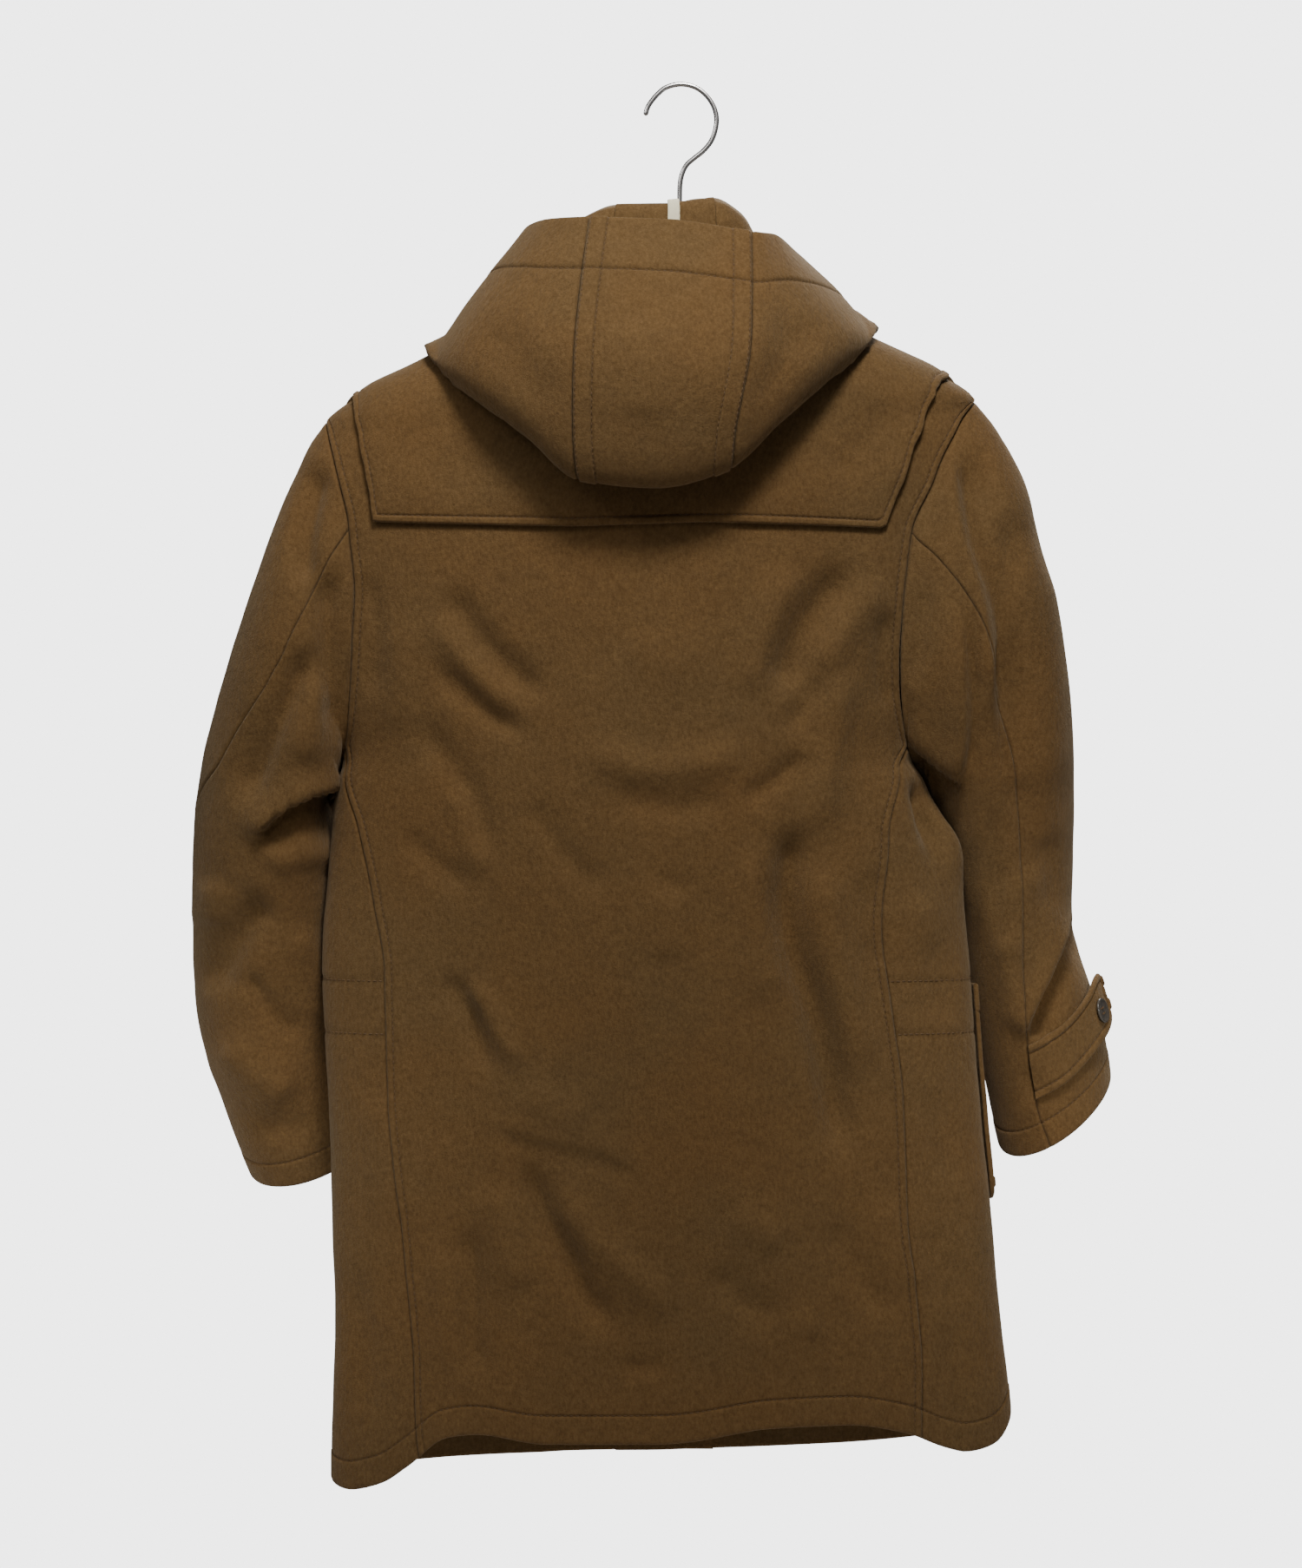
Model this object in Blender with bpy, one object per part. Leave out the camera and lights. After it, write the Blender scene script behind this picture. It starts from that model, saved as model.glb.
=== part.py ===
"""A wool duffle coat hanging closed on a plain hanger with a chrome hook.

Row frame: metres, +Z up, the coat's back faces +Y and the wearer's left is +X.
The origin is the inside top of the hook, where a rail carries it.

The shapes come from elevation drawings of the hanging coat, seen from behind: u runs to the
right and v runs down, in divisions of GRID millimetres on the plane of the back. The drawings
are in perspective from VIEW millimetres behind the hook, and at() takes a drawn point back to
its real place at a given depth y.
"""

import math

import bpy
import numpy as np

# ---------------------------------------------------------------- named sizes, millimetres
GRID = 0.64          # one division of the elevation drawings on the plane of the back
VIEW = 2400.0        # distance of the drawings' viewpoint behind the hook
BACK = 60.0          # depth of the plane of the back
U0, V0 = 750.0, 903.0
X0, Z0 = 22.3, -527.4
XC = 21.0            # the coat's middle, a little to one side of the hook
CLOTH = 2.6          # thickness of the melton
SEAM = 0.4           # gap between two pieces at a seam
YOKE_LIFT = 4.4      # the yoke's middle above the middle of the panel below it
POCKET_LIFT = 4.2
WIRE = 1.9           # radius of the hook's wire
CORD = 1.7           # radius of the closure cord
RAD = math.pi / 180


def k_at(y):
    return GRID * (VIEW - y) / (VIEW - BACK)


def at(u, v, y):
    """A drawn point (u, v) at depth y, in millimetres."""
    k = k_at(np.asarray(y, float))
    return X0 + (U0 - u) * k, y + 0.0 * k, Z0 - (v - V0) * k


def drawn(x, y, z):
    """Where a real point is drawn."""
    k = k_at(y)
    return U0 - (x - X0) / k, V0 - (z - Z0) / k


def curve(xs, ys, x):
    """Smooth curve through a table's rows that never overshoots them."""
    xs, ys = np.asarray(xs, float), np.asarray(ys, float)
    if xs[0] > xs[-1]:
        xs, ys = xs[::-1], ys[::-1]
    h, d = np.diff(xs), np.diff(ys) / np.diff(xs)
    m = np.zeros_like(ys)
    if len(xs) > 2:
        a, b = d[:-1], d[1:]
        w1, w2 = 2 * h[1:] + h[:-1], h[1:] + 2 * h[:-1]
        same = a * b > 0
        m[1:-1][same] = (w1 + w2)[same] / (w1[same] / a[same] + w2[same] / b[same])
    m[0], m[-1] = d[0], d[-1]
    x = np.clip(np.asarray(x, float), xs[0], xs[-1])
    i = np.clip(np.searchsorted(xs, x) - 1, 0, len(h) - 1)
    t = (x - xs[i]) / h[i]
    return (
        ys[i] * (1 + 2 * t) * (1 - t) ** 2
        + m[i] * h[i] * t * (1 - t) ** 2
        + ys[i + 1] * t * t * (3 - 2 * t)
        + m[i + 1] * h[i] * t * t * (t - 1)
    )


def smooth(t):
    t = np.clip(t, 0, 1)
    return t * t * (3 - 2 * t)


# ---------------------------------------------------------------- the body
# Edge of the shoulder, from the neck point out to the shoulder tip: u, v
SHOULDER_L = [(600, 362), (560, 388), (497, 420), (459, 438), (418, 458), (391, 476), (380, 486)]
SHOULDER_R = [(905, 360), (950, 376), (1005, 400), (1046, 418), (1086, 438), (1111, 454), (1119, 462)]
# Armhole, from the shoulder tip down to the underarm: v, u, half-depth y
ARMHOLE_L = [(486, 380, 0), (499, 379, 17), (524, 384, 29), (562, 393, 37), (606, 402, 41), (668, 408, 42),
             (730, 406, 40), (785, 404, 35), (828, 402, 27), (858, 400, 16), (874, 399, 0)]
ARMHOLE_R = [(462, 1119, 0), (476, 1111, 17), (502, 1098, 29), (547, 1078, 37), (609, 1051, 41), (668, 1043, 42),
             (730, 1038, 40), (785, 1037, 35), (828, 1040, 27), (858, 1044, 16), (874, 1047, 0)]
# Sides of the body below the armhole: v, left u, right u
SIDES = [(874, 399, 1047), (900, 392, 1062), (940, 386, 1080), (1000, 380, 1100), (1100, 374, 1113),
         (1200, 377, 1122), (1300, 381, 1130), (1400, 385, 1139), (1500, 388, 1149), (1600, 385, 1160),
         (1650, 384, 1164), (1720, 384, 1166)]
# Depth of the body: v, back y, front y, squareness of the ring
DEPTHS = [(340, 46, -60, 2.1), (420, 54, -63, 2.2), (482, 58, -66, 2.3), (560, 60, -68, 2.4), (700, 61, -69, 2.5),
          (870, 61, -70, 2.5), (1100, 60, -70, 2.4), (1400, 60, -70, 2.4), (1730, 62, -72, 2.4)]
# Hem height: angle round the body (0 back, 90 the wearer's left side, 180 front), z
HEM = [(-180, -1046), (-150, -1038), (-120, -1022), (-105, -1008), (-90, -1000), (-80, -1009), (-68, -1021),
       (-57, -1024.4), (-50, -1020), (-40, -1008), (-28, -1001), (-15, -1003), (0, -1014), (15, -1014.4),
       (28, -1008), (35, -1011), (44.5, -1032), (54, -1047.7), (69, -1054.8), (82, -1052.6), (90, -1050),
       (120, -1050), (150, -1048), (180, -1046)]
# Back seams between the back and the side panels, hem to armhole: u, v
BACK_SEAM_L = [(487, 1700), (480, 1658), (476, 1563), (469, 1484), (462, 1406), (454, 1344), (446, 1250), (443, 1120),
               (430, 1040), (412, 950), (402, 880), (400, 858)]
BACK_SEAM_R = [(1062, 1700), (1062, 1656), (1061, 1547), (1055, 1484), (1047, 1422), (1044, 1344), (1040, 1260),
               (1030, 1180), (1017, 1080), (1024, 960), (1036, 890), (1044, 858)]


def z_of(v, y=0.0):
    return Z0 - (np.asarray(v, float) - V0) * k_at(y)


_depth_z = [float(z_of(r[0])) for r in DEPTHS]


def depth_back(z):
    return curve(_depth_z, [r[1] for r in DEPTHS], z)


def depth_front(z):
    return curve(_depth_z, [r[2] for r in DEPTHS], z)


def power(z):
    return curve(_depth_z, [r[3] for r in DEPTHS], z)


def _half_table(shoulder, armhole, side_column, sign):
    rows = [(float(z_of(v)), sign * (at(u, v, 0)[0] - XC)) for u, v in shoulder]
    for v, u, y in armhole[1:-1]:
        x, _, z = at(u, v, y)
        n, b = power(z), depth_back(z)
        rows.append((float(z), float(sign * (x - XC) / (1 - (y / b) ** n) ** (1 / n))))
    rows += [(float(z_of(r[0])), sign * (at(r[side_column], r[0], 0)[0] - XC)) for r in SIDES]
    rows.sort(reverse=True)
    return [r[0] for r in rows], [r[1] for r in rows]


HALF_L = _half_table(SHOULDER_L, ARMHOLE_L, 1, 1)
HALF_R = _half_table(SHOULDER_R, ARMHOLE_R, 2, -1)


def half_left(z):
    return curve(*HALF_L, z)


def half_right(z):
    return curve(*HALF_R, z)


def ring(a, z, off=0.0):
    """Middle of the cloth at angle a (radians) round the body at height z, before folds, moved out by off."""
    a, z = np.broadcast_arrays(np.asarray(a, float), np.asarray(z, float))
    s, c, n = np.sin(a), np.cos(a), power(z)
    wide = np.where(s >= 0, half_left(z), half_right(z)) + off
    deep = np.where(c >= 0, depth_back(z), -depth_front(z)) + off
    x = XC + np.sign(s) * wide * np.abs(s) ** (2 / n)
    y = np.sign(c) * deep * np.abs(c) ** (2 / n)
    return np.stack([x, y, z + 0.0 * x], -1)


def angle_of(x, z, front=False):
    """The angle whose point at height z has this x."""
    wide = np.where(x >= XC, half_left(z), half_right(z))
    a = np.arcsin(np.clip((np.abs(x - XC) / wide), 0, 1) ** (power(z) / 2)) * np.sign(x - XC)
    return np.where(front, np.pi * np.sign(a + 1e-12) - a, a)


def seam_angles(table, zs):
    """Angles of a drawn back seam at heights zs."""
    pts = []
    for u, v in table:
        y = 55.0
        for _ in range(6):
            x, _, z = at(u, v, y)
            y = float(ring(angle_of(x, z), z)[1])
        pts.append((float(z), float(angle_of(x, z))))
    pts.sort(reverse=True)
    return curve([p[0] for p in pts], [p[1] for p in pts], zs)


def armhole_y(table, z):
    rows = [(float(at(u, v, y)[2]), y) for v, u, y in table]
    zs, ys = [r[0] for r in rows], [r[1] for r in rows]
    # a round end: the square of y is what runs smoothly near the tip and the underarm
    return np.sqrt(np.maximum(curve(zs, [y * y for y in ys], z), 0))


def armhole_angle(table, z, front=False):
    """Angle of the armhole's edge at height z, on the back or on the front."""
    sign = 1 if table[0][1] < U0 else -1
    n, b = power(z), depth_back(z)
    a = np.arccos(np.clip((armhole_y(table, z) / b) ** (n / 2), 0, 1))
    return sign * (np.pi - a) if front else sign * a


def tip_z(table):
    return float(at(table[0][1], table[0][0], 0)[2])


def underarm_z(table):
    return float(at(table[-1][1], table[-1][0], 0)[2])


def hem_z(a):
    return curve([r[0] for r in HEM], [r[1] for r in HEM], np.degrees(a))


NECK_TOP, NECK_BACK, NECK_FRONT, NECK_HALF = -170.0, -181.0, -256.0, 100.0


def neckline(p):
    """(angle, z) of the neckline at p: 0 back, 1 the neck point at the left, 2 the left front edge; negative at the right."""
    q, sign = abs(p), (1 if p >= 0 else -1)
    if q <= 1:
        z = NECK_BACK + (NECK_TOP - NECK_BACK) * q * q
        return sign * q * math.pi / 2, z
    t = (q - 1) * math.pi / 2
    z = NECK_TOP + (NECK_FRONT - NECK_TOP) * math.sin(t) ** 1.3
    x = XC + sign * NECK_HALF * math.cos(t)
    a = float(angle_of(np.array(x), np.array(z)))
    a = abs(a) if q < 2 else 0.0
    return sign * (math.pi - a), z


# Largest folds: where, width, height (out +, in -), sharpness of the lower or right edge, points (u, v)
FOLDS = [
    ("body", 60, -6, 1, [(517, 678), (556, 742), (596, 776), (632, 815)]),
    ("body", 60, -8, 1, [(984, 624), (940, 688), (910, 747), (898, 796)]),
    ("body", 62, -8, 1, [(915, 943), (908, 1002), (905, 1051), (917, 1100), (939, 1164), (955, 1234), (965, 1298), (981, 1368)]),
    ("body", 60, 6, 1, [(978, 756), (972, 835), (966, 904), (960, 960)]),
    ("body", 64, 7, 1, [(1040, 1010), (1040, 1072)]),
    ("body", 62, -6, 1, [(596, 1300), (617, 1379), (649, 1443), (681, 1507), (735, 1545)]),
    ("body", 60, 5, 1, [(620, 1240), (690, 1290), (740, 1400)]),
]


def along(u, v, points):
    """Distance of each (u, v) from a polyline, signed (positive on its left), and how far along it is, 0 to 1."""
    pts = np.asarray(points, float)
    seg = np.hypot(*(pts[1:] - pts[:-1]).T)
    total, start = seg.sum(), np.concatenate([[0], np.cumsum(seg)])
    best = np.full(np.shape(u), 1e9)
    where, side = np.zeros(np.shape(u)), np.ones(np.shape(u))
    for i, (p, q) in enumerate(zip(pts[:-1], pts[1:])):
        d = q - p
        t = np.clip(((u - p[0]) * d[0] + (v - p[1]) * d[1]) / (d @ d), 0, 1)
        du, dv = u - p[0] - t * d[0], v - p[1] - t * d[1]
        r = np.hypot(du, dv)
        near = r < best
        best = np.where(near, r, best)
        where = np.where(near, (start[i] + t * seg[i]) / total, where)
        side = np.where(near, np.sign(d[0] * dv - d[1] * du), side)
    return best * np.where(side == 0, 1, side), where


def fold_height(part, u, v):
    h = np.zeros(np.shape(u))
    for name, width, high, sharp, pts in FOLDS:
        if name != part:
            continue
        d, t = along(u, v, pts)
        w = np.where(d > 0, width * 0.6, width * 0.6 * sharp)
        ends = smooth(np.minimum(t, 1 - t) * 4 + 0.35)
        h += high * np.exp(-((d / w) ** 2)) * ends
    return h


def body_normal(a, z):
    a, z = np.broadcast_arrays(np.asarray(a, float), np.asarray(z, float))
    p = ring(a, z)
    n, x, y = power(z), p[..., 0] - XC, p[..., 1]

    def level(zz):
        wide = np.where(x >= 0, half_left(zz), half_right(zz))
        deep = np.where(y >= 0, depth_back(zz), -depth_front(zz))
        return (np.abs(x) / wide) ** n + (np.abs(y) / deep) ** n

    wide = np.where(x >= 0, half_left(z), half_right(z))
    deep = np.where(y >= 0, depth_back(z), -depth_front(z))
    gx = np.sign(x) * n / wide * (np.abs(x) / wide) ** (n - 1)
    gy = np.sign(y) * n / deep * (np.abs(y) / deep) ** (n - 1)
    gz = (level(z + 1.5) - level(z - 1.5)) / 3.0
    g = np.stack([gx, gy, gz], -1)
    return g / np.maximum(np.linalg.norm(g, axis=-1, keepdims=True), 1e-12)


def body(a, z, off=0.0):
    """A point of the body's cloth, with its folds, off millimetres outside its middle."""
    p, nrm = ring(a, z), body_normal(a, z)
    u, v = drawn(p[..., 0], p[..., 1], p[..., 2])
    facing = smooth((nrm[..., 1] - 0.15) / 0.5)
    h = fold_height("body", u, v) * facing
    return p + nrm * (h + off)[..., None]


def patch(bottom, top, left, right, rows, cols):
    """Coons patch between four boundary lists of (angle, z); row 0 is the bottom, column 0 the left list."""
    bottom, top, left, right = (np.asarray(x, float) for x in (bottom, top, left, right))
    r = np.linspace(0, 1, rows + 1)[:, None, None]
    c = np.linspace(0, 1, cols + 1)[None, :, None]
    flat = (1 - r) * bottom[None] + r * top[None] + (1 - c) * left[:, None] + c * right[:, None]
    flat -= (1 - r) * ((1 - c) * bottom[0] + c * bottom[-1]) + r * ((1 - c) * top[0] + c * top[-1])
    return flat


# ---------------------------------------------------------------- meshes
def shell(outer, inner):
    """One closed wall from two grids of points with the same shape."""
    nr, nc = outer.shape[:2]
    verts = np.concatenate([outer.reshape(-1, 3), inner.reshape(-1, 3)])
    m = nr * nc
    faces = []
    for i in range(nr - 1):
        for j in range(nc - 1):
            a, b, c, d = i * nc + j, i * nc + j + 1, (i + 1) * nc + j + 1, (i + 1) * nc + j
            faces.append((a, b, c, d))
            faces.append((m + a, m + d, m + c, m + b))
    edge = [(0, j) for j in range(nc)] + [(i, nc - 1) for i in range(1, nr)]
    edge += [(nr - 1, j) for j in range(nc - 2, -1, -1)] + [(i, 0) for i in range(nr - 2, 0, -1)]
    for (i0, j0), (i1, j1) in zip(edge, edge[1:] + edge[:1]):
        a, b = i0 * nc + j0, i1 * nc + j1
        faces.append((b, a, m + a, m + b))
    return verts, faces


def signed_volume(verts, faces):
    total = 0.0
    for f in faces:
        for i in range(1, len(f) - 1):
            total += np.dot(verts[f[0]], np.cross(verts[f[i]], verts[f[i + 1]]))
    return total / 6


def tube(points, radius, sides=8, closed=False):
    """A round bar along points; radius is one number or one for each point."""
    pts = np.asarray(points, float)
    n = len(pts)
    radius = np.broadcast_to(np.asarray(radius, float), (n,))
    if closed:
        tan = np.roll(pts, -1, 0) - np.roll(pts, 1, 0)
    else:
        tan = np.gradient(pts, axis=0)
    tan /= np.linalg.norm(tan, axis=1, keepdims=True)
    ref = np.array([0.0, 1.0, 0.0]) if abs(tan[0][1]) < 0.9 else np.array([1.0, 0.0, 0.0])
    side = np.cross(tan[0], ref)
    verts = []
    for i in range(n):
        side = side - tan[i] * (side @ tan[i])
        side /= np.linalg.norm(side)
        up = np.cross(tan[i], side)
        for j in range(sides):
            t = 2 * math.pi * j / sides
            verts.append(pts[i] + radius[i] * (side * math.cos(t) + up * math.sin(t)))
    faces = []
    for i in range(n if closed else n - 1):
        for j in range(sides):
            a, b = i * sides + j, i * sides + (j + 1) % sides
            i2 = (i + 1) % n
            faces.append((a, b, i2 * sides + (j + 1) % sides, i2 * sides + j))
    if not closed:
        faces.append(tuple(range(sides))[::-1])
        faces.append(tuple((n - 1) * sides + j for j in range(sides)))
    return np.array(verts), faces


def spline(points, steps):
    """Catmull-Rom curve through the points."""
    p = np.asarray(points, float)
    p = np.concatenate([[2 * p[0] - p[1]], p, [2 * p[-1] - p[-2]]])
    out = []
    for i in range(1, len(p) - 2):
        for s in range(steps):
            t = s / steps
            out.append(0.5 * (2 * p[i] + (p[i + 1] - p[i - 1]) * t
                              + (2 * p[i - 1] - 5 * p[i] + 4 * p[i + 1] - p[i + 2]) * t * t
                              + (3 * p[i] - p[i - 1] - 3 * p[i + 1] + p[i + 2]) * t ** 3))
    out.append(p[-2])
    return np.array(out)


def material(name, rgb, rough, metal=0.0):
    m = bpy.data.materials.get(name)
    if m is None:
        m = bpy.data.materials.new(name)
        m.use_nodes = True
        s = m.node_tree.nodes["Principled BSDF"]
        s.inputs["Base Color"].default_value = (*rgb, 1)
        s.inputs["Roughness"].default_value = rough
        s.inputs["Metallic"].default_value = metal
    return m


WOOL = ("melton", (0.105, 0.058, 0.021), 0.95)
WOOL_IN = ("melton_reverse", (0.16, 0.10, 0.05), 0.95)
TAPE = ("cream_tape", (0.85, 0.82, 0.62), 0.8)
HORN = ("toggle_horn", (0.10, 0.065, 0.04), 0.35)
ROPE = ("closure_cord", (0.05, 0.032, 0.02), 0.8)
LEATHER = ("closure_patch", (0.035, 0.024, 0.018), 0.6)
BUTTON = ("button", (0.045, 0.04, 0.033), 0.35)
PLASTIC = ("hanger_plastic", (0.02, 0.02, 0.022), 0.45)
STEEL = ("hook_chrome", (0.72, 0.72, 0.73), 0.15, 1.0)


def add(name, mesh, mat, flat=False):
    verts, faces = mesh
    if signed_volume(verts, faces) < 0:
        faces = [f[::-1] for f in faces]
    me = bpy.data.meshes.new(name)
    me.from_pydata((np.asarray(verts) / 1000).tolist(), [], faces)
    me.update()
    if not flat:
        me.shade_smooth()
    me.materials.append(material(*mat))
    ob = bpy.data.objects.new(name, me)
    bpy.context.scene.collection.objects.link(ob)
    return ob


# ---------------------------------------------------------------- body panels
SEAM_ROWS, ARM_ROWS, TOP_ROWS = 13, 8, 3
SIDE_COLS = 4
FRONT_EDGE_L, FRONT_EDGE_R = -26.0, 50.0   # x of the left front's edge, on top, and of the right front's below it
LAP = CLOTH + 1.4                          # how far the left front stands off the right one


def tighten(grid, sides, gap=SEAM / 2):
    """Moves the named edges of an (angle, z) patch in by half a seam gap, measured on the body."""
    g = grid.copy()
    for side in sides:
        edge, inner = {"left": (g[:, 0], g[:, 1]), "right": (g[:, -1], g[:, -2]),
                       "bottom": (g[0], g[1]), "top": (g[-1], g[-2])}[side]
        pe, pi = ring(edge[:, 0], edge[:, 1]), ring(inner[:, 0], inner[:, 1])
        far = np.maximum(np.linalg.norm(pi - pe, axis=1), 1e-6)
        move = (gap / far)[:, None] * (inner - edge)
        edge += move
    return g


def loop_phi(table, z):
    """Place of height z on the armhole, as an angle: 0 the shoulder tip, pi the underarm."""
    return np.arccos(np.clip(1 - 2 * (tip_z(table) - z) / (tip_z(table) - underarm_z(table)), -1, 1))


def loop_z(table, phi):
    return tip_z(table) + (underarm_z(table) - tip_z(table)) * (1 - np.cos(phi)) / 2


def seam_phi(table):
    """Place on the armhole where the sleeve's seams start."""
    return (SLEEVE_L if table is ARMHOLE_L else SLEEVE_R)[0][7] * RAD


def arm_phis(table):
    """Places on the armhole of the rows that body and sleeve share, from the side seam up to the tip."""
    low, half = float(loop_phi(table, seam_top(table))), ARM_ROWS // 2
    return np.concatenate([np.linspace(low, seam_phi(table), half + 1), np.linspace(seam_phi(table), 0, half + 1)[1:]])


def under_phis(table):
    """Places on the armhole along the top of the side panel, from the back seam to the front seam."""
    low = float(loop_phi(table, seam_top(table)))
    return np.linspace(low, 2 * np.pi - low, SIDE_COLS + 1)


def seam_top(table):
    """Height where the side seams reach the armhole."""
    v, u, y = table[-2]
    return float(at(u, v, y)[2])


def side_boundary(table, seam_at, front, inside_neck):
    """(angle, z) of a panel's side edge: up the seam, round the armhole and along the shoulder to the neck point."""
    low, tip = seam_top(table), tip_z(table)
    sign = 1 if table[0][1] < U0 else -1
    hem = seam_at[1]
    zs = np.linspace(hem, low, SEAM_ROWS + 1)
    pts = [(float(seam_at[0](z)), float(z)) for z in zs]
    pts[-1] = (float(armhole_angle(table, low, front)), low)
    arm = loop_z(table, arm_phis(table))[1:]
    pts += [(float(armhole_angle(table, z, front)), float(z)) for z in arm[:-1]]
    pts.append((sign * math.pi / 2, tip))
    for z in np.linspace(tip, inside_neck, TOP_ROWS + 1)[1:]:
        pts.append((sign * math.pi / 2, float(z)))
    return pts


def wall(grid, mid=0.0, thick=CLOTH, extra=None):
    """Outer and inner points of a panel from its (angle, z) grid."""
    e = 0.0 if extra is None else extra
    return body(grid[..., 0], grid[..., 1], mid + thick / 2 + e), body(grid[..., 0], grid[..., 1], mid - thick / 2 + e)


def back_seam(table):
    return lambda z: seam_angles(table, np.array([z]))[0]


def front_seam(side):
    """The side panel's other edge, on the front: a plain line from the armhole to the hem."""
    table = ARMHOLE_L if side > 0 else ARMHOLE_R
    top = float(armhole_angle(table, seam_top(table), True))
    low = side * 128 * RAD
    return lambda z: top + (low - top) * smooth((seam_top(table) - z) / 330.0)


def hem_at(seam):
    z = -1030.0
    for _ in range(20):
        z = float(hem_z(np.array(seam(z))))
    return z


def make_body():
    grids = {}
    sl, sr = back_seam(BACK_SEAM_L), back_seam(BACK_SEAM_R)
    fl, fr = front_seam(1), front_seam(-1)
    hz = {"bl": hem_at(sl), "br": hem_at(sr), "fl": hem_at(fl), "fr": hem_at(fr)}
    rows = SEAM_ROWS + ARM_ROWS + TOP_ROWS

    # back: column 0 at the right seam, the last at the left seam
    right = side_boundary(ARMHOLE_R, (sr, hz["br"]), False, NECK_TOP)
    left = side_boundary(ARMHOLE_L, (sl, hz["bl"]), False, NECK_TOP)
    cols = 14
    a = np.linspace(right[0][0], left[0][0], cols + 1)
    bottom = [(x, float(hem_z(np.array(x)))) for x in a]
    top = [neckline(p) for p in np.linspace(-1, 1, cols + 1)]
    grids["back"] = tighten(patch(bottom, top, right, left, rows, cols), ["left", "right"])

    # side panels, from the back seam round to the front seam
    for name, table, s, f, hb, hf, sign in (("side_left", ARMHOLE_L, sl, fl, hz["bl"], hz["fl"], 1),
                                            ("side_right", ARMHOLE_R, sr, fr, hz["br"], hz["fr"], -1)):
        low = seam_top(table)
        e0 = [(float(s(z)), float(z)) for z in np.linspace(hb, low, SEAM_ROWS + 1)]
        e0[-1] = (float(armhole_angle(table, low)), low)
        e1 = [(float(f(z)), float(z)) for z in np.linspace(hf, low, SEAM_ROWS + 1)]
        e1[-1] = (float(armhole_angle(table, low, True)), low)
        cols = SIDE_COLS
        bottom = [(x, float(hem_z(np.array(x)))) for x in np.linspace(e0[0][0], e1[0][0], cols + 1)]
        top = []
        for phi in under_phis(table):
            z = float(loop_z(table, phi))
            top.append((float(armhole_angle(table, z, bool(phi > np.pi))), z))
        top[0], top[-1] = e0[-1], e1[-1]
        gap = 0.2 + 1.6 * smooth((np.arange(SEAM_ROWS + 1) - SEAM_ROWS + 2) / 2)
        grids[name] = tighten(tighten(patch(bottom, top, e0, e1, SEAM_ROWS, cols), ["left", "right"], gap), ["top"], 1.0)

    # fronts, from the side seam to the front edge; the left one laps over the right one
    for name, table, f, hf, sign, edge in (("front_left", ARMHOLE_L, fl, hz["fl"], 1, FRONT_EDGE_L),
                                           ("front_right", ARMHOLE_R, fr, hz["fr"], -1, FRONT_EDGE_R)):
        outer = side_boundary(table, (f, hf), True, NECK_TOP)
        cols = 8
        # the front edge runs past the middle, so its angle goes past 180 degrees
        def edge_angle(z):
            return sign * (math.pi + math.asin((abs(edge - XC) / float(half_left(z) if edge > XC else half_right(z))) ** (float(power(z)) / 2)))
        hem_edge = float(hem_z(np.array(sign * math.pi)))
        zs = np.concatenate([np.linspace(hem_edge, seam_top(table), SEAM_ROWS + 1),
                             np.linspace(seam_top(table), NECK_FRONT, ARM_ROWS + TOP_ROWS + 1)[1:]])
        inner = [(edge_angle(z), float(z)) for z in zs]
        bottom = [(x, float(hem_z(np.array(max(-math.pi, min(math.pi, x)))))) for x in np.linspace(outer[0][0], inner[0][0], cols + 1)]
        top = []
        for t in np.linspace(0, 1, cols + 1):
            if t < 0.85:
                top.append(neckline(sign * (1 + t / 0.85)))
            else:
                g = (t - 0.85) / 0.15
                top.append((sign * math.pi + g * (inner[-1][0] - sign * math.pi), NECK_FRONT))
        grids[name] = tighten(patch(bottom, top, outer, inner, rows, cols), ["left"])
    return grids


def lap_at(x):
    """How far the left front stands out at x, to pass over the right front and the patches' ground."""
    return LAP * smooth((116.0 - x) / 34.0)


def lap_of(name, grid):
    """How far out each point of a front stands because of the overlap."""
    x = ring(grid[..., 0], grid[..., 1])[..., 0]
    if name == "front_left":
        return lap_at(x)
    return np.zeros_like(x)


# ---------------------------------------------------------------- sleeves
# Rings of the left sleeve: outer u, v; inner u, v; middle y; half-depth; drop of the rear side; back seam's angle
SLEEVE_L = [
    (380, 486, 399, 874, 0, 42, 0, 69), (361, 512, 395, 886, 0, 47, 0, 68), (344, 545, 390, 896, -1, 52, 0, 70),
    (324, 590, 386, 906, -2, 56, 1, 73), (306, 640, 382, 918, -3, 58, 2, 74), (288, 693, 379, 930, -5, 59, 3, 68),
    (270, 748, 377, 946, -8, 59, 4, 59), (252, 810, 378, 966, -14, 59, 5, 47), (236, 877, 380, 990, -20, 59, 7, 33),
    (227, 950, 384, 1022, -28, 59, 9, 18), (224, 1020, 389, 1062, -37, 58, 12, 7), (224, 1088, 394, 1110, -46, 57, 15, 0),
    (228, 1148, 401, 1156, -54, 55, 18, -4), (240, 1206, 410, 1202, -61, 53, 20, -7), (256, 1252, 419, 1240, -67, 51, 21, -9),
    (273, 1298, 428, 1270, -72, 50, 22, -10), (292, 1342, 438, 1296, -77, 49, 22, -10)]
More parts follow.
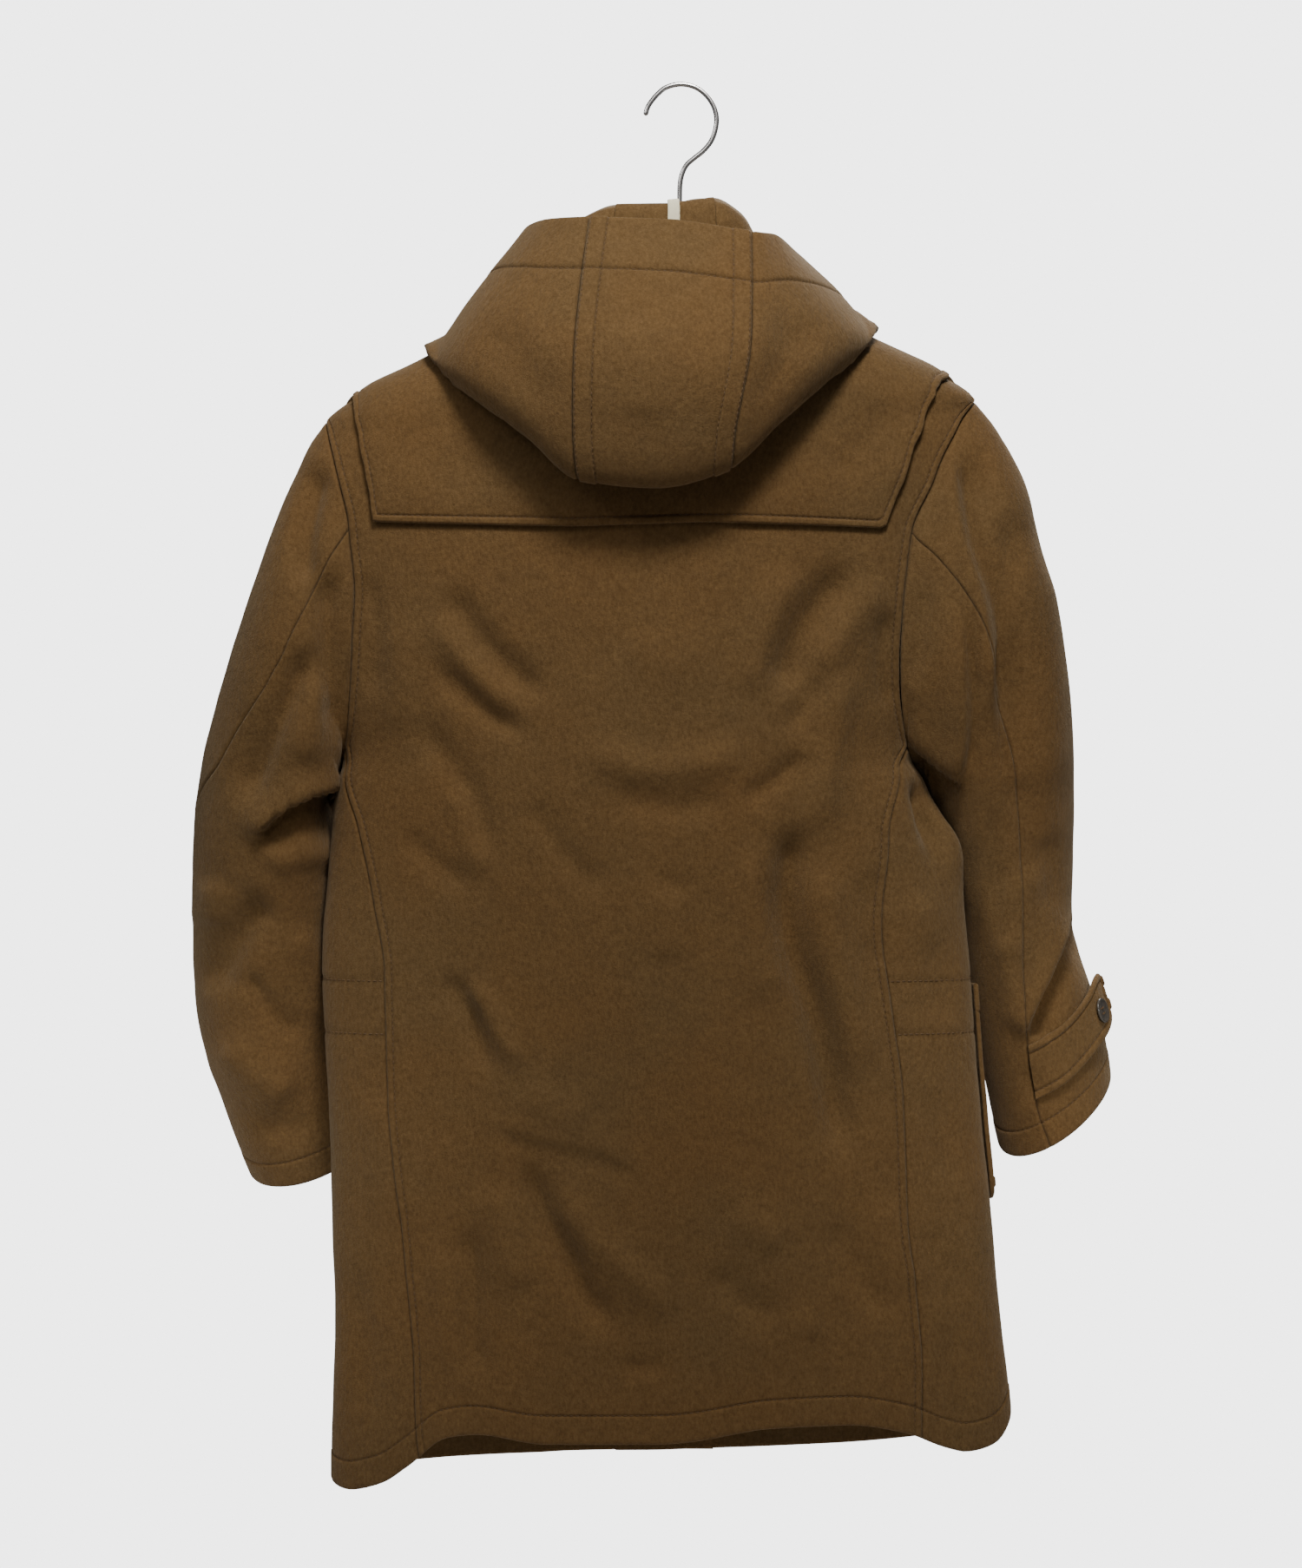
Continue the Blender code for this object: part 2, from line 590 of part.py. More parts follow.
SLEEVE_R = [
    (1119, 462, 1047, 874, 0, 42, 0, 76), (1137, 482, 1058, 884, 0, 47, 0, 79), (1158, 515, 1068, 893, -1, 52, 0, 83),
    (1180, 562, 1076, 903, -2, 56, 1, 85), (1193, 612, 1083, 914, -3, 58, 2, 85), (1205, 664, 1088, 928, -8, 58, 3, 87),
    (1216, 720, 1091, 945, -14, 58, 4, 89), (1226, 780, 1094, 967, -20, 57, 5, 88), (1233, 848, 1097, 994, -27, 56, 6, 87),
    (1235, 915, 1100, 1027, -34, 55, 8, 86), (1233, 985, 1104, 1070, -41, 54, 10, 84), (1231, 1045, 1110, 1116, -47, 53, 12, 85),
    (1242, 1095, 1118, 1160, -52, 52, 14, 88), (1254, 1135, 1128, 1205, -56, 51, 16, 93), (1266, 1172, 1138, 1250, -59, 50, 17, 98),
    (1273, 1206, 1146, 1287, -61, 49, 18, 102), (1277, 1236, 1153, 1318, -62, 48, 19, 102)]
UPPER_SPAN = 150.0   # degrees of the ring that the upper sleeve takes
CUFF = len(SLEEVE_L) - 1


def gap_to_body(p):
    """About how far each point is outside the middle of the body's cloth, and the way out."""
    z = np.minimum(p[..., 2], -170.5)
    x, y, n = p[..., 0] - XC, p[..., 1], power(z)

    def level(zz):
        wide = np.where(x >= 0, half_left(zz), half_right(zz))
        deep = np.where(y >= 0, depth_back(zz), -depth_front(zz))
        return np.maximum((np.abs(x) / wide) ** n + (np.abs(y) / deep) ** n, 1e-6) ** (1 / n)

    wide = np.where(x >= 0, half_left(z), half_right(z))
    deep = np.where(y >= 0, depth_back(z), -depth_front(z))
    r = level(z)
    gx = np.sign(x) * r ** (1 - n) * (np.abs(x) / wide) ** (n - 1) / wide
    gy = np.sign(y) * r ** (1 - n) * (np.abs(y) / deep) ** (n - 1) / deep
    gz = (level(np.minimum(z + 2, -170.5)) - level(z - 2)) / (np.minimum(z + 2, -170.5) - z + 2)
    g = np.stack([gx, gy, gz], -1)
    size = np.maximum(np.linalg.norm(g, axis=-1), 1e-6)
    return (r - 1) / size, g / size[..., None]


def keep_off(p, room, hold=1.0):
    """Moves points that are nearer to the body than room straight out."""
    for _ in range(3):
        gap, way = gap_to_body(p)
        e = room - gap
        push = 0.5 * (e + np.sqrt(e * e + 1.0)) - 0.02
        p = p + way * (np.where(e > -6, push, 0.0) * hold)[..., None]
    return p


def armhole_loop(table, phi):
    """Point of the armhole at phi (radians): 0 the shoulder tip, 180 degrees the underarm, the back between them."""
    f = (1 - np.cos(phi)) / 2
    z = tip_z(table) + (underarm_z(table) - tip_z(table)) * f
    a = armhole_angle(table, z)
    p = ring(a, z)
    p[..., 1] *= np.sign(np.sin(phi) + 1e-12) * 1.0
    return p


def sleeve_middle(rows, table, s, phi):
    """Middle of the sleeve's cloth at ring s (0 armhole to CUFF) and angle phi (radians)."""
    s, phi = np.broadcast_arrays(np.asarray(s, float), np.asarray(phi, float))
    t = np.asarray(rows, float)
    i = np.arange(len(rows))
    col = [curve(i, t[:, c], s) for c in range(7)]
    y = col[4]
    ox, _, oz = at(col[0], col[1], y)
    ix, _, iz = at(col[2], col[3], y)
    ax, az = (ox - ix) / 2, (oz - iz) / 2
    c, d = np.cos(phi), np.sin(phi)
    p = np.stack([(ox + ix) / 2 + ax * c, y + col[5] * d, (oz + iz) / 2 + az * c - col[6] * d], -1)
    fade = smooth(1 - s / 4.5)
    loop = armhole_loop(table, phi)
    tip, under = at(rows[0][0], rows[0][1], 0), at(rows[0][2], rows[0][3], 0)
    straight = np.stack([(tip[0] + under[0]) / 2 + (tip[0] - under[0]) / 2 * c, rows[0][5] * d + 0 * c,
                         (tip[2] + under[2]) / 2 + (tip[2] - under[2]) / 2 * c], -1)
    p = p + (loop - straight) * fade[..., None]
    # under the arm the two walls turn down side by side, so the sleeve starts a wall further out
    side = 1 if table is ARMHOLE_L else -1
    low = smooth((np.abs(np.abs(phi) % (2 * np.pi) - np.pi) * -1 + 75 * RAD) / (45 * RAD)) * smooth(1 - s / 2.0)
    p = p + np.stack([side * 3.6 * low, 0 * low, 1.6 * low], -1)
    # the sleeve lies against the body and never in it
    room = 2.4 + CLOTH + 3.6 * smooth((s - 9) / 3)
    return keep_off(p, room, smooth((s - 0.2) / 1.3) * smooth((underarm_z(table) + 10 - p[..., 2]) / 30))


def sleeve_normal(rows, table, s, phi):
    e = 0.02
    ds = sleeve_middle(rows, table, np.minimum(s + e, CUFF), phi) - sleeve_middle(rows, table, np.maximum(s - e, 0), phi)
    dp = sleeve_middle(rows, table, s, phi + e) - sleeve_middle(rows, table, s, phi - e)
    n = np.cross(ds, dp)
    n /= np.maximum(np.linalg.norm(n, axis=-1, keepdims=True), 1e-9)
    side = 1 if table is ARMHOLE_L else -1
    n *= side
    # at the armhole the cloth has the body's own direction
    f = (1 - np.cos(phi)) / 2
    z = tip_z(table) + (underarm_z(table) - tip_z(table)) * f
    a = armhole_angle(table, z)
    b = body_normal(a, z)
    b[..., 1] *= np.sign(np.sin(phi) + 1e-12)
    low = smooth((75 * RAD - np.abs(np.abs(phi) % (2 * np.pi) - np.pi)) / (45 * RAD))
    k = (smooth(1 - np.asarray(s, float) / 0.9) * (1 - low))[..., None]
    m = n * (1 - k) + b * k
    return m / np.maximum(np.linalg.norm(m, axis=-1, keepdims=True), 1e-9)


def sleeve(rows, table, s, phi, off=0.0):
    s, phi = np.broadcast_arrays(np.asarray(s, float), np.asarray(phi, float))
    return sleeve_middle(rows, table, s, phi) + sleeve_normal(rows, table, s, phi) * off


def back_seam_phi(rows, s):
    return curve(np.arange(len(rows)), [r[7] for r in rows], s) * RAD


RINGS = [0.05, 0.6, 1.5, 2.6, 3.8, 5.2, 6.6, 7.8, 8.8, 10.0, 11.4, 13.0, 14.6, 16.0]


def sleeve_grids(rows, table, rings=RINGS):
    """(s, phi) grids of the upper and the under sleeve; they share both seams, and the armhole's rows with the body."""
    s = np.asarray(rings, float)[:, None]
    arm, under = arm_phis(table), under_phis(table)
    seam = seam_phi(table)
    up0 = arm[ARM_ROWS // 2:]
    up0 = np.concatenate([up0, -up0[::-1][1:]])                  # back seam, tip, front seam
    un0 = np.concatenate([arm[:ARM_ROWS // 2 + 1][::-1], under[1:], (2 * np.pi - arm[:ARM_ROWS // 2 + 1])[1:]])
    pb = back_seam_phi(rows, s)
    pf = pb - UPPER_SPAN * RAD
    m = smooth(s / 3.0)
    gap = 0.4 / 50.0
    upper = (1 - m) * up0[None] + m * (pb - (pb - pf) * np.linspace(0, 1, len(up0))[None])
    lower = (1 - m) * un0[None] + m * (pb + (pf + 2 * np.pi - pb) * np.linspace(0, 1, len(un0))[None])
    upper[:, 0] -= gap
    upper[:, -1] += gap
    lower[:, 0] += gap
    lower[:, -1] -= gap
    return (np.broadcast_to(s, upper.shape), upper), (np.broadcast_to(s, lower.shape), lower)


# ---------------------------------------------------------------- hood, thrown back
# Stations from the right throat (-1) over the back (0) to the left throat (1):
# w, outward direction in degrees, neck u v y, ridge u v y, bottom u v y, rim u v y, thickness of the bag, belly
HOOD = [
    (-1.00, -160, 764, 486, -71, 768, 468, -77, 800, 504, -86, 772, 452, -86, 5, 2),
    (-0.85, -120, 872, 426, -58, 876, 396, -63, 944, 436, -76, 888, 342, -68, 12, 6),
    (-0.70, -85, 903, 347, -2, 893, 318, -4, 1005, 391, 22, 938, 304, -16, 18, 9),
    (-0.55, -52, 876, 345, 30, 872, 280, 36, 972, 437, 66, 921, 288, 32, 24, 16),
    (-0.40, -30, 838, 350, 42, 850, 243, 50, 912, 498, 88, 890, 270, 64, 26, 24),
    (-0.22, -12, 800, 352, 46, 820, 229, 56, 837, 546, 95, 857, 265, 79, 26, 29),
    (0.00, 0, 757, 353, 47, 766, 235, 57, 757, 565, 97, 773, 253, 80, 26, 30),
    (0.22, 12, 712, 352, 46, 715, 236, 56, 676, 557, 96, 690, 249, 79, 26, 29),
    (0.40, 30, 670, 350, 42, 668, 246, 50, 593, 514, 90, 632, 251, 66, 26, 24),
    (0.55, 52, 630, 347, 30, 634, 285, 36, 530, 461, 68, 603, 263, 34, 24, 16),
    (0.70, 85, 602, 349, -2, 612, 320, -4, 497, 413, 22, 590, 285, -14, 18, 9),
    (0.85, 120, 632, 428, -58, 628, 398, -63, 560, 450, -76, 616, 344, -68, 12, 6),
    (1.00, 160, 742, 486, -71, 738, 468, -77, 706, 504, -86, 734, 452, -86, 5, 2)]
HOOD_SEAM = 0.22
# where along the section each control point lies
SECTION = [0.0, 0.10, 0.17, 0.23, 0.36, 0.50, 0.56, 0.63, 0.78, 0.90, 1.0]


def hood_controls(w):
    """The section's control points at w, an array of 11 points."""
    t = np.asarray(HOOD, float)
    col = [curve(t[:, 0], t[:, c], w) for c in range(16)]
    th = col[1] * RAD
    out = np.stack([np.sin(th), np.cos(th), 0 * th], -1)
    up = np.array([0.0, 0.0, 1.0])
    neck, ridge, bottom, rim = (np.stack(at(col[c], col[c + 1], col[c + 2]), -1) for c in (2, 5, 8, 11))
    bag, belly = col[14][..., None], col[15][..., None]
    r = np.minimum(7.0, 0.12 * bag * 2 + 2)
    drop = np.minimum(0.35 * (ridge[..., 2:] - bottom[..., 2:]), 12.0)
    p1 = ridge - out * r - up * drop
    p3 = ridge + out * r - up * drop
    low = bottom - out * bag * 0.75 + up * np.minimum(16.0, 0.3 * bag + 4)
    p4 = 0.55 * p3 + 0.45 * low
    p7 = bottom + out * bag * 0.55 + up * np.minimum(26.0, bag)
    p8 = 0.55 * bottom + 0.45 * rim + out * belly
    p9 = 0.26 * bottom + 0.74 * rim + out * belly * 0.62
    return np.stack([neck, p1, ridge, p3, p4, low, bottom, p7, p8, p9, rim], 0)


def hood_middle(w, t):
    """Middle of the hood's cloth: w across, t from the neck seam (0) over the roll and round the bag to the rim (1)."""
    w, t = np.broadcast_arrays(np.asarray(w, float), np.asarray(t, float))
    c = hood_controls(w)
    s = np.asarray(SECTION)
    i = np.clip(np.searchsorted(s, t, side="right") - 1, 0, len(s) - 2)
    f = ((t - s[i]) / (s[i + 1] - s[i]))[..., None]

    def pick(j):
        return np.take_along_axis(c, np.clip(j, 0, len(s) - 1)[None, ..., None], 0)[0]

    def slope(j):
        j = np.clip(j, 0, len(s) - 1)
        lo, hi = np.maximum(j - 1, 0), np.minimum(j + 1, len(s) - 1)
        return (pick(hi) - pick(lo)) / (s[hi] - s[lo])[..., None]

    h = (s[i + 1] - s[i])[..., None]
    p = (pick(i) * (1 + 2 * f) * (1 - f) ** 2 + slope(i) * h * f * (1 - f) ** 2
         + pick(i + 1) * f * f * (3 - 2 * f) + slope(i + 1) * h * f * f * (f - 1))
    return keep_off(p, YOKE_LIFT + CLOTH + 4.4, smooth((t - 0.22) / 0.1))


def hood(w, t, off=0.0):
    w, t = np.broadcast_arrays(np.asarray(w, float), np.asarray(t, float))
    e = 0.004
    dw = hood_middle(np.clip(w + e, -1, 1), t) - hood_middle(np.clip(w - e, -1, 1), t)
    dt = hood_middle(w, np.clip(t + e, 0, 1)) - hood_middle(w, np.clip(t - e, 0, 1))
    n = np.cross(dt, dw)
    n /= np.maximum(np.linalg.norm(n, axis=-1, keepdims=True), 1e-9)
    return hood_middle(w, t) + n * off


HOOD_T = [0.0, 0.10, 0.14, 0.17, 0.20, 0.24, 0.36, 0.48, 0.53, 0.57, 0.62, 0.70, 0.79, 0.90, 1.0]


HOOD_W = [HOOD_SEAM + 0.0008, 0.33, 0.44, 0.53, 0.60, 0.65, 0.695, 0.74, 0.79, 0.85, 0.92, 1.0]


def hood_wall(w):
    w = np.asarray(w, float)
    g = (w[None, :] + 0 * np.asarray(HOOD_T)[:, None], np.asarray(HOOD_T)[:, None] + 0 * w[None, :])
    return hood(*g, CLOTH / 2), hood(*g, -CLOTH / 2)


# ---------------------------------------------------------------- yoke, pockets, tabs
YOKE_BACK = [(401, 478), (408, 508), (415, 540), (422, 568), (430, 602), (663, 607), (805, 602), (1019, 609),
             (1036, 566), (1055, 516), (1075, 475), (1095, 440)]
YOKE_FRONT_DROP = 50.0  # how far the yoke reaches down the front below the shoulder tip


def on_back(u, v, y=50.0):
    for _ in range(8):
        x, _, z = at(u, v, y)
        y = float(ring(angle_of(x, z), z)[1])
    return float(angle_of(x, z)), float(z)


def refine(points, counts):
    """Points of a polyline with counts[i] steps on leg i."""
    out = []
    for (p, q), n in zip(zip(points[:-1], points[1:]), counts):
        for s in range(n):
            out.append((p[0] + (q[0] - p[0]) * s / n, p[1] + (q[1] - p[1]) * s / n))
    out.append(points[-1])
    return out


def yoke_edges():
    """Outer and inner boundary of the yoke as (angle, z), from the right front edge over the back to the left."""
    back = [on_back(u, v) for u, v in YOKE_BACK][::-1]      # right to left
    zr, zl = tip_z(ARMHOLE_R) - YOKE_FRONT_DROP, tip_z(ARMHOLE_L) - YOKE_FRONT_DROP

    def front(sign, table, edge):
        tip, low = tip_z(table), tip_z(table) - YOKE_FRONT_DROP
        inset = 13.0
        pts = []
        for f in (0.10, 0.45, 0.8):
            z = tip + (low - tip) * f
            a = abs(float(armhole_angle(table, z, True)))
            x = float(ring(np.array(a), np.array(z))[0]) if sign > 0 else float(ring(np.array(-a), np.array(z))[0])
            x -= sign * inset
            pts.append((float(angle_of(np.array(x), np.array(z), True)), z))
        z = low
        wide = float(half_left(z) if edge > XC else half_right(z))
        beta = math.asin((abs(edge - XC) / wide) ** (float(power(z)) / 2))
        end = sign * (math.pi + (beta if (edge - XC) * sign < 0 else -beta))
        pts.append((pts[-1][0] + sign * 2 * RAD, low))
        for f in (0.5, 1.0):
            pts.append((pts[2][0] + (end - pts[2][0]) * f, low))
        return pts

    right = front(-1, ARMHOLE_R, FRONT_EDGE_L - 8)[::-1]
    left = front(1, ARMHOLE_L, FRONT_EDGE_L)
    legs = [(right, "r"), (back, "b"), (left, "l")]
    outer = right + [(-math.pi / 2, tip_z(ARMHOLE_R) + 8)] + back + [(math.pi / 2, tip_z(ARMHOLE_L) + 8)] + left
    # neckline places that belong to each outer point
    n_r, n_b, n_l = len(right), len(back), len(left)
    p = list(np.linspace(-1.62, -1.12, n_r)) + [-1.0] + list(np.linspace(-0.93, 0.93, n_b)) + [1.0] + list(np.linspace(1.12, 2.0, n_l))
    inner = []
    for q in p:
        a, z = neckline(float(np.clip(q, -2, 2)))
        inner.append((a, z - 1.0 - 6.0 * float(smooth((abs(q) - 0.7) / 0.3) * smooth((1.9 - abs(q)) / 0.3))))
    inner[-1] = (left[-1][0], NECK_FRONT - 1.0)
    steps = [max(1, round(abs(outer[i + 1][0] - outer[i][0]) / (9.5 * RAD))) for i in range(len(outer) - 1)]
    return refine(outer, steps), refine(inner, steps)


def yoke_grid(rows=6):
    outer, inner = yoke_edges()
    o, i = np.asarray(outer), np.asarray(inner)
    t = np.linspace(0, 1, rows + 1)[:, None, None]
    return o[None] * (1 - t) + i[None] * t


def pocket_grid(side):
    """(angle, z) grid of a patch pocket: on the front, its rear edge at the side."""
    rear, fore = (104, 146) if side > 0 else (-91, -139)
    top, bottom = (-679.0, -843.0)
    a = np.linspace(rear, fore, 7) * RAD
    z = np.linspace(bottom, top, 6)
    return np.stack(np.broadcast_arrays(a[None, :], z[:, None]), -1)


# Cuff tab: degrees past the back seam, upper ring, lower ring
TAB = [(2, 12.95, 14.3), (22, 12.95, 14.3), (42, 12.88, 14.22), (60, 12.74, 14.12), (72, 12.62, 14.02), (80, 12.66, 13.88),
       (84, 12.9, 13.55)]


def tab_grid(rows):
    pts = []
    for deg, top, low in TAB:
        s = np.linspace(low, top, 4)
        phi = back_seam_phi(rows, s) - deg * RAD
        pts.append(np.stack([s, phi], -1))
    return np.stack(pts, 1)


# ---------------------------------------------------------------- closures, hanger, hook
CLOSURES = [-347.0, -457.0, -567.0, -677.0]   # height of each toggle
TOGGLE_X, PATCH_LOOP_X, PATCH_TOGGLE_X = -36.0, 46.0, -112.0
PATCH_W, PATCH_H, PATCH_T = 36.0, 34.0, 1.6


def front_y(x, z, off):
    """Depth of the front's outer face, with the overlap, off millimetres outside the cloth's middle."""
    a = math.pi - float(angle_of(np.array(x), np.array(z)))
    lap = float(lap_at(x)) if x > FRONT_EDGE_L - 0.5 else 0.0
    return float(ring(np.array(a), np.array(z))[1]) - lap - off


def closure_patch(cx, cz, point):
    """A plain shield of leather: round corners, its point towards the toggle."""
    outline = []
    w, h = PATCH_W / 2, PATCH_H / 2
    for a in np.linspace(0, 2 * np.pi, 24, endpoint=False):
        r = 1.0 / (abs(math.cos(a)) ** 3.2 + abs(math.sin(a)) ** 3.2) ** (1 / 3.2)
        x, z = w * r * math.cos(a), h * r * math.sin(a)
        if x * point > 0:
            z *= 1 - 0.45 * abs(x) / w
        outline.append((cx + x, cz + z))
    base = CLOTH / 2 + 1.0
    verts, faces = [], []
    for off in (base, base + PATCH_T):
        verts.append((cx, front_y(cx, cz, off), cz))
        for x, z in outline:
            verts.append((x, front_y(x, z, off), z))
    n = len(outline)
    for i in range(n):
        j = (i + 1) % n
        faces += [(0, 1 + j, 1 + i), (n + 1, n + 2 + i, n + 2 + j), (1 + i, 1 + j, n + 2 + j, n + 2 + i)]
    return np.array(verts), faces


def loop_cord(z):
    """The left front's loop: two strands and a round end that the toggle lies across."""
    a = CLOTH / 2 + CORD + 0.6
    end, start, half = TOGGLE_X - 10.0, PATCH_LOOP_X - PATCH_W / 2 - 0.9, 7.4
    pts = [(start, z + 4.0), ((start + end) / 2, z + half)]
    pts += [(end + half - half * math.sin(t), z + half * math.cos(t)) for t in np.linspace(0, np.pi, 7)]
    pts += [((start + end) / 2, z - half), (start, z - 4.0)]
    out = []
    for x, zz in spline(pts, 3):
        lift = 2 * CORD + 1.4 if x < FRONT_EDGE_L + 4 else 0.0
        top = min(front_y(x, zz, a), front_y(FRONT_EDGE_L + 1, zz, a)) if x < FRONT_EDGE_L + 6 else front_y(x, zz, a)
        out.append((x, top - lift * float(smooth((FRONT_EDGE_L + 8 - x) / 10)) * 0.6, zz))
    return tube(out, CORD, 6)


def toggle_cord(z):
    """The right front's cord: two strands that pass under the loop's end and up into the toggle."""
    a = CLOTH / 2 + CORD + 0.5
    start, half = PATCH_TOGGLE_X + PATCH_W / 2 + 0.9, 2.2
    base = front_y(FRONT_EDGE_L + 1, z, 0) - CLOTH / 2
    rise = toggle_y(z) + 6.6 + CORD
    pts = []
    for s in (1, -1):
        strand = [(start, front_y(start, z, a), z + s * 4.0), (-70.0, front_y(-70.0, z, a), z + s * 3.4),
                  (TOGGLE_X - 16, front_y(TOGGLE_X - 16, z, a) - 0.2, z + s * half),
                  (TOGGLE_X - 4, front_y(TOGGLE_X - 4, z, a) - 2.2, z + s * half),
                  (TOGGLE_X, rise, z + s * half)]
        pts += strand if s > 0 else strand[::-1]
    return tube(spline(pts, 3), CORD * 0.85, 6)


def toggle_y(z):
    return front_y(TOGGLE_X, z, 0) - LAP - 4 * CORD - 10.5


def toggle(z):
    """A round-ended bar, thicker at its waist."""
    n = 12
    t = np.linspace(-1, 1, n)
    pts = [(TOGGLE_X + 1.2 * x, toggle_y(z) - 0.8 * (1 - x * x), z + 25.0 * x) for x in t]
    r = [6.1 * (1 - 0.25 * x * x) * math.sqrt(max(1 - (abs(x) ** 7), 0.10)) for x in t]
    return tube(pts, r, 10)


HOOK = [(743.5, 133), (746, 124), (751, 116), (758, 108), (768, 100.5), (784, 97), (800, 100), (813, 109), (822, 122), (825.5, 136),
        (824, 150), (819, 163), (810, 174), (800, 182), (791, 190), (786, 200), (783.5, 212), (783, 232), (783, 262)]
# The hanger: x from its middle, z of the top, height, width
ARM = [(-205, -236, 9, 13), (-190, -229, 13, 15), (-150, -209, 15, 14), (-80, -176, 18, 13), (-50, -158, 21, 13), (-20, -136, 24, 13),
       (0, -129, 26, 13), (20, -135, 24, 13), (50, -156, 21, 13), (80, -173, 18, 13), (150, -203, 15, 14), (190, -222, 13, 15), (205, -229, 9, 13)]


def hanger():
    rows = ARM
    verts, faces, n = [], [], 10
    for x, z, h, w in rows:
        for j in range(n):
            t = 2 * math.pi * j / n
            c, s = math.cos(t), math.sin(t)
            verts.append((x, 0.5 * w * np.sign(c) * abs(c) ** 0.7, z - h / 2 + 0.5 * h * np.sign(s) * abs(s) ** 0.7))
    for i in range(len(rows) - 1):
        for j in range(n):
            faces.append((i * n + j, i * n + (j + 1) % n, (i + 1) * n + (j + 1) % n, (i + 1) * n + j))
    faces += [tuple(range(n))[::-1], tuple((len(rows) - 1) * n + j for j in range(n))]
    return np.array(verts, float), faces


def hook():
    pts = [at(u, v, 0.0) for u, v in HOOK]
    path = spline([(x, 0.0, z) for x, _, z in pts], 3)
    path = path[path[:, 2] > -126.0]
    path = np.concatenate([path, [[path[-1][0], 0.0, -128.4]]])
    return tube(path, WIRE, 8)


def button(rows, table, s, phi, off):
    """Place, directions and size of a cuff button."""
    c = sleeve(rows, table, np.array(s), np.array(phi), off)
    n = sleeve_normal(rows, table, np.array(s), np.array(phi))
    along_ = sleeve(rows, table, np.array(s + 0.2), np.array(phi), off) - c
    t = along_ - n * (along_ @ n)
    t /= np.linalg.norm(t)
    b = np.cross(n, t)
    r, th = 9.6, 1.5
    return c, n, t, b, r, th


def disc(c, n, t, b, r, th, sides=20):
    """Turned profile: flat base, rounded rim, dished face."""
    prof = [(0.0, 0.0), (r * 0.86, 0.0), (r, th * 0.45), (r * 0.97, th * 1.15), (r * 0.84, th * 1.3), (r * 0.68, th * 0.8), (0.0, th * 0.75)]
    verts, faces = [c + n * prof[0][1]], []
    for pr, ph in prof[1:-1]:
        for j in range(sides):
            w = 2 * math.pi * j / sides
            verts.append(c + n * ph + pr * (t * math.cos(w) + b * math.sin(w)))
    verts.append(c + n * prof[-1][1])
    last = len(verts) - 1
    m = len(prof) - 2
    for j in range(sides):
        j2 = (j + 1) % sides
        faces.append((0, 1 + j2, 1 + j))
        for i in range(m - 1):
            faces.append((1 + i * sides + j, 1 + i * sides + j2, 1 + (i + 1) * sides + j2, 1 + (i + 1) * sides + j))
        faces.append((last, 1 + (m - 1) * sides + j, 1 + (m - 1) * sides + j2))
    return np.array(verts), faces


def neck_tape():
    """A short tape over the hood's roll: outside the cloth's reverse face, from inside the neck down behind the rim."""
    w = np.linspace(-0.062, -0.012, 3)
    t = np.array([0.05, 0.10, 0.14, 0.17, 0.20, 0.24, 0.30])
    g = (w[None, :] + 0 * t[:, None], t[:, None] + 0 * w[None, :])
    return hood(*g, -CLOTH / 2 - 0.9), hood(*g, -CLOTH / 2 - 2.0)


# ---------------------------------------------------------------- build
def build():
    for o in list(bpy.data.objects):
        bpy.data.objects.remove(o, do_unlink=True)

    for name, grid in make_body().items():
        add(name, shell(*wall(grid, extra=lap_of(name, grid))), WOOL)

    for side, rows, table in (("left", SLEEVE_L, ARMHOLE_L), ("right", SLEEVE_R, ARMHOLE_R)):
        upper, under = sleeve_grids(rows, table)
        for part, g in (("upper", upper), ("under", under)):
            add(f"sleeve_{side}_{part}", shell(sleeve(rows, table, *g, CLOTH / 2), sleeve(rows, table, *g, -CLOTH / 2)), WOOL)
        g = tab_grid(rows)
        lo, hi = CLOTH / 2 + 2.4, CLOTH / 2 + 2.4 + 2.4
        add(f"cuff_tab_{side}", shell(sleeve(rows, table, g[..., 0], g[..., 1], hi), sleeve(rows, table, g[..., 0], g[..., 1], lo)), WOOL)
        s, deg = 13.36, 65.0
        phi = float(back_seam_phi(rows, s)) - deg * RAD
        c, n, t, b, r, th = button(rows, table, s, phi, hi + 0.9)
        add(f"cuff_button_{side}", disc(c, n, t, b, r, th), BUTTON)

    add("hood_centre", shell(*hood_wall(np.linspace(-HOOD_SEAM + 0.0008, HOOD_SEAM - 0.0008, 7))), WOOL)
    add("hood_left", shell(*hood_wall(HOOD_W)), WOOL)
    add("hood_right", shell(*hood_wall([-w for w in HOOD_W[::-1]])), WOOL)
    add("neck_tape", shell(*neck_tape()), TAPE)

    g = yoke_grid()
    lap = 1.45 * lap_at(ring(g[..., 0], g[..., 1])[..., 0]) * (g[..., 0] > np.pi / 2)
    add("yoke", shell(*wall(g, mid=YOKE_LIFT + 0.6, extra=lap)), WOOL)
    for side, sign in (("left", 1), ("right", -1)):
        add(f"pocket_{side}", shell(*wall(pocket_grid(sign), mid=POCKET_LIFT + 0.6)), WOOL)

    for i, z in enumerate(CLOSURES, 1):
        add(f"toggle_{i}", toggle(z), HORN)
        add(f"toggle_cord_{i}", toggle_cord(z), ROPE)
        add(f"loop_cord_{i}", loop_cord(z), ROPE)
        add(f"loop_patch_{i}", closure_patch(PATCH_LOOP_X, z, -1), LEATHER)
        add(f"toggle_patch_{i}", closure_patch(PATCH_TOGGLE_X, z, 1), LEATHER)

    add("hanger", hanger(), PLASTIC)
    add("hook", hook(), STEEL)


build()
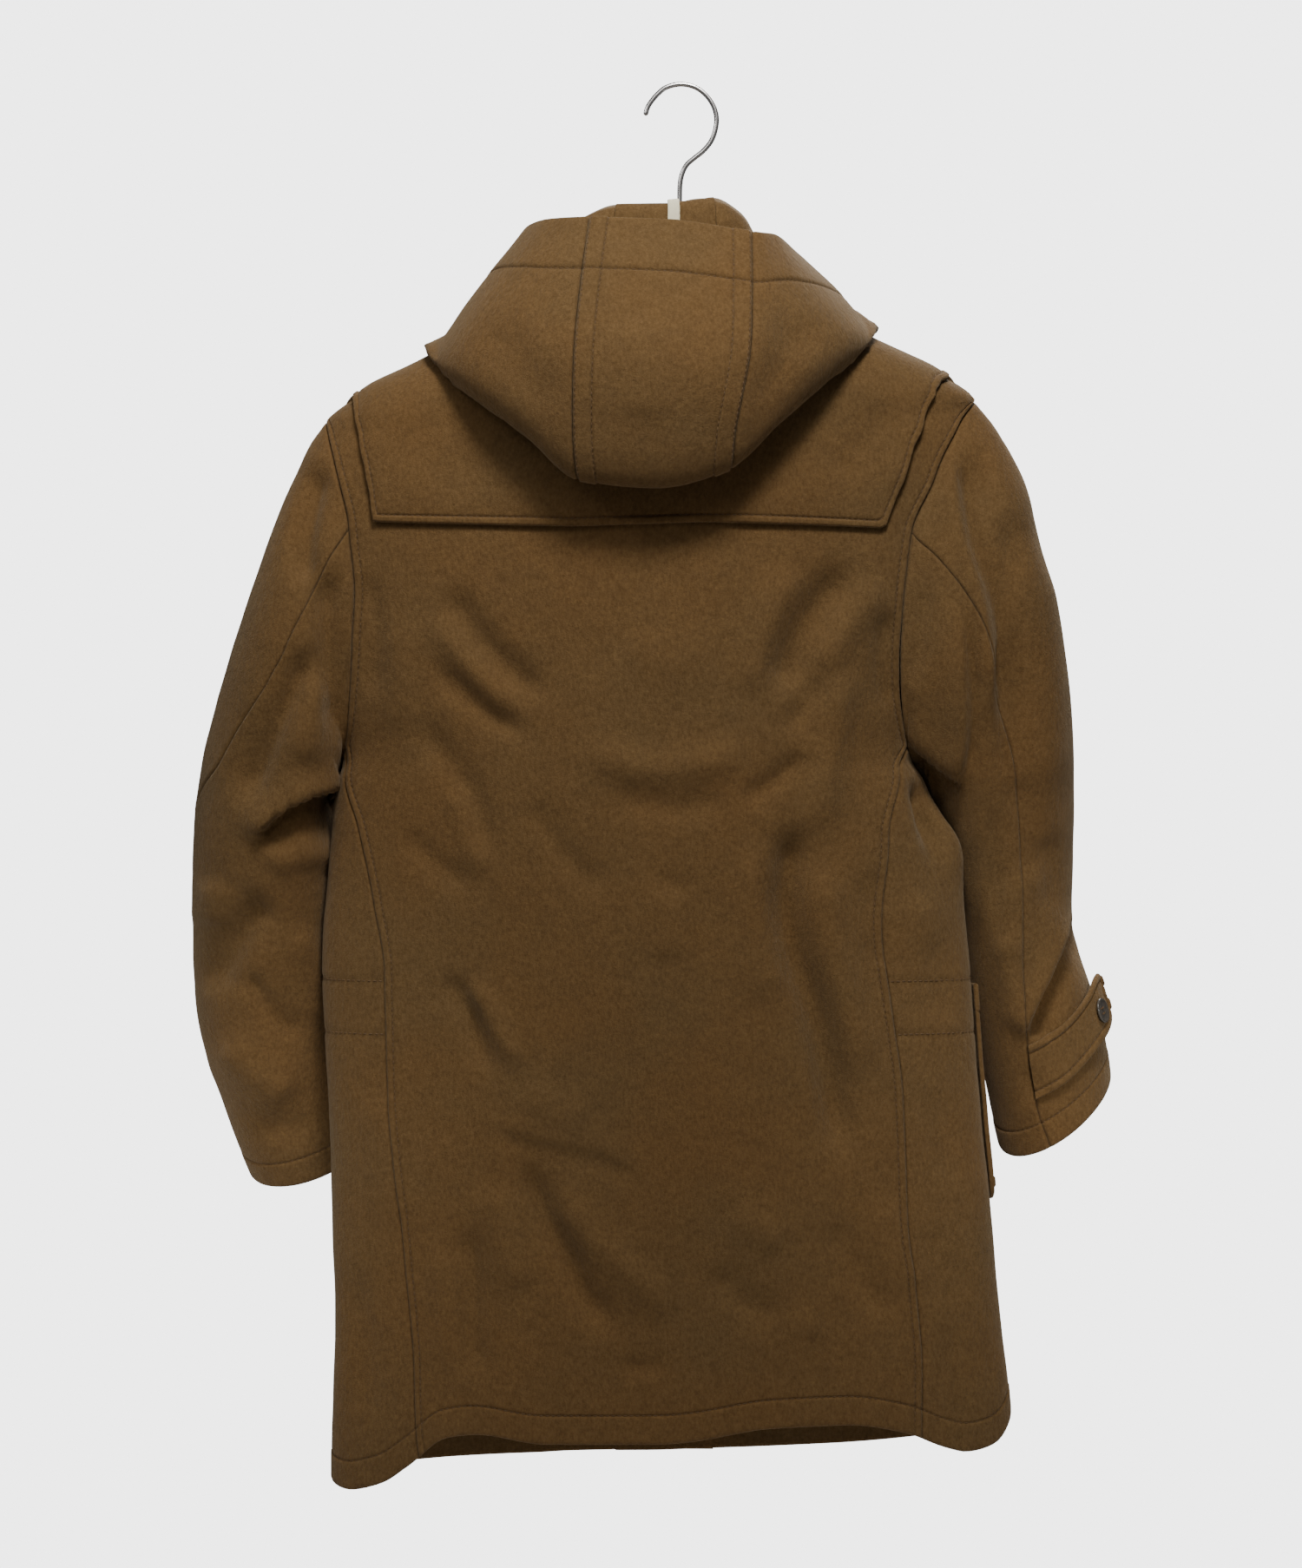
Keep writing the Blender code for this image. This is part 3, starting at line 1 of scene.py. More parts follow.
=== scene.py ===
"""The finished look of the duffle coat on its hanger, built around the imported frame.

Row frame: metres, +Z up, the coat's back faces +Y and the wearer's left is +X. Shapes are worked
out in millimetres, with the same tables as the part's own script, on finer grids: every panel is
a closed wall of melton with its seams, felled bands, topstitched lines, rolled edges and folds.
"""

import math

import bpy
import numpy as np
from mathutils import Matrix, Vector


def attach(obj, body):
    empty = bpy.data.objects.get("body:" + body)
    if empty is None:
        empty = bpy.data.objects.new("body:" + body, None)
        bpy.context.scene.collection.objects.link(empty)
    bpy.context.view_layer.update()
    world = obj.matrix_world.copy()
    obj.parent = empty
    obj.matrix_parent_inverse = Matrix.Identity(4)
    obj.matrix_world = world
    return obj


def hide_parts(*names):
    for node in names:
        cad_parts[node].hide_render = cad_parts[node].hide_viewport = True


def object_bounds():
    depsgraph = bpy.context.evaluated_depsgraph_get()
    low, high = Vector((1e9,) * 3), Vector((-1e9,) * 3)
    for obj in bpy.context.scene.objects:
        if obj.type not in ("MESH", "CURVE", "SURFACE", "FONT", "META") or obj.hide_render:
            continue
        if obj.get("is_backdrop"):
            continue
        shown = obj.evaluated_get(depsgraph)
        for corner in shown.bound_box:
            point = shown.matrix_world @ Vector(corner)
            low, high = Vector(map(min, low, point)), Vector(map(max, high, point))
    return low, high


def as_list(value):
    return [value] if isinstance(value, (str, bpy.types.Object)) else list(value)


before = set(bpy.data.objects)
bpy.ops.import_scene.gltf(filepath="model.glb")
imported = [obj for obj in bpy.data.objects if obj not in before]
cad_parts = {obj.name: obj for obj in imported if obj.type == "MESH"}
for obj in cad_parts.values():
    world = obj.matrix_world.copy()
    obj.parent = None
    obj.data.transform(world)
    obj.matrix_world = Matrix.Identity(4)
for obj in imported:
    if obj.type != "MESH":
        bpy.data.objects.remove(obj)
cad_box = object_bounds()

# ---------------------------------------------------------------- named sizes, millimetres
GRID = 0.64          # one division of the elevation drawings on the plane of the back
VIEW = 2400.0        # distance of the drawings' viewpoint behind the hook
BACK = 60.0          # depth of the plane of the back
U0, V0 = 750.0, 903.0
X0, Z0 = 22.3, -527.4
XC = 21.0            # the coat's middle, a little to one side of the hook
CLOTH = 2.6          # thickness of the melton
SEAM = 0.4           # gap between two pieces at a seam
YOKE_LIFT = 4.4      # the yoke's middle above the middle of the panel below it
POCKET_LIFT = 4.2
WIRE = 1.9           # radius of the hook's wire
CORD = 1.7           # radius of the closure cord
RAD = math.pi / 180


def k_at(y):
    return GRID * (VIEW - y) / (VIEW - BACK)


def at(u, v, y):
    """A drawn point (u, v) at depth y, in millimetres."""
    k = k_at(np.asarray(y, float))
    return X0 + (U0 - u) * k, y + 0.0 * k, Z0 - (v - V0) * k


def drawn(x, y, z):
    """Where a real point is drawn."""
    k = k_at(y)
    return U0 - (x - X0) / k, V0 - (z - Z0) / k


def curve(xs, ys, x):
    """Smooth curve through a table's rows that never overshoots them."""
    xs, ys = np.asarray(xs, float), np.asarray(ys, float)
    if xs[0] > xs[-1]:
        xs, ys = xs[::-1], ys[::-1]
    h, d = np.diff(xs), np.diff(ys) / np.diff(xs)
    m = np.zeros_like(ys)
    if len(xs) > 2:
        a, b = d[:-1], d[1:]
        w1, w2 = 2 * h[1:] + h[:-1], h[1:] + 2 * h[:-1]
        same = a * b > 0
        m[1:-1][same] = (w1 + w2)[same] / (w1[same] / a[same] + w2[same] / b[same])
    m[0], m[-1] = d[0], d[-1]
    x = np.clip(np.asarray(x, float), xs[0], xs[-1])
    i = np.clip(np.searchsorted(xs, x) - 1, 0, len(h) - 1)
    t = (x - xs[i]) / h[i]
    return (
        ys[i] * (1 + 2 * t) * (1 - t) ** 2
        + m[i] * h[i] * t * (1 - t) ** 2
        + ys[i + 1] * t * t * (3 - 2 * t)
        + m[i + 1] * h[i] * t * t * (t - 1)
    )


def smooth(t):
    t = np.clip(t, 0, 1)
    return t * t * (3 - 2 * t)


# ---------------------------------------------------------------- the body
# Edge of the shoulder, from the neck point out to the shoulder tip: u, v
SHOULDER_L = [(600, 362), (560, 388), (497, 420), (459, 438), (418, 458), (391, 476), (380, 486)]
SHOULDER_R = [(905, 360), (950, 376), (1005, 400), (1046, 418), (1086, 438), (1111, 454), (1119, 462)]
# Armhole, from the shoulder tip down to the underarm: v, u, half-depth y
ARMHOLE_L = [(486, 380, 0), (499, 379, 17), (524, 384, 29), (562, 393, 37), (606, 402, 41), (668, 408, 42),
             (730, 406, 40), (785, 404, 35), (828, 402, 27), (858, 400, 16), (874, 399, 0)]
ARMHOLE_R = [(462, 1119, 0), (476, 1111, 17), (502, 1098, 29), (547, 1078, 37), (609, 1051, 41), (668, 1043, 42),
             (730, 1038, 40), (785, 1037, 35), (828, 1040, 27), (858, 1044, 16), (874, 1047, 0)]
# Sides of the body below the armhole: v, left u, right u
SIDES = [(874, 399, 1047), (900, 392, 1062), (940, 386, 1080), (1000, 380, 1100), (1100, 374, 1113),
         (1200, 377, 1122), (1300, 381, 1130), (1400, 385, 1139), (1500, 388, 1149), (1600, 385, 1160),
         (1650, 384, 1164), (1720, 384, 1166)]
# Depth of the body: v, back y, front y, squareness of the ring
DEPTHS = [(340, 46, -60, 2.1), (420, 54, -63, 2.2), (482, 58, -66, 2.3), (560, 60, -68, 2.4), (700, 61, -69, 2.5),
          (870, 61, -70, 2.5), (1100, 60, -70, 2.4), (1400, 60, -70, 2.4), (1730, 62, -72, 2.4)]
# Hem height: angle round the body (0 back, 90 the wearer's left side, 180 front), z
HEM = [(-180, -1046), (-150, -1038), (-120, -1022), (-105, -1008), (-90, -1000), (-80, -1009), (-68, -1021),
       (-57, -1024.4), (-50, -1020), (-40, -1008), (-28, -1001), (-15, -1003), (0, -1014), (15, -1014.4),
       (28, -1008), (35, -1011), (44.5, -1032), (54, -1047.7), (69, -1054.8), (82, -1052.6), (90, -1050),
       (120, -1050), (150, -1048), (180, -1046)]
# Back seams between the back and the side panels, hem to armhole: u, v
BACK_SEAM_L = [(487, 1700), (480, 1658), (476, 1563), (469, 1484), (462, 1406), (454, 1344), (446, 1250), (443, 1120),
               (430, 1040), (412, 950), (402, 880), (400, 858)]
BACK_SEAM_R = [(1062, 1700), (1062, 1656), (1061, 1547), (1055, 1484), (1047, 1422), (1044, 1344), (1040, 1260),
               (1030, 1180), (1017, 1080), (1024, 960), (1036, 890), (1044, 858)]


def z_of(v, y=0.0):
    return Z0 - (np.asarray(v, float) - V0) * k_at(y)


_depth_z = [float(z_of(r[0])) for r in DEPTHS]


def depth_back(z):
    return curve(_depth_z, [r[1] for r in DEPTHS], z)


def depth_front(z):
    return curve(_depth_z, [r[2] for r in DEPTHS], z)


def power(z):
    return curve(_depth_z, [r[3] for r in DEPTHS], z)


def _half_table(shoulder, armhole, side_column, sign):
    rows = [(float(z_of(v)), sign * (at(u, v, 0)[0] - XC)) for u, v in shoulder]
    for v, u, y in armhole[1:-1]:
        x, _, z = at(u, v, y)
        n, b = power(z), depth_back(z)
        rows.append((float(z), float(sign * (x - XC) / (1 - (y / b) ** n) ** (1 / n))))
    rows += [(float(z_of(r[0])), sign * (at(r[side_column], r[0], 0)[0] - XC)) for r in SIDES]
    rows.sort(reverse=True)
    return [r[0] for r in rows], [r[1] for r in rows]


HALF_L = _half_table(SHOULDER_L, ARMHOLE_L, 1, 1)
HALF_R = _half_table(SHOULDER_R, ARMHOLE_R, 2, -1)


def half_left(z):
    return curve(*HALF_L, z)


def half_right(z):
    return curve(*HALF_R, z)


def ring(a, z, off=0.0):
    """Middle of the cloth at angle a (radians) round the body at height z, before folds, moved out by off."""
    a, z = np.broadcast_arrays(np.asarray(a, float), np.asarray(z, float))
    s, c, n = np.sin(a), np.cos(a), power(z)
    wide = np.where(s >= 0, half_left(z), half_right(z)) + off
    deep = np.where(c >= 0, depth_back(z), -depth_front(z)) + off
    x = XC + np.sign(s) * wide * np.abs(s) ** (2 / n)
    y = np.sign(c) * deep * np.abs(c) ** (2 / n)
    return np.stack([x, y, z + 0.0 * x], -1)


def angle_of(x, z, front=False):
    """The angle whose point at height z has this x."""
    wide = np.where(x >= XC, half_left(z), half_right(z))
    a = np.arcsin(np.clip((np.abs(x - XC) / wide), 0, 1) ** (power(z) / 2)) * np.sign(x - XC)
    return np.where(front, np.pi * np.sign(a + 1e-12) - a, a)


def seam_angles(table, zs):
    """Angles of a drawn back seam at heights zs."""
    pts = []
    for u, v in table:
        y = 55.0
        for _ in range(6):
            x, _, z = at(u, v, y)
            y = float(ring(angle_of(x, z), z)[1])
        pts.append((float(z), float(angle_of(x, z))))
    pts.sort(reverse=True)
    return curve([p[0] for p in pts], [p[1] for p in pts], zs)


def armhole_y(table, z):
    rows = [(float(at(u, v, y)[2]), y) for v, u, y in table]
    zs, ys = [r[0] for r in rows], [r[1] for r in rows]
    # a round end: the square of y is what runs smoothly near the tip and the underarm
    return np.sqrt(np.maximum(curve(zs, [y * y for y in ys], z), 0))


def armhole_angle(table, z, front=False):
    """Angle of the armhole's edge at height z, on the back or on the front."""
    sign = 1 if table[0][1] < U0 else -1
    n, b = power(z), depth_back(z)
    a = np.arccos(np.clip((armhole_y(table, z) / b) ** (n / 2), 0, 1))
    return sign * (np.pi - a) if front else sign * a


def tip_z(table):
    return float(at(table[0][1], table[0][0], 0)[2])


def underarm_z(table):
    return float(at(table[-1][1], table[-1][0], 0)[2])


def hem_z(a):
    return curve([r[0] for r in HEM], [r[1] for r in HEM], np.degrees(a))


NECK_TOP, NECK_BACK, NECK_FRONT, NECK_HALF = -170.0, -181.0, -256.0, 100.0


def neckline(p):
    """(angle, z) of the neckline at p: 0 back, 1 the neck point at the left, 2 the left front edge; negative at the right."""
    q, sign = abs(p), (1 if p >= 0 else -1)
    if q <= 1:
        z = NECK_BACK + (NECK_TOP - NECK_BACK) * q * q
        return sign * q * math.pi / 2, z
    t = (q - 1) * math.pi / 2
    z = NECK_TOP + (NECK_FRONT - NECK_TOP) * math.sin(t) ** 1.3
    x = XC + sign * NECK_HALF * math.cos(t)
    a = float(angle_of(np.array(x), np.array(z)))
    a = abs(a) if q < 2 else 0.0
    return sign * (math.pi - a), z


# ---------------------------------------------------------------- folds
# Each fold: part, points (u, v) along its line, then on its positive side height and width and on its
# other side height and width, how sharply the one turns into the other, and how much of each end
# dies away. Heights are millimetres out (+) or in (-), widths are divisions. The positive side lies
# below a line that runs to the right, and to the left of a line that runs down.
def fold(part, pts, hp, wp, hm=None, wm=None, edge=3.0, start=0.25, end=0.25):
    return part, pts, hp, wp, hp if hm is None else hm, wp if wm is None else wm, edge, start, end


FOLDS = [
    # back, upper left: the drag from the shoulder blade down to the middle
    fold("back", [(505, 660), (530, 700), (560, 745), (600, 782), (640, 824)], -3.4, 17),
    fold("back", [(486, 700), (520, 742), (565, 792), (612, 832)], 2.0, 13),
    fold("back", [(488, 752), (530, 796), (575, 832), (625, 852)], -2.6, 13),
    fold("back", [(484, 806), (500, 855), (538, 904), (556, 953), (563, 1010)], -2.4, 15),
    fold("back", [(462, 950), (500, 992), (550, 1030)], -1.8, 15),
    fold("back", [(510, 900), (538, 950), (558, 1022)], 1.8, 14),
    fold("back", [(610, 905), (633, 960), (664, 1000), (712, 1036)], -1.8, 16),
    # across the middle
    fold("back", [(655, 846), (704, 876), (752, 886), (806, 880), (885, 858)], 2.4, 20),
    fold("back", [(690, 905), (743, 926), (800, 930), (852, 912)], -1.6, 17),
    fold("back", [(700, 735), (770, 760), (840, 745)], 1.2, 34),
    fold("back", [(770, 1000), (764, 1050), (768, 1120)], 1.5, 22),
    fold("back", [(750, 1015), (800, 1028)], -1.4, 12),
    # upper right
    fold("back", [(1006, 640), (962, 676), (928, 724), (906, 772), (892, 820)], -5.8, 25, start=0.3),
    fold("back", [(1020, 660), (990, 700), (962, 742), (940, 790)], 2.6, 20),
    fold("back", [(925, 640), (893, 700), (876, 760), (868, 820)], 2.6, 22),
    fold("back", [(952, 776), (925, 815), (905, 850)], -2.2, 13),
    fold("back", [(975, 745), (962, 835), (952, 904), (944, 985)], 3.2, 18),
    fold("back", [(935, 862), (895, 898), (846, 926)], -2.4, 14),
    # the long fold down the right
    fold("back", [(922, 925), (910, 1002), (907, 1051), (918, 1105), (939, 1164), (955, 1234), (966, 1298), (984, 1385)], -7.6, 19, start=0.15),
    fold("back", [(880, 950), (866, 1030), (872, 1100), (898, 1180)], 2.4, 26),
    fold("back", [(948, 960), (952, 1040), (966, 1120), (988, 1200), (1002, 1270)], 3.6, 22),
    # the knot at the right seam
    fold("back", [(1052, 872), (1060, 910), (1069, 950), (1077, 990), (1084, 1030)], -7.0, 11, start=0.3, end=0.55),
    fold("back", [(1052, 862), (1082, 902), (1097, 945), (1105, 990), (1111, 1030), (1116, 1090)], 8.6, 17, start=0.2, end=0.6),
    fold("back", [(1054, 1000), (1058, 1070), (1062, 1170)], 2.6, 28, start=0.35, end=0.8),
    fold("back", [(1000, 990), (1006, 1060), (1012, 1130)], -1.6, 15),
    fold("back", [(1072, 1070), (1082, 1130), (1080, 1190)], -1.0, 18),
    # lower left
    fold("back", [(508, 1108), (540, 1170), (566, 1250)], -3.2, 13),
    fold("back", [(537, 1120), (566, 1170), (602, 1240)], 2.6, 11),
    fold("back", [(590, 1258), (640, 1278), (690, 1292)], 1.5, 22),
    fold("back", [(540, 1272), (576, 1299), (618, 1316), (668, 1326), (716, 1340), (766, 1378)], -1.2, 20, 0.9, 22, 12.0),
    fold("back", [(600, 1300), (617, 1379), (649, 1443), (684, 1507), (740, 1545)], -4.4, 17),
    fold("back", [(652, 1345), (671, 1415), (735, 1475), (792, 1533)], 2.8, 20),
    fold("back", [(560, 1350), (580, 1430), (610, 1500)], 2.4, 22),
    fold("back", [(534, 1390), (543, 1470), (545, 1550), (574, 1605)], -3.0, 15),
    fold("back", [(505, 1420), (512, 1500), (520, 1590)], 1.8, 16),
    fold("back", [(705, 1568), (740, 1576), (775, 1566)], -1.6, 11),
    fold("back", [(815, 1455), (858, 1500), (915, 1518)], -2.0, 18),
    fold("back", [(838, 1395), (868, 1412), (905, 1440)], 2.0, 20),
    fold("back", [(905, 1530), (950, 1525)], 1.8, 18),
    fold("back", [(948, 1390), (990, 1470), (1030, 1534)], -2.2, 18),
    fold("back", [(1000, 1370), (1030, 1440), (1052, 1500)], 1.6, 20),
    fold("back", [(1072, 1400), (1082, 1460), (1092, 1520)], -0.9, 18),
    fold("back", [(1090, 1520), (1096, 1590), (1100, 1660)], -1.0, 18),
    fold("back", [(1118, 1300), (1124, 1400), (1128, 1500), (1130, 1600)], 0.8, 20),
    fold("back", [(1066, 1240), (1086, 1300), (1092, 1380)], -1.0, 18),
    fold("back", [(430, 1240), (440, 1330), (452, 1430)], 1.4, 18),
    fold("back", [(402, 1440), (420, 1540), (425, 1650)], -1.6, 16),
    # beside the armholes
    fold("back", [(420, 640), (432, 720), (430, 820)], -2.0, 13),
    fold("back", [(456, 700), (462, 780), (452, 860)], 1.6, 15),
    fold("back", [(1022, 690), (1016, 760), (1022, 830)], -2.4, 11),
    # yoke: soft hollows beside the hood, fuller towards the shoulders
    fold("yoke", [(470, 470), (500, 520), (560, 570)], -1.6, 26),
    fold("yoke", [(1030, 455), (1000, 500), (950, 560)], -2.2, 24),
    fold("yoke", [(1062, 470), (1040, 530), (1020, 580)], 1.4, 16),
    fold("yoke", [(560, 520), (640, 560), (700, 570)], 1.2, 26),
    # left sleeve, seen from behind
    fold("sleeve_left", [(374, 520), (358, 580), (350, 630), (352, 690)], -6.6, 15),
    fold("sleeve_left", [(382, 636), (380, 700), (386, 770), (390, 840), (388, 890)], -7.4, 22, -7.4, 14, start=0.2, end=0.3),
    fold("sleeve_left", [(372, 722), (338, 792), (304, 862), (270, 950)], -7.6, 19),
    fold("sleeve_left", [(372, 770), (360, 830), (340, 890)], 3.4, 20),
    fold("sleeve_left", [(396, 906), (352, 920), (314, 946), (284, 985)], 6.0, 23, -8.0, 24, 2.6, 0.05, 0.3),
    fold("sleeve_left", [(392, 985), (340, 985), (300, 1000)], 3.0, 18, start=0.05),
    fold("sleeve_left", [(330, 1030), (290, 1060), (255, 1115), (240, 1160)], -5.4, 20),
    fold("sleeve_left", [(250, 1010), (238, 1070)], 3.0, 18),
    fold("sleeve_left", [(276, 1110), (310, 1160), (352, 1206)], -3.2, 13),
    fold("sleeve_left", [(250, 1190), (300, 1240), (350, 1270)], 4.0, 24),
    fold("sleeve_left", [(330, 1060), (360, 1110), (372, 1190)], 2.6, 18),
    fold("sleeve_left", [(290, 1290), (330, 1300), (370, 1290)], -1.6, 14),
    # right sleeve, seen from behind
    fold("sleeve_right", [(1104, 500), (1106, 560), (1118, 630), (1138, 690), (1150, 760), (1154, 830), (1158, 900)], 3.0, 18, -6.8, 26, 10.0, 0.15, 0.3),
    fold("sleeve_right", [(1126, 500), (1132, 560), (1142, 610)], -1.6, 10),
    fold("sleeve_right", [(1166, 560), (1168, 640), (1166, 770), (1164, 880), (1172, 1010)], -4.8, 22, start=0.15, end=0.35),
    fold("sleeve_right", [(1200, 600), (1209, 720), (1209, 850), (1204, 960)], 3.0, 20),
    fold("sleeve_right", [(1090, 640), (1108, 700), (1115, 780), (1115, 850), (1108, 912)], 3.0, 24, -4.4, 17, 4.5, 0.5, 0.15),
    fold("sleeve_right", [(1066, 660), (1060, 730), (1052, 800)], -2.4, 12),
    fold("sleeve_right", [(1034, 842), (1068, 874), (1116, 912)], -4.6, 26, 3.4, 24, 4.6, 0.05, 0.2),
    fold("sleeve_right", [(1132, 900), (1140, 975), (1142, 1040), (1146, 1110)], 1.6, 18, -2.6, 20, 10.0, 0.3, 0.4),
    fold("sleeve_right", [(1132, 760), (1137, 810), (1138, 870)], -1.6, 14),
    fold("sleeve_right", [(1172, 880), (1182, 960), (1190, 1030)], -3.2, 18),
    fold("sleeve_right", [(1158, 1000), (1160, 1060), (1162, 1120)], 1.6, 18),
    fold("sleeve_right", [(1205, 950), (1212, 1010), (1205, 1060)], -2.4, 14),
    fold("sleeve_right", [(1240, 1040), (1224, 1086), (1208, 1130), (1182, 1192)], 3.4, 20, -8.0, 20, 4.0, 0.3, 0.05),
    fold("sleeve_right", [(1160, 1060), (1165, 1130), (1176, 1200)], 2.4, 14),
    fold("sleeve_right", [(1180, 1225), (1200, 1270)], -1.6, 14),
    # hood: nearly smooth, a little hollow beside each felled seam
    fold("hood", [(560, 360), (600, 430), (650, 490)], -1.6, 28),
    fold("hood", [(930, 350), (900, 420), (866, 480)], -2.0, 28),
    fold("hood", [(740, 350), (745, 430), (742, 500)], 1.4, 34),
    fold("hood", [(950, 400), (930, 440), (900, 480)], 2.0, 24),
    # hidden front: x and -z in millimetres take the place of u and v
    fold("front", [(150, 300), (120, 380), (70, 440)], -3.4, 16),
    fold("front", [(176, 330), (150, 410), (105, 480)], 2.6, 15),
    fold("front", [(-100, 310), (-80, 390), (-40, 440)], -3.2, 15),
    fold("front", [(-126, 350), (-112, 430), (-90, 500)], 2.4, 14),
    fold("front", [(60, 470), (110, 500), (165, 520)], -2.4, 12),
    fold("front", [(-60, 480), (-100, 510), (-140, 524)], -2.4, 12),
    fold("front", [(96, 560), (104, 660), (90, 780), (110, 900)], -3.6, 18),
    fold("front", [(128, 600), (136, 700), (128, 820)], 2.8, 18),
    fold("front", [(-84, 700), (-92, 800), (-84, 920)], -3.4, 17),
    fold("front", [(-52, 720), (-60, 820), (-50, 960)], 2.4, 18),
    fold("front", [(20, 860), (60, 900), (70, 980)], -2.6, 15),
    fold("front", [(180, 860), (170, 940), (176, 1020)], 2.6, 18),
    fold("front", [(-130, 880), (-126, 960), (-134, 1020)], 2.2, 16),
    # hidden sides of the sleeves, in the same way
    fold("sleeve_left_front", [(236, 300), (262, 370), (258, 430)], -3.0, 12),
    fold("sleeve_left_front", [(330, 420), (300, 500), (268, 560)], -4.4, 14),
    fold("sleeve_left_front", [(262, 590), (300, 610), (345, 600)], 5.0, 15, -6.4, 16, 3.0),
    fold("sleeve_left_front", [(270, 650), (310, 680), (350, 740)], -3.6, 13),
    fold("sleeve_left_front", [(280, 730), (320, 750)], 2.8, 15),
    fold("sleeve_right_front", [(-200, 300), (-226, 370), (-220, 430)], -3.0, 12),
    fold("sleeve_right_front", [(-292, 400), (-262, 480), (-226, 550)], -4.4, 14),
    fold("sleeve_right_front", [(-292, 590), (-262, 606), (-226, 590)], 5.0, 14, -6.0, 15, 3.0),
    fold("sleeve_right_front", [(-240, 640), (-272, 670), (-296, 720)], -3.4, 12),
]

def along(u, v, points):
    """Distance of each (u, v) from a polyline, signed (positive on its left), and how far along it is, 0 to 1."""
    pts = np.asarray(points, float)
    seg = np.hypot(*(pts[1:] - pts[:-1]).T)
    total, start = seg.sum(), np.concatenate([[0], np.cumsum(seg)])
    best = np.full(np.shape(u), 1e9)
    where, side = np.zeros(np.shape(u)), np.ones(np.shape(u))
    for i, (p, q) in enumerate(zip(pts[:-1], pts[1:])):
        d = q - p
        t = np.clip(((u - p[0]) * d[0] + (v - p[1]) * d[1]) / (d @ d), 0, 1)
        du, dv = u - p[0] - t * d[0], v - p[1] - t * d[1]
        r = np.hypot(du, dv)
        near = r < best
        best = np.where(near, r, best)
        where = np.where(near, (start[i] + t * seg[i]) / total, where)
        side = np.where(near, np.sign(d[0] * dv - d[1] * du), side)
    return best * np.where(side == 0, 1, side), where


DEEPER = {"back": 1.9, "sleeve_left": 1.6, "sleeve_right": 1.6, "front": 1.5, "hood": 1.6, "yoke": 1.5}


def fold_height(part, u, v):
    """Height of all the folds of one part at (u, v)."""
    h = np.zeros(np.shape(u))
    for name, pts, hp, wp, hm, wm, edge, start, end in FOLDS:
        if name != part:
            continue
        q = np.asarray(pts, float)
        reach = 3.2 * max(wp, wm)
        near = ((u > q[:, 0].min() - reach) & (u < q[:, 0].max() + reach)
                & (v > q[:, 1].min() - reach) & (v < q[:, 1].max() + reach))
        if not near.any():
            continue
        # a smooth line through the points, so that no fold has corners
        line = spline(np.c_[q, 0 * q[:, 0]], 5)[:, :2] if len(q) > 2 else q
        d, t = along(u[near], v[near], line)
        ends = smooth(t / max(start, 0.01)) * smooth((1 - t) / max(end, 0.01))
        beyond = np.where((t <= 0) & (start < 0.1) | (t >= 1) & (end < 0.1), 1.0, ends)
        side = smooth(0.5 + d / (2 * edge))
        a, b = hp * np.exp(-((d / wp) ** 2)), hm * np.exp(-((d / wm) ** 2))
        h[near] += (a * side + b * (1 - side)) * np.where(ends > 0, ends, 0.0) * beyond
    return h * DEEPER.get(part, 1.2)


def wander(x, y, z):
    """Slow unevenness of hanging cloth, millimetres."""
    return (0.55 * np.sin(x / 41 + 1.3 * np.sin(z / 67)) * np.sin(z / 53 + 0.7) + 0.35 * np.sin(x / 23 + z / 31 + y / 29)
            + 0.18 * np.sin(x / 11.5 - z / 13 + 2.0) * np.sin(y / 17 + z / 19))

def body_normal(a, z):
    a, z = np.broadcast_arrays(np.asarray(a, float), np.asarray(z, float))
    p = ring(a, z)
    n, x, y = power(z), p[..., 0] - XC, p[..., 1]

    def level(zz):
        wide = np.where(x >= 0, half_left(zz), half_right(zz))
        deep = np.where(y >= 0, depth_back(zz), -depth_front(zz))
        return (np.abs(x) / wide) ** n + (np.abs(y) / deep) ** n

    wide = np.where(x >= 0, half_left(z), half_right(z))
    deep = np.where(y >= 0, depth_back(z), -depth_front(z))
    gx = np.sign(x) * n / wide * (np.abs(x) / wide) ** (n - 1)
    gy = np.sign(y) * n / deep * (np.abs(y) / deep) ** (n - 1)
    gz = (level(z + 1.5) - level(z - 1.5)) / 3.0
    g = np.stack([gx, gy, gz], -1)
    return g / np.maximum(np.linalg.norm(g, axis=-1, keepdims=True), 1e-12)


def patch(bottom, top, left, right, rows, cols):
    """Coons patch between four boundary lists of (angle, z); row 0 is the bottom, column 0 the left list."""
    bottom, top, left, right = (np.asarray(x, float) for x in (bottom, top, left, right))
    r = np.linspace(0, 1, rows + 1)[:, None, None]
    c = np.linspace(0, 1, cols + 1)[None, :, None]
    flat = (1 - r) * bottom[None] + r * top[None] + (1 - c) * left[:, None] + c * right[:, None]
    flat -= (1 - r) * ((1 - c) * bottom[0] + c * bottom[-1]) + r * ((1 - c) * top[0] + c * top[-1])
    return flat


# ---------------------------------------------------------------- meshes
def signed_volume(verts, faces):
    total = 0.0
    for f in faces:
        for i in range(1, len(f) - 1):
            total += np.dot(verts[f[0]], np.cross(verts[f[i]], verts[f[i + 1]]))
    return total / 6


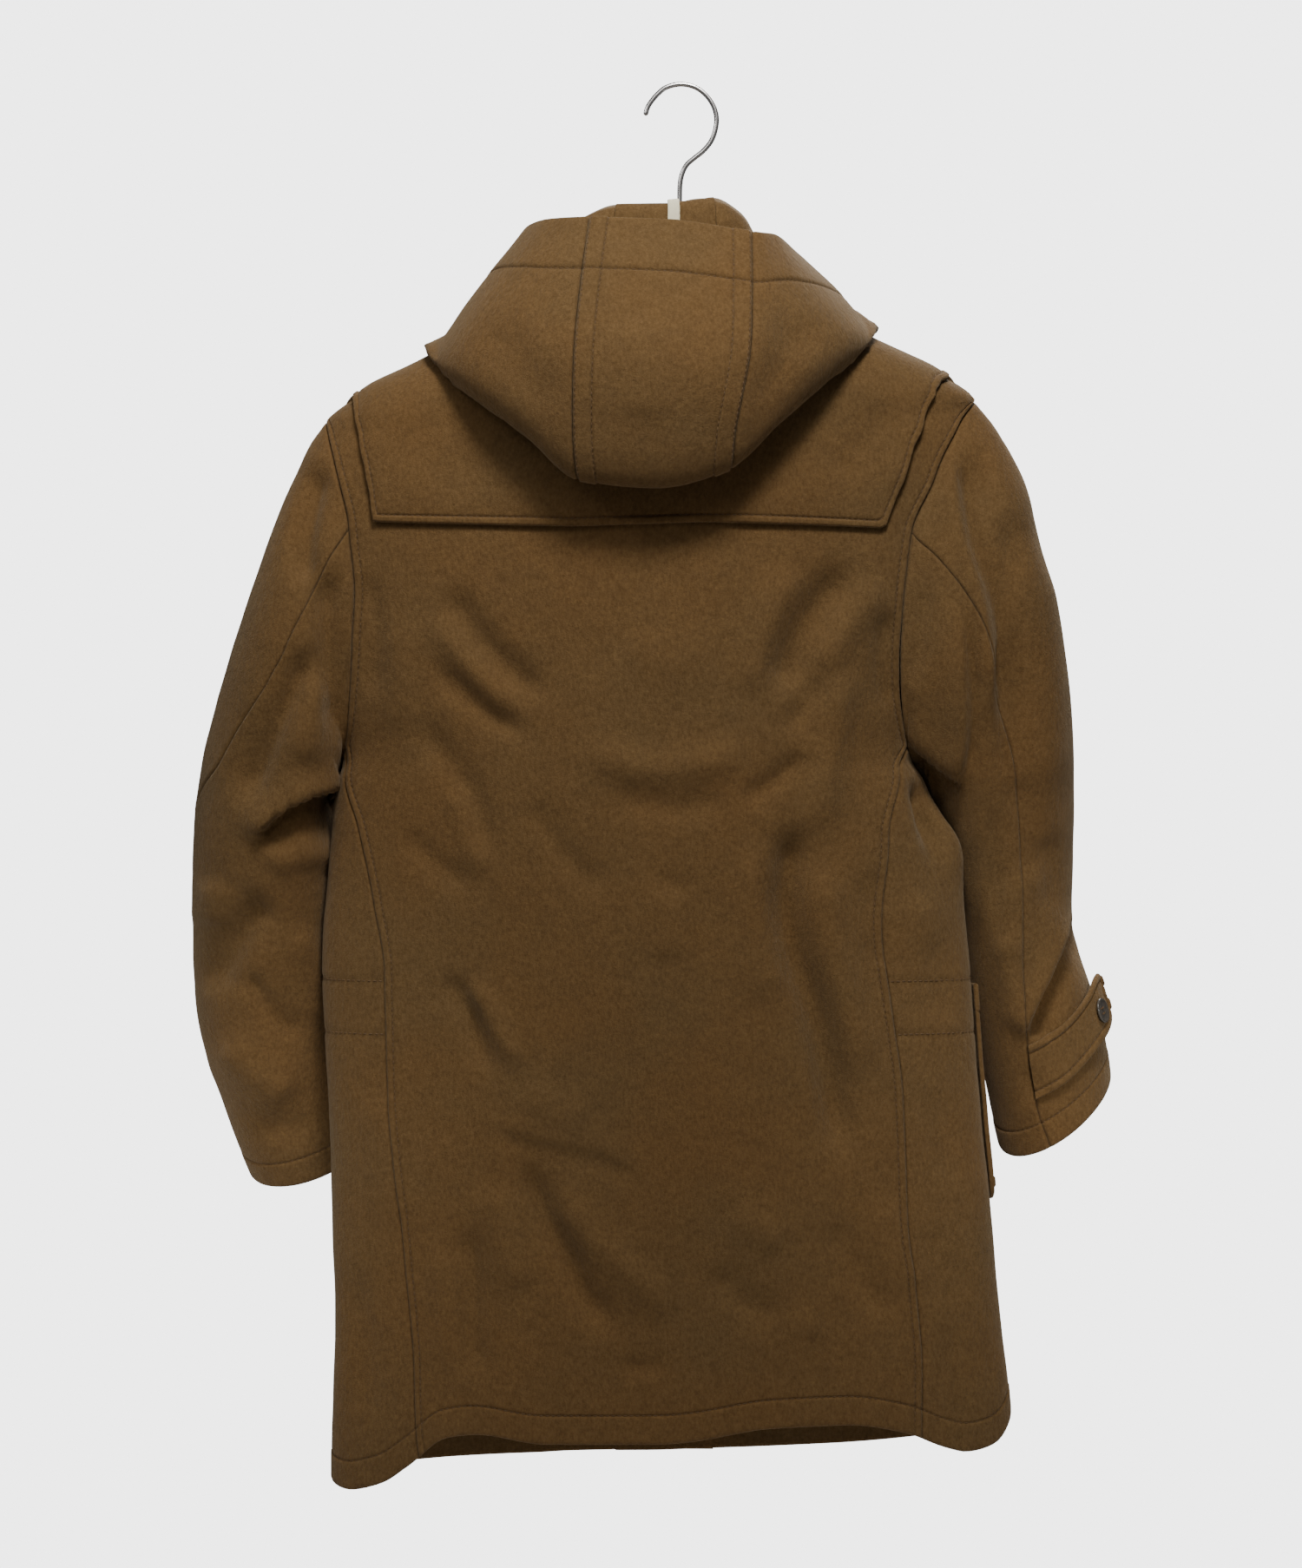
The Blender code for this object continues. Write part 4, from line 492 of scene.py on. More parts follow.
def tube(points, radius, sides=8, closed=False):
    """A round bar along points; radius is one number or one for each point."""
    pts = np.asarray(points, float)
    n = len(pts)
    radius = np.broadcast_to(np.asarray(radius, float), (n,))
    if closed:
        tan = np.roll(pts, -1, 0) - np.roll(pts, 1, 0)
    else:
        tan = np.gradient(pts, axis=0)
    tan /= np.linalg.norm(tan, axis=1, keepdims=True)
    ref = np.array([0.0, 1.0, 0.0]) if abs(tan[0][1]) < 0.9 else np.array([1.0, 0.0, 0.0])
    side = np.cross(tan[0], ref)
    verts = []
    for i in range(n):
        side = side - tan[i] * (side @ tan[i])
        side /= np.linalg.norm(side)
        up = np.cross(tan[i], side)
        for j in range(sides):
            t = 2 * math.pi * j / sides
            verts.append(pts[i] + radius[i] * (side * math.cos(t) + up * math.sin(t)))
    faces = []
    for i in range(n if closed else n - 1):
        for j in range(sides):
            a, b = i * sides + j, i * sides + (j + 1) % sides
            i2 = (i + 1) % n
            faces.append((a, b, i2 * sides + (j + 1) % sides, i2 * sides + j))
    if not closed:
        faces.append(tuple(range(sides))[::-1])
        faces.append(tuple((n - 1) * sides + j for j in range(sides)))
    return np.array(verts), faces


def spline(points, steps):
    """Catmull-Rom curve through the points."""
    p = np.asarray(points, float)
    p = np.concatenate([[2 * p[0] - p[1]], p, [2 * p[-1] - p[-2]]])
    out = []
    for i in range(1, len(p) - 2):
        for s in range(steps):
            t = s / steps
            out.append(0.5 * (2 * p[i] + (p[i + 1] - p[i - 1]) * t
                              + (2 * p[i - 1] - 5 * p[i] + 4 * p[i + 1] - p[i + 2]) * t * t
                              + (3 * p[i] - p[i - 1] - 3 * p[i + 1] + p[i + 2]) * t ** 3))
    out.append(p[-2])
    return np.array(out)


def grid_faces(nr, nc):
    """Quads of a closed wall: the outer grid, the inner grid and the strip that joins their rims."""
    i, j = np.meshgrid(np.arange(nr - 1), np.arange(nc - 1), indexing="ij")
    a = (i * nc + j).ravel()
    b, c, d = a + 1, a + nc + 1, a + nc
    m = nr * nc
    rim = [(0, x) for x in range(nc)] + [(y, nc - 1) for y in range(1, nr)]
    rim += [(nr - 1, x) for x in range(nc - 2, -1, -1)] + [(y, 0) for y in range(nr - 2, 0, -1)]
    r = np.array([y * nc + x for y, x in rim])
    s = np.roll(r, -1)
    return np.concatenate([np.stack([a, b, c, d], 1), np.stack([m + a, m + d, m + c, m + b], 1), np.stack([s, r, m + r, m + s], 1)])


def closed_volume(verts, faces):
    """Signed volume of a mesh of quads."""
    p = verts[faces]
    mid = verts.mean(0)
    p = p - mid
    return (np.einsum("ij,ij->i", p[:, 0], np.cross(p[:, 1], p[:, 2])) + np.einsum("ij,ij->i", p[:, 0], np.cross(p[:, 2], p[:, 3]))).sum() / 6


def piece(name, verts, faces, mat, tone=None, nodes=(), slot=None, flat=False):
    """One visible piece, in millimetres, riding on the coat."""
    verts = np.asarray(verts, float)
    if isinstance(faces, np.ndarray):
        if closed_volume(verts, faces) < 0:
            faces = faces[:, ::-1]
    elif signed_volume(verts, faces) < 0:
        faces = [tuple(f)[::-1] for f in faces]
    me = bpy.data.meshes.new(name)
    me.from_pydata((verts / 1000).tolist(), [], faces.tolist() if isinstance(faces, np.ndarray) else faces)
    # per-vertex colour factor: painted shade along seams, grooves and stitched lines, and lighter along finished edges
    if tone is not None:
        at_ = me.attributes.new("tone", "FLOAT", "POINT")
        at_.data.foreach_set("value", np.asarray(tone, np.float32).ravel())
    if not flat:
        me.shade_smooth()
    me.update()
    me.materials.append(mat)
    ob = bpy.data.objects.new(name, me)
    bpy.context.scene.collection.objects.link(ob)
    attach(ob, "root")
    if nodes:
        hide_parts(*nodes)
    return ob


def lengths(p, axis):
    """Distance along a grid's lines from their first point."""
    d = np.linalg.norm(np.diff(p, axis=axis), axis=-1)
    first = np.zeros_like(np.take(d, [0], axis=axis))
    return np.concatenate([first, np.cumsum(d, axis=axis)], axis=axis)


def respace(g, place, first, last, step, axis):
    """Respaces a parameter grid's lines: at the distances first from one edge and last from the other, step apart between."""
    if axis == 0:
        return respace(g.swapaxes(0, 1), place, first, last, step, 1).swapaxes(0, 1)
    run = lengths(place(g), 1)
    first, last = np.asarray(first, float), np.asarray(last, float)
    n = max(2, int(round((np.median(run[:, -1]) - first[-1] - last[-1]) / step)))
    out = np.empty((g.shape[0], len(first) + len(last) + n - 1, g.shape[2]))
    for i in range(g.shape[0]):
        total = run[i, -1]
        a = first * min(1.0, 0.42 * total / max(first[-1], 1e-6))
        b = total - (last * min(1.0, 0.42 * total / max(last[-1], 1e-6)))[::-1]
        d = np.concatenate([a, np.linspace(a[-1], b[0], n + 1)[1:-1], b])
        for c in range(g.shape[2]):
            out[i, :, c] = np.interp(d, run[i], g[i, :, c])
    return out


def upsample(g, rows, cols):
    """The same parameter grid with more lines, straight between the given ones."""
    for axis, n in ((0, rows), (1, cols)):
        g = np.moveaxis(g, axis, 0)
        t = np.linspace(0, len(g) - 1, n)
        i = np.clip(t.astype(int), 0, len(g) - 2)
        f = (t - i).reshape(-1, *([1] * (g.ndim - 1)))
        g = np.moveaxis(g[i] * (1 - f) + g[i + 1] * f, 0, axis)
    return g


# spacing of the lines next to an edge, millimetres from it
FREE = [0, 0.35, 0.9, 1.8, 3.0]                                                  # a free edge, rounded over
SEAMED = [0, 0.5, 1.2, 2.2, 3.4]                                                 # a plain seam
STITCHED = [0, 0.5, 1.2, 2.2, 3.4, 4.4, 5.1, 5.6, 6.1, 6.6, 7.3, 8.6, 10.6]      # a seam with a stitched line at 6
HEMMED = [0, 0.35, 0.9, 1.8, 3.2, 6.0, 10.0, 14.5, 18.0, 19.6, 20.4, 21.0, 21.6, 22.2, 22.9, 24.4, 27.2]


def groove(d, at_, depth=0.75, width=0.75):
    return -depth * np.exp(-(((d - at_) / width) ** 2))


def swell(d, a, b, high, soft=1.3):
    return high * smooth((d - a) / soft + 0.5) * smooth((b - d) / soft + 0.5)


def edge_relief(kind, d):
    """Relief of the outer face next to an edge, by the way that edge is sewn, and its tone: painted shade darkening the
    seam ditch and the groove of a stitched line, and a lighter band right along a free, hemmed or rolled edge.
    """
    # the negative tone terms below are painted shade in the grooves; the positive ones lighten the edge itself
    if kind == "stitched":
        r = groove(d, 0.0, 0.9, 0.9) + swell(d, 0.8, 5.4, 0.55) + groove(d, 6.1)
        return r, -0.20 * np.exp(-((d / 0.8) ** 2)) - 0.10 * np.exp(-(((d - 6.1) / 0.65) ** 2))
    if kind == "seamed":
        return groove(d, 0.0, 0.8, 1.1) + 0.3 * np.exp(-(((d - 3.2) / 2.0) ** 2)), -0.18 * np.exp(-((d / 0.8) ** 2))
    if kind == "hemmed":
        r = swell(d, 1.5, 20.4, 0.5, 2.2) + groove(d, 21.3, 0.8, 0.8)
        return r, 0.08 * np.exp(-((d / 1.5) ** 2)) - 0.10 * np.exp(-(((d - 21.3) / 0.7) ** 2))
    if kind == "free":
        return 0 * d, 0.10 * np.exp(-((d / 1.2) ** 2))
    if kind == "rolled":
        r = swell(d, 0.4, 5.2, 1.0, 2.0) + groove(d, 6.1, 0.8, 0.8)
        return r, 0.08 * np.exp(-((d / 1.2) ** 2)) - 0.12 * np.exp(-(((d - 6.1) / 0.65) ** 2))
    return 0 * d, 0 * d


def rounding(d, r=1.6):
    """Share of the half thickness at distance d from a rounded edge."""
    t = np.clip(d / r, 0, 1)
    return 0.22 + 0.78 * np.sqrt(np.maximum(1 - (1 - t) ** 2, 0))


class Cloth:
    """A panel on its parameter grid: places, outward directions and distances from its four edges."""

    def __init__(self, name, g, middle, normal, edges, height=None, lift=0.0, thick=CLOTH):
        self.name, self.g = name, g
        p, n = middle(g), normal(g)
        col, row = lengths(p, 1), lengths(p, 0)
        self.d = {"left": col, "right": col[:, -1:] - col, "bottom": row, "top": row[-1:] - row}
        relief, tone, cover = np.zeros(p.shape[:2]), np.ones(p.shape[:2]), np.ones(p.shape[:2])
        # each edge adds its relief and its tone, which carries the painted shade of its grooves
        for side, kind in edges.items():
            r, t = edge_relief(kind, self.d[side])
            relief += r
            tone += t
            if kind in ("free", "hemmed", "rolled"):
                cover = np.minimum(cover, rounding(self.d[side]))
            elif kind:
                cover = np.minimum(cover, rounding(self.d[side] + 0.5, 1.4))
        h = lift + (height if height is not None else 0.0)
        self.extra = relief
        self.p, self.n, self.h, self.tone, self.cover, self.thick = p, n, h, tone, cover, thick
        self.finish()

    def finish(self):
        self.outer = self.p + self.n * (self.h + self.extra + self.thick / 2 * self.cover)[..., None]
        self.inner = self.p + self.n * (self.h - self.thick / 2 * self.cover)[..., None]
        self.mid = self.p + self.n * np.broadcast_to(self.h, self.p.shape[:2])[..., None]

    def build(self, nodes, slot="melton", mat=None):
        nr, nc = self.outer.shape[:2]
        verts = np.concatenate([self.outer.reshape(-1, 3), self.inner.reshape(-1, 3)])
        # the outer face carries the tone with its painted seam shade, the inner face stays plain
        tone = np.concatenate([self.tone.ravel(), np.ones(nr * nc)])
        return piece(self.name, verts, grid_faces(nr, nc), mat or MELTON, tone, nodes, slot)

    def sheet(self, ob, rests_on):
        m = self.mid
        a = np.linalg.norm(np.cross(m[1:, 1:] - m[:-1, :-1], m[1:, :-1] - m[:-1, 1:]), axis=-1).sum() / 2
        w, l = lengths(m, 1)[:, -1].max() + 1.0, lengths(m, 0)[-1].max() + 1.0
        area = min(max(a, 0.301 * w * l), w * l) / 1e6
        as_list(rests_on)
        CUTS.append((self.name, w, l, area))

    def line(self, side, at_, lo=0.0, hi=1.0):
        """Points of the outer face and directions along a line at one distance from an edge."""
        f = self.d[side]
        axis = 1 if side in ("left", "right") else 0
        o, n = self.outer, self.n
        if axis == 0:
            f, o, n = f.T, o.swapaxes(0, 1), n.swapaxes(0, 1)
        if side in ("right", "top"):
            f, o, n = f[:, ::-1], o[:, ::-1], n[:, ::-1]
        pts, nrm = [], []
        k = len(f)
        for i in range(int(lo * k), max(int(hi * k), 1)):
            if f[i, -1] < at_ * 2.1:
                continue
            j = max(int(np.searchsorted(f[i], at_)) - 1, 0)
            t = (at_ - f[i, j]) / max(f[i, j + 1] - f[i, j], 1e-9)
            pts.append(o[i, j] * (1 - t) + o[i, j + 1] * t)
            nrm.append(n[i, j])
        return np.array(pts), np.array(nrm)


CUTS = []


def stitch_row(pts, nrm, pitch=4.4, length=3.1, r=0.36, skip=0.0):
    """A row of thread stitches along pts: small bars that dive into the cloth at both ends."""
    if len(pts) < 3:
        return np.zeros((0, 3)), []
    run = np.concatenate([[0], np.cumsum(np.linalg.norm(np.diff(pts, axis=0), axis=1))])
    total = run[-1]
    k = int((total - 2 * skip) / pitch)
    if k < 1:
        return np.zeros((0, 3)), []
    c = skip + (np.arange(k) + 0.5) * (total - 2 * skip) / k
    stations = [(-0.5, -0.34, 0.5), (-0.36, 0.20, 1.0), (0.36, 0.20, 1.0), (0.5, -0.34, 0.5)]
    sides = 5
    pick = lambda s, a: np.stack([np.interp(s, run, a[:, i]) for i in range(3)], -1)
    a, b = pick(c - length / 2, pts), pick(c + length / 2, pts)
    t = b - a
    t /= np.maximum(np.linalg.norm(t, axis=1, keepdims=True), 1e-9)
    n = pick(c, nrm)
    n -= t * (n * t).sum(1, keepdims=True)
    n /= np.maximum(np.linalg.norm(n, axis=1, keepdims=True), 1e-9)
    s = np.cross(t, n)
    rings = []
    for x, up, fat in stations:
        mid = pick(c + x * length, pts) + n * up
        ang = 2 * np.pi * np.arange(sides) / sides
        rings.append(mid[:, None] + r * fat * (n[:, None] * np.cos(ang)[None, :, None] + s[:, None] * np.sin(ang)[None, :, None]))
    verts = np.stack(rings, 1).reshape(-1, 3)
    faces = []
    for q in range(k):
        o = q * 4 * sides
        for i in range(3):
            for j in range(sides):
                j2 = (j + 1) % sides
                faces.append((o + i * sides + j, o + i * sides + j2, o + (i + 1) * sides + j2, o + (i + 1) * sides + j))
        faces.append(tuple(o + j for j in range(sides))[::-1])
        faces.append(tuple(o + 3 * sides + j for j in range(sides)))
    return verts, faces


def stitches(name, rows):
    """All the rows of one name as one piece of thread."""
    verts, faces, base = [], [], 0
    for v, f in rows:
        if len(v):
            verts.append(v)
            faces += [tuple(x + base for x in y) for y in f]
            base += len(v)
    if verts:
        piece(name, np.concatenate(verts), faces, THREAD, slot="melton")

# ---------------------------------------------------------------- body panels
SEAM_ROWS, ARM_ROWS, TOP_ROWS = 104, 64, 24
SIDE_COLS = 36
FRONT_EDGE_L, FRONT_EDGE_R = -26.0, 50.0   # x of the left front's edge, on top, and of the right front's below it
LAP = CLOTH + 1.4                          # how far the left front stands off the right one


def tighten(grid, sides, gap=SEAM / 2):
    """Moves the named edges of an (angle, z) patch in by half a seam gap, measured on the body."""
    g = grid.copy()
    for side in sides:
        edge, inner = {"left": (g[:, 0], g[:, 1]), "right": (g[:, -1], g[:, -2]),
                       "bottom": (g[0], g[1]), "top": (g[-1], g[-2])}[side]
        pe, pi = ring(edge[:, 0], edge[:, 1]), ring(inner[:, 0], inner[:, 1])
        far = np.maximum(np.linalg.norm(pi - pe, axis=1), 1e-6)
        move = (gap / far)[:, None] * (inner - edge)
        edge += move
    return g


def loop_phi(table, z):
    """Place of height z on the armhole, as an angle: 0 the shoulder tip, pi the underarm."""
    return np.arccos(np.clip(1 - 2 * (tip_z(table) - z) / (tip_z(table) - underarm_z(table)), -1, 1))


def loop_z(table, phi):
    return tip_z(table) + (underarm_z(table) - tip_z(table)) * (1 - np.cos(phi)) / 2


def seam_phi(table):
    """Place on the armhole where the sleeve's seams start."""
    return (SLEEVE_L if table is ARMHOLE_L else SLEEVE_R)[0][7] * RAD


def arm_phis(table):
    """Places on the armhole of the rows that body and sleeve share, from the side seam up to the tip."""
    low, half = float(loop_phi(table, seam_top(table))), ARM_ROWS // 2
    return np.concatenate([np.linspace(low, seam_phi(table), half + 1), np.linspace(seam_phi(table), 0, half + 1)[1:]])


def under_phis(table):
    """Places on the armhole along the top of the side panel, from the back seam to the front seam."""
    low = float(loop_phi(table, seam_top(table)))
    return np.linspace(low, 2 * np.pi - low, SIDE_COLS + 1)


def seam_top(table):
    """Height where the side seams reach the armhole."""
    v, u, y = table[-2]
    return float(at(u, v, y)[2])


def side_boundary(table, seam_at, front, inside_neck):
    """(angle, z) of a panel's side edge: up the seam, round the armhole and along the shoulder to the neck point."""
    low, tip = seam_top(table), tip_z(table)
    sign = 1 if table[0][1] < U0 else -1
    hem = seam_at[1]
    zs = np.linspace(hem, low, SEAM_ROWS + 1)
    pts = [(float(seam_at[0](z)), float(z)) for z in zs]
    pts[-1] = (float(armhole_angle(table, low, front)), low)
    arm = loop_z(table, arm_phis(table))[1:]
    pts += [(float(armhole_angle(table, z, front)), float(z)) for z in arm[:-1]]
    pts.append((sign * math.pi / 2, tip))
    for z in np.linspace(tip, inside_neck, TOP_ROWS + 1)[1:]:
        pts.append((sign * math.pi / 2, float(z)))
    return pts


def back_seam(table):
    return lambda z: seam_angles(table, np.array([z]))[0]


def front_seam(side):
    """The side panel's other edge, on the front: a plain line from the armhole to the hem."""
    table = ARMHOLE_L if side > 0 else ARMHOLE_R
    top = float(armhole_angle(table, seam_top(table), True))
    low = side * 128 * RAD
    return lambda z: top + (low - top) * smooth((seam_top(table) - z) / 330.0)


def hem_at(seam):
    z = -1030.0
    for _ in range(20):
        z = float(hem_z(np.array(seam(z))))
    return z


def make_body():
    grids = {}
    sl, sr = back_seam(BACK_SEAM_L), back_seam(BACK_SEAM_R)
    fl, fr = front_seam(1), front_seam(-1)
    hz = {"bl": hem_at(sl), "br": hem_at(sr), "fl": hem_at(fl), "fr": hem_at(fr)}
    rows = SEAM_ROWS + ARM_ROWS + TOP_ROWS

    # back: column 0 at the right seam, the last at the left seam
    right = side_boundary(ARMHOLE_R, (sr, hz["br"]), False, NECK_TOP)
    left = side_boundary(ARMHOLE_L, (sl, hz["bl"]), False, NECK_TOP)
    cols = 112
    a = np.linspace(right[0][0], left[0][0], cols + 1)
    bottom = [(x, float(hem_z(np.array(x)))) for x in a]
    top = [neckline(p) for p in np.linspace(-1, 1, cols + 1)]
    grids["back"] = tighten(patch(bottom, top, right, left, rows, cols), ["left", "right"], 0.03)

    # side panels, from the back seam round to the front seam
    for name, table, s, f, hb, hf, sign in (("side_left", ARMHOLE_L, sl, fl, hz["bl"], hz["fl"], 1),
                                            ("side_right", ARMHOLE_R, sr, fr, hz["br"], hz["fr"], -1)):
        low = seam_top(table)
        e0 = [(float(s(z)), float(z)) for z in np.linspace(hb, low, SEAM_ROWS + 1)]
        e0[-1] = (float(armhole_angle(table, low)), low)
        e1 = [(float(f(z)), float(z)) for z in np.linspace(hf, low, SEAM_ROWS + 1)]
        e1[-1] = (float(armhole_angle(table, low, True)), low)
        cols = SIDE_COLS
        bottom = [(x, float(hem_z(np.array(x)))) for x in np.linspace(e0[0][0], e1[0][0], cols + 1)]
        top = []
        for phi in under_phis(table):
            z = float(loop_z(table, phi))
            top.append((float(armhole_angle(table, z, bool(phi > np.pi))), z))
        top[0], top[-1] = e0[-1], e1[-1]
        grids[name] = tighten(tighten(patch(bottom, top, e0, e1, SEAM_ROWS, cols), ["left", "right"], 0.03), ["top"], 2.0)

    # fronts, from the side seam to the front edge; the left one laps over the right one
    for name, table, f, hf, sign, edge in (("front_left", ARMHOLE_L, fl, hz["fl"], 1, FRONT_EDGE_L),
                                           ("front_right", ARMHOLE_R, fr, hz["fr"], -1, FRONT_EDGE_R)):
        outer = side_boundary(table, (f, hf), True, NECK_TOP)
        cols = 72
        # the front edge runs past the middle, so its angle goes past 180 degrees
        def edge_angle(z):
            return sign * (math.pi + math.asin((abs(edge - XC) / float(half_left(z) if edge > XC else half_right(z))) ** (float(power(z)) / 2)))
        hem_edge = float(hem_z(np.array(sign * math.pi)))
        zs = np.concatenate([np.linspace(hem_edge, seam_top(table), SEAM_ROWS + 1),
                             np.linspace(seam_top(table), NECK_FRONT, ARM_ROWS + TOP_ROWS + 1)[1:]])
        inner = [(edge_angle(z), float(z)) for z in zs]
        bottom = [(x, float(hem_z(np.array(max(-math.pi, min(math.pi, x)))))) for x in np.linspace(outer[0][0], inner[0][0], cols + 1)]
        top = []
        for t in np.linspace(0, 1, cols + 1):
            if t < 0.85:
                top.append(neckline(sign * (1 + t / 0.85)))
            else:
                g = (t - 0.85) / 0.15
                top.append((sign * math.pi + g * (inner[-1][0] - sign * math.pi), NECK_FRONT))
        grids[name] = tighten(patch(bottom, top, outer, inner, rows, cols), ["left"], 0.03)
    return grids


def lap_at(x):
    """How far the left front stands out at x, to pass over the right front and the patches' ground."""
    return LAP * smooth((116.0 - x) / 34.0)


def lap_of(name, grid):
    """How far out each point of a front stands because of the overlap."""
    x = ring(grid[..., 0], grid[..., 1])[..., 0]
    if name == "front_left":
        return lap_at(x)
    return np.zeros_like(x)


# ---------------------------------------------------------------- sleeves
# Rings of the left sleeve: outer u, v; inner u, v; middle y; half-depth; drop of the rear side; back seam's angle
SLEEVE_L = [
    (380, 486, 399, 874, 0, 42, 0, 69), (361, 512, 395, 886, 0, 47, 0, 68), (344, 545, 390, 896, -1, 52, 0, 70),
    (324, 590, 386, 906, -2, 56, 1, 73), (306, 640, 382, 918, -3, 58, 2, 74), (288, 693, 379, 930, -5, 59, 3, 68),
    (270, 748, 377, 946, -8, 59, 4, 59), (252, 810, 378, 966, -14, 59, 5, 47), (236, 877, 380, 990, -20, 59, 7, 33),
    (227, 950, 384, 1022, -28, 59, 9, 18), (224, 1020, 389, 1062, -37, 58, 12, 7), (224, 1088, 394, 1110, -46, 57, 15, 0),
    (228, 1148, 401, 1156, -54, 55, 18, -4), (240, 1206, 410, 1202, -61, 53, 20, -7), (256, 1252, 419, 1240, -67, 51, 21, -9),
    (273, 1298, 428, 1270, -72, 50, 22, -10), (292, 1342, 438, 1296, -77, 49, 22, -10)]
SLEEVE_R = [
    (1119, 462, 1047, 874, 0, 42, 0, 76), (1137, 482, 1058, 884, 0, 47, 0, 79), (1158, 515, 1068, 893, -1, 52, 0, 83),
    (1180, 562, 1076, 903, -2, 56, 1, 85), (1193, 612, 1083, 914, -3, 58, 2, 85), (1205, 664, 1088, 928, -8, 58, 3, 87),
    (1216, 720, 1091, 945, -14, 58, 4, 89), (1226, 780, 1094, 967, -20, 57, 5, 88), (1233, 848, 1097, 994, -27, 56, 6, 87),
    (1235, 915, 1100, 1027, -34, 55, 8, 86), (1233, 985, 1104, 1070, -41, 54, 10, 84), (1231, 1045, 1110, 1116, -47, 53, 12, 85),
    (1242, 1095, 1118, 1160, -52, 52, 14, 88), (1254, 1135, 1128, 1205, -56, 51, 16, 93), (1266, 1172, 1138, 1250, -59, 50, 17, 98),
    (1273, 1206, 1146, 1287, -61, 49, 18, 102), (1277, 1236, 1153, 1318, -62, 48, 19, 102)]
UPPER_SPAN = 150.0   # degrees of the ring that the upper sleeve takes
CUFF = len(SLEEVE_L) - 1


def gap_to_body(p):
    """About how far each point is outside the middle of the body's cloth, and the way out."""
    z = np.minimum(p[..., 2], -170.5)
    x, y, n = p[..., 0] - XC, p[..., 1], power(z)

    def level(zz):
        wide = np.where(x >= 0, half_left(zz), half_right(zz))
        deep = np.where(y >= 0, depth_back(zz), -depth_front(zz))
        return np.maximum((np.abs(x) / wide) ** n + (np.abs(y) / deep) ** n, 1e-6) ** (1 / n)

    wide = np.where(x >= 0, half_left(z), half_right(z))
    deep = np.where(y >= 0, depth_back(z), -depth_front(z))
    r = level(z)
    gx = np.sign(x) * r ** (1 - n) * (np.abs(x) / wide) ** (n - 1) / wide
    gy = np.sign(y) * r ** (1 - n) * (np.abs(y) / deep) ** (n - 1) / deep
    gz = (level(np.minimum(z + 2, -170.5)) - level(z - 2)) / (np.minimum(z + 2, -170.5) - z + 2)
    g = np.stack([gx, gy, gz], -1)
    size = np.maximum(np.linalg.norm(g, axis=-1), 1e-6)
    return (r - 1) / size, g / size[..., None]


def keep_off(p, room, hold=1.0):
    """Moves points that are nearer to the body than room straight out."""
    for _ in range(3):
        gap, way = gap_to_body(p)
        e = room - gap
        push = 0.5 * (e + np.sqrt(e * e + 1.0)) - 0.02
        p = p + way * (np.where(e > -6, push, 0.0) * hold)[..., None]
    return p


def armhole_loop(table, phi):
    """Point of the armhole at phi (radians): 0 the shoulder tip, 180 degrees the underarm, the back between them."""
    f = (1 - np.cos(phi)) / 2
    z = tip_z(table) + (underarm_z(table) - tip_z(table)) * f
    a = armhole_angle(table, z)
    p = ring(a, z)
    p[..., 1] *= np.sign(np.sin(phi) + 1e-12) * 1.0
    return p


def sleeve_middle(rows, table, s, phi):
    """Middle of the sleeve's cloth at ring s (0 armhole to CUFF) and angle phi (radians)."""
    s, phi = np.broadcast_arrays(np.asarray(s, float), np.asarray(phi, float))
    t = np.asarray(rows, float)
    i = np.arange(len(rows))
    col = [curve(i, t[:, c], s) for c in range(7)]
    y = col[4]
    ox, _, oz = at(col[0], col[1], y)
    ix, _, iz = at(col[2], col[3], y)
    ax, az = (ox - ix) / 2, (oz - iz) / 2
    c, d = np.cos(phi), np.sin(phi)
    p = np.stack([(ox + ix) / 2 + ax * c, y + col[5] * d, (oz + iz) / 2 + az * c - col[6] * d], -1)
    fade = smooth(1 - s / 4.5)
    loop = armhole_loop(table, phi)
    tip, under = at(rows[0][0], rows[0][1], 0), at(rows[0][2], rows[0][3], 0)
    straight = np.stack([(tip[0] + under[0]) / 2 + (tip[0] - under[0]) / 2 * c, rows[0][5] * d + 0 * c,
                         (tip[2] + under[2]) / 2 + (tip[2] - under[2]) / 2 * c], -1)
    p = p + (loop - straight) * fade[..., None]
    # under the arm the two walls turn down side by side, so the sleeve starts a wall further out
    side = 1 if table is ARMHOLE_L else -1
    low = smooth((np.abs(np.abs(phi) % (2 * np.pi) - np.pi) * -1 + 75 * RAD) / (45 * RAD)) * smooth(1 - s / 2.0) * smooth(s / 0.22)
    p = p + np.stack([side * 3.6 * low, 0 * low, 1.0 * low], -1)
    # the sleeve lies against the body and never in it
    room = 1.0 + CLOTH + 3.6 * smooth((s - 9) / 3)
    p = keep_off(p, room, smooth((s - 0.2) / 1.3) * smooth((underarm_z(table) + 10 - p[..., 2]) / 30))
    # the cloth under the arm sags at the front, below the armpit its front half hangs in against the side panel
    inner = smooth((-np.cos(phi) - 0.1) / 0.5) * smooth((10 - p[..., 1]) / 18)
    sag = 14 * inner * smooth(s / 0.6) * smooth((4.6 - s) / 2.6)
    p = keep_off(p - np.stack([0 * sag, 0 * sag, sag], -1), room, smooth((s - 0.05) / 0.4) * (sag > 0.01))
    gap, way = gap_to_body(p)
    zone = smooth((underarm_z(table) + 18 - p[..., 2]) / 18) * smooth((p[..., 2] - float(z_of(1085))) / 60)
    near = smooth((34 - gap) / 16) * smooth((12 - p[..., 1]) / 24) * smooth((-np.cos(phi) - 0.05) / 0.4)
    return p - way * (np.maximum(gap - room, 0) * zone * near)[..., None]


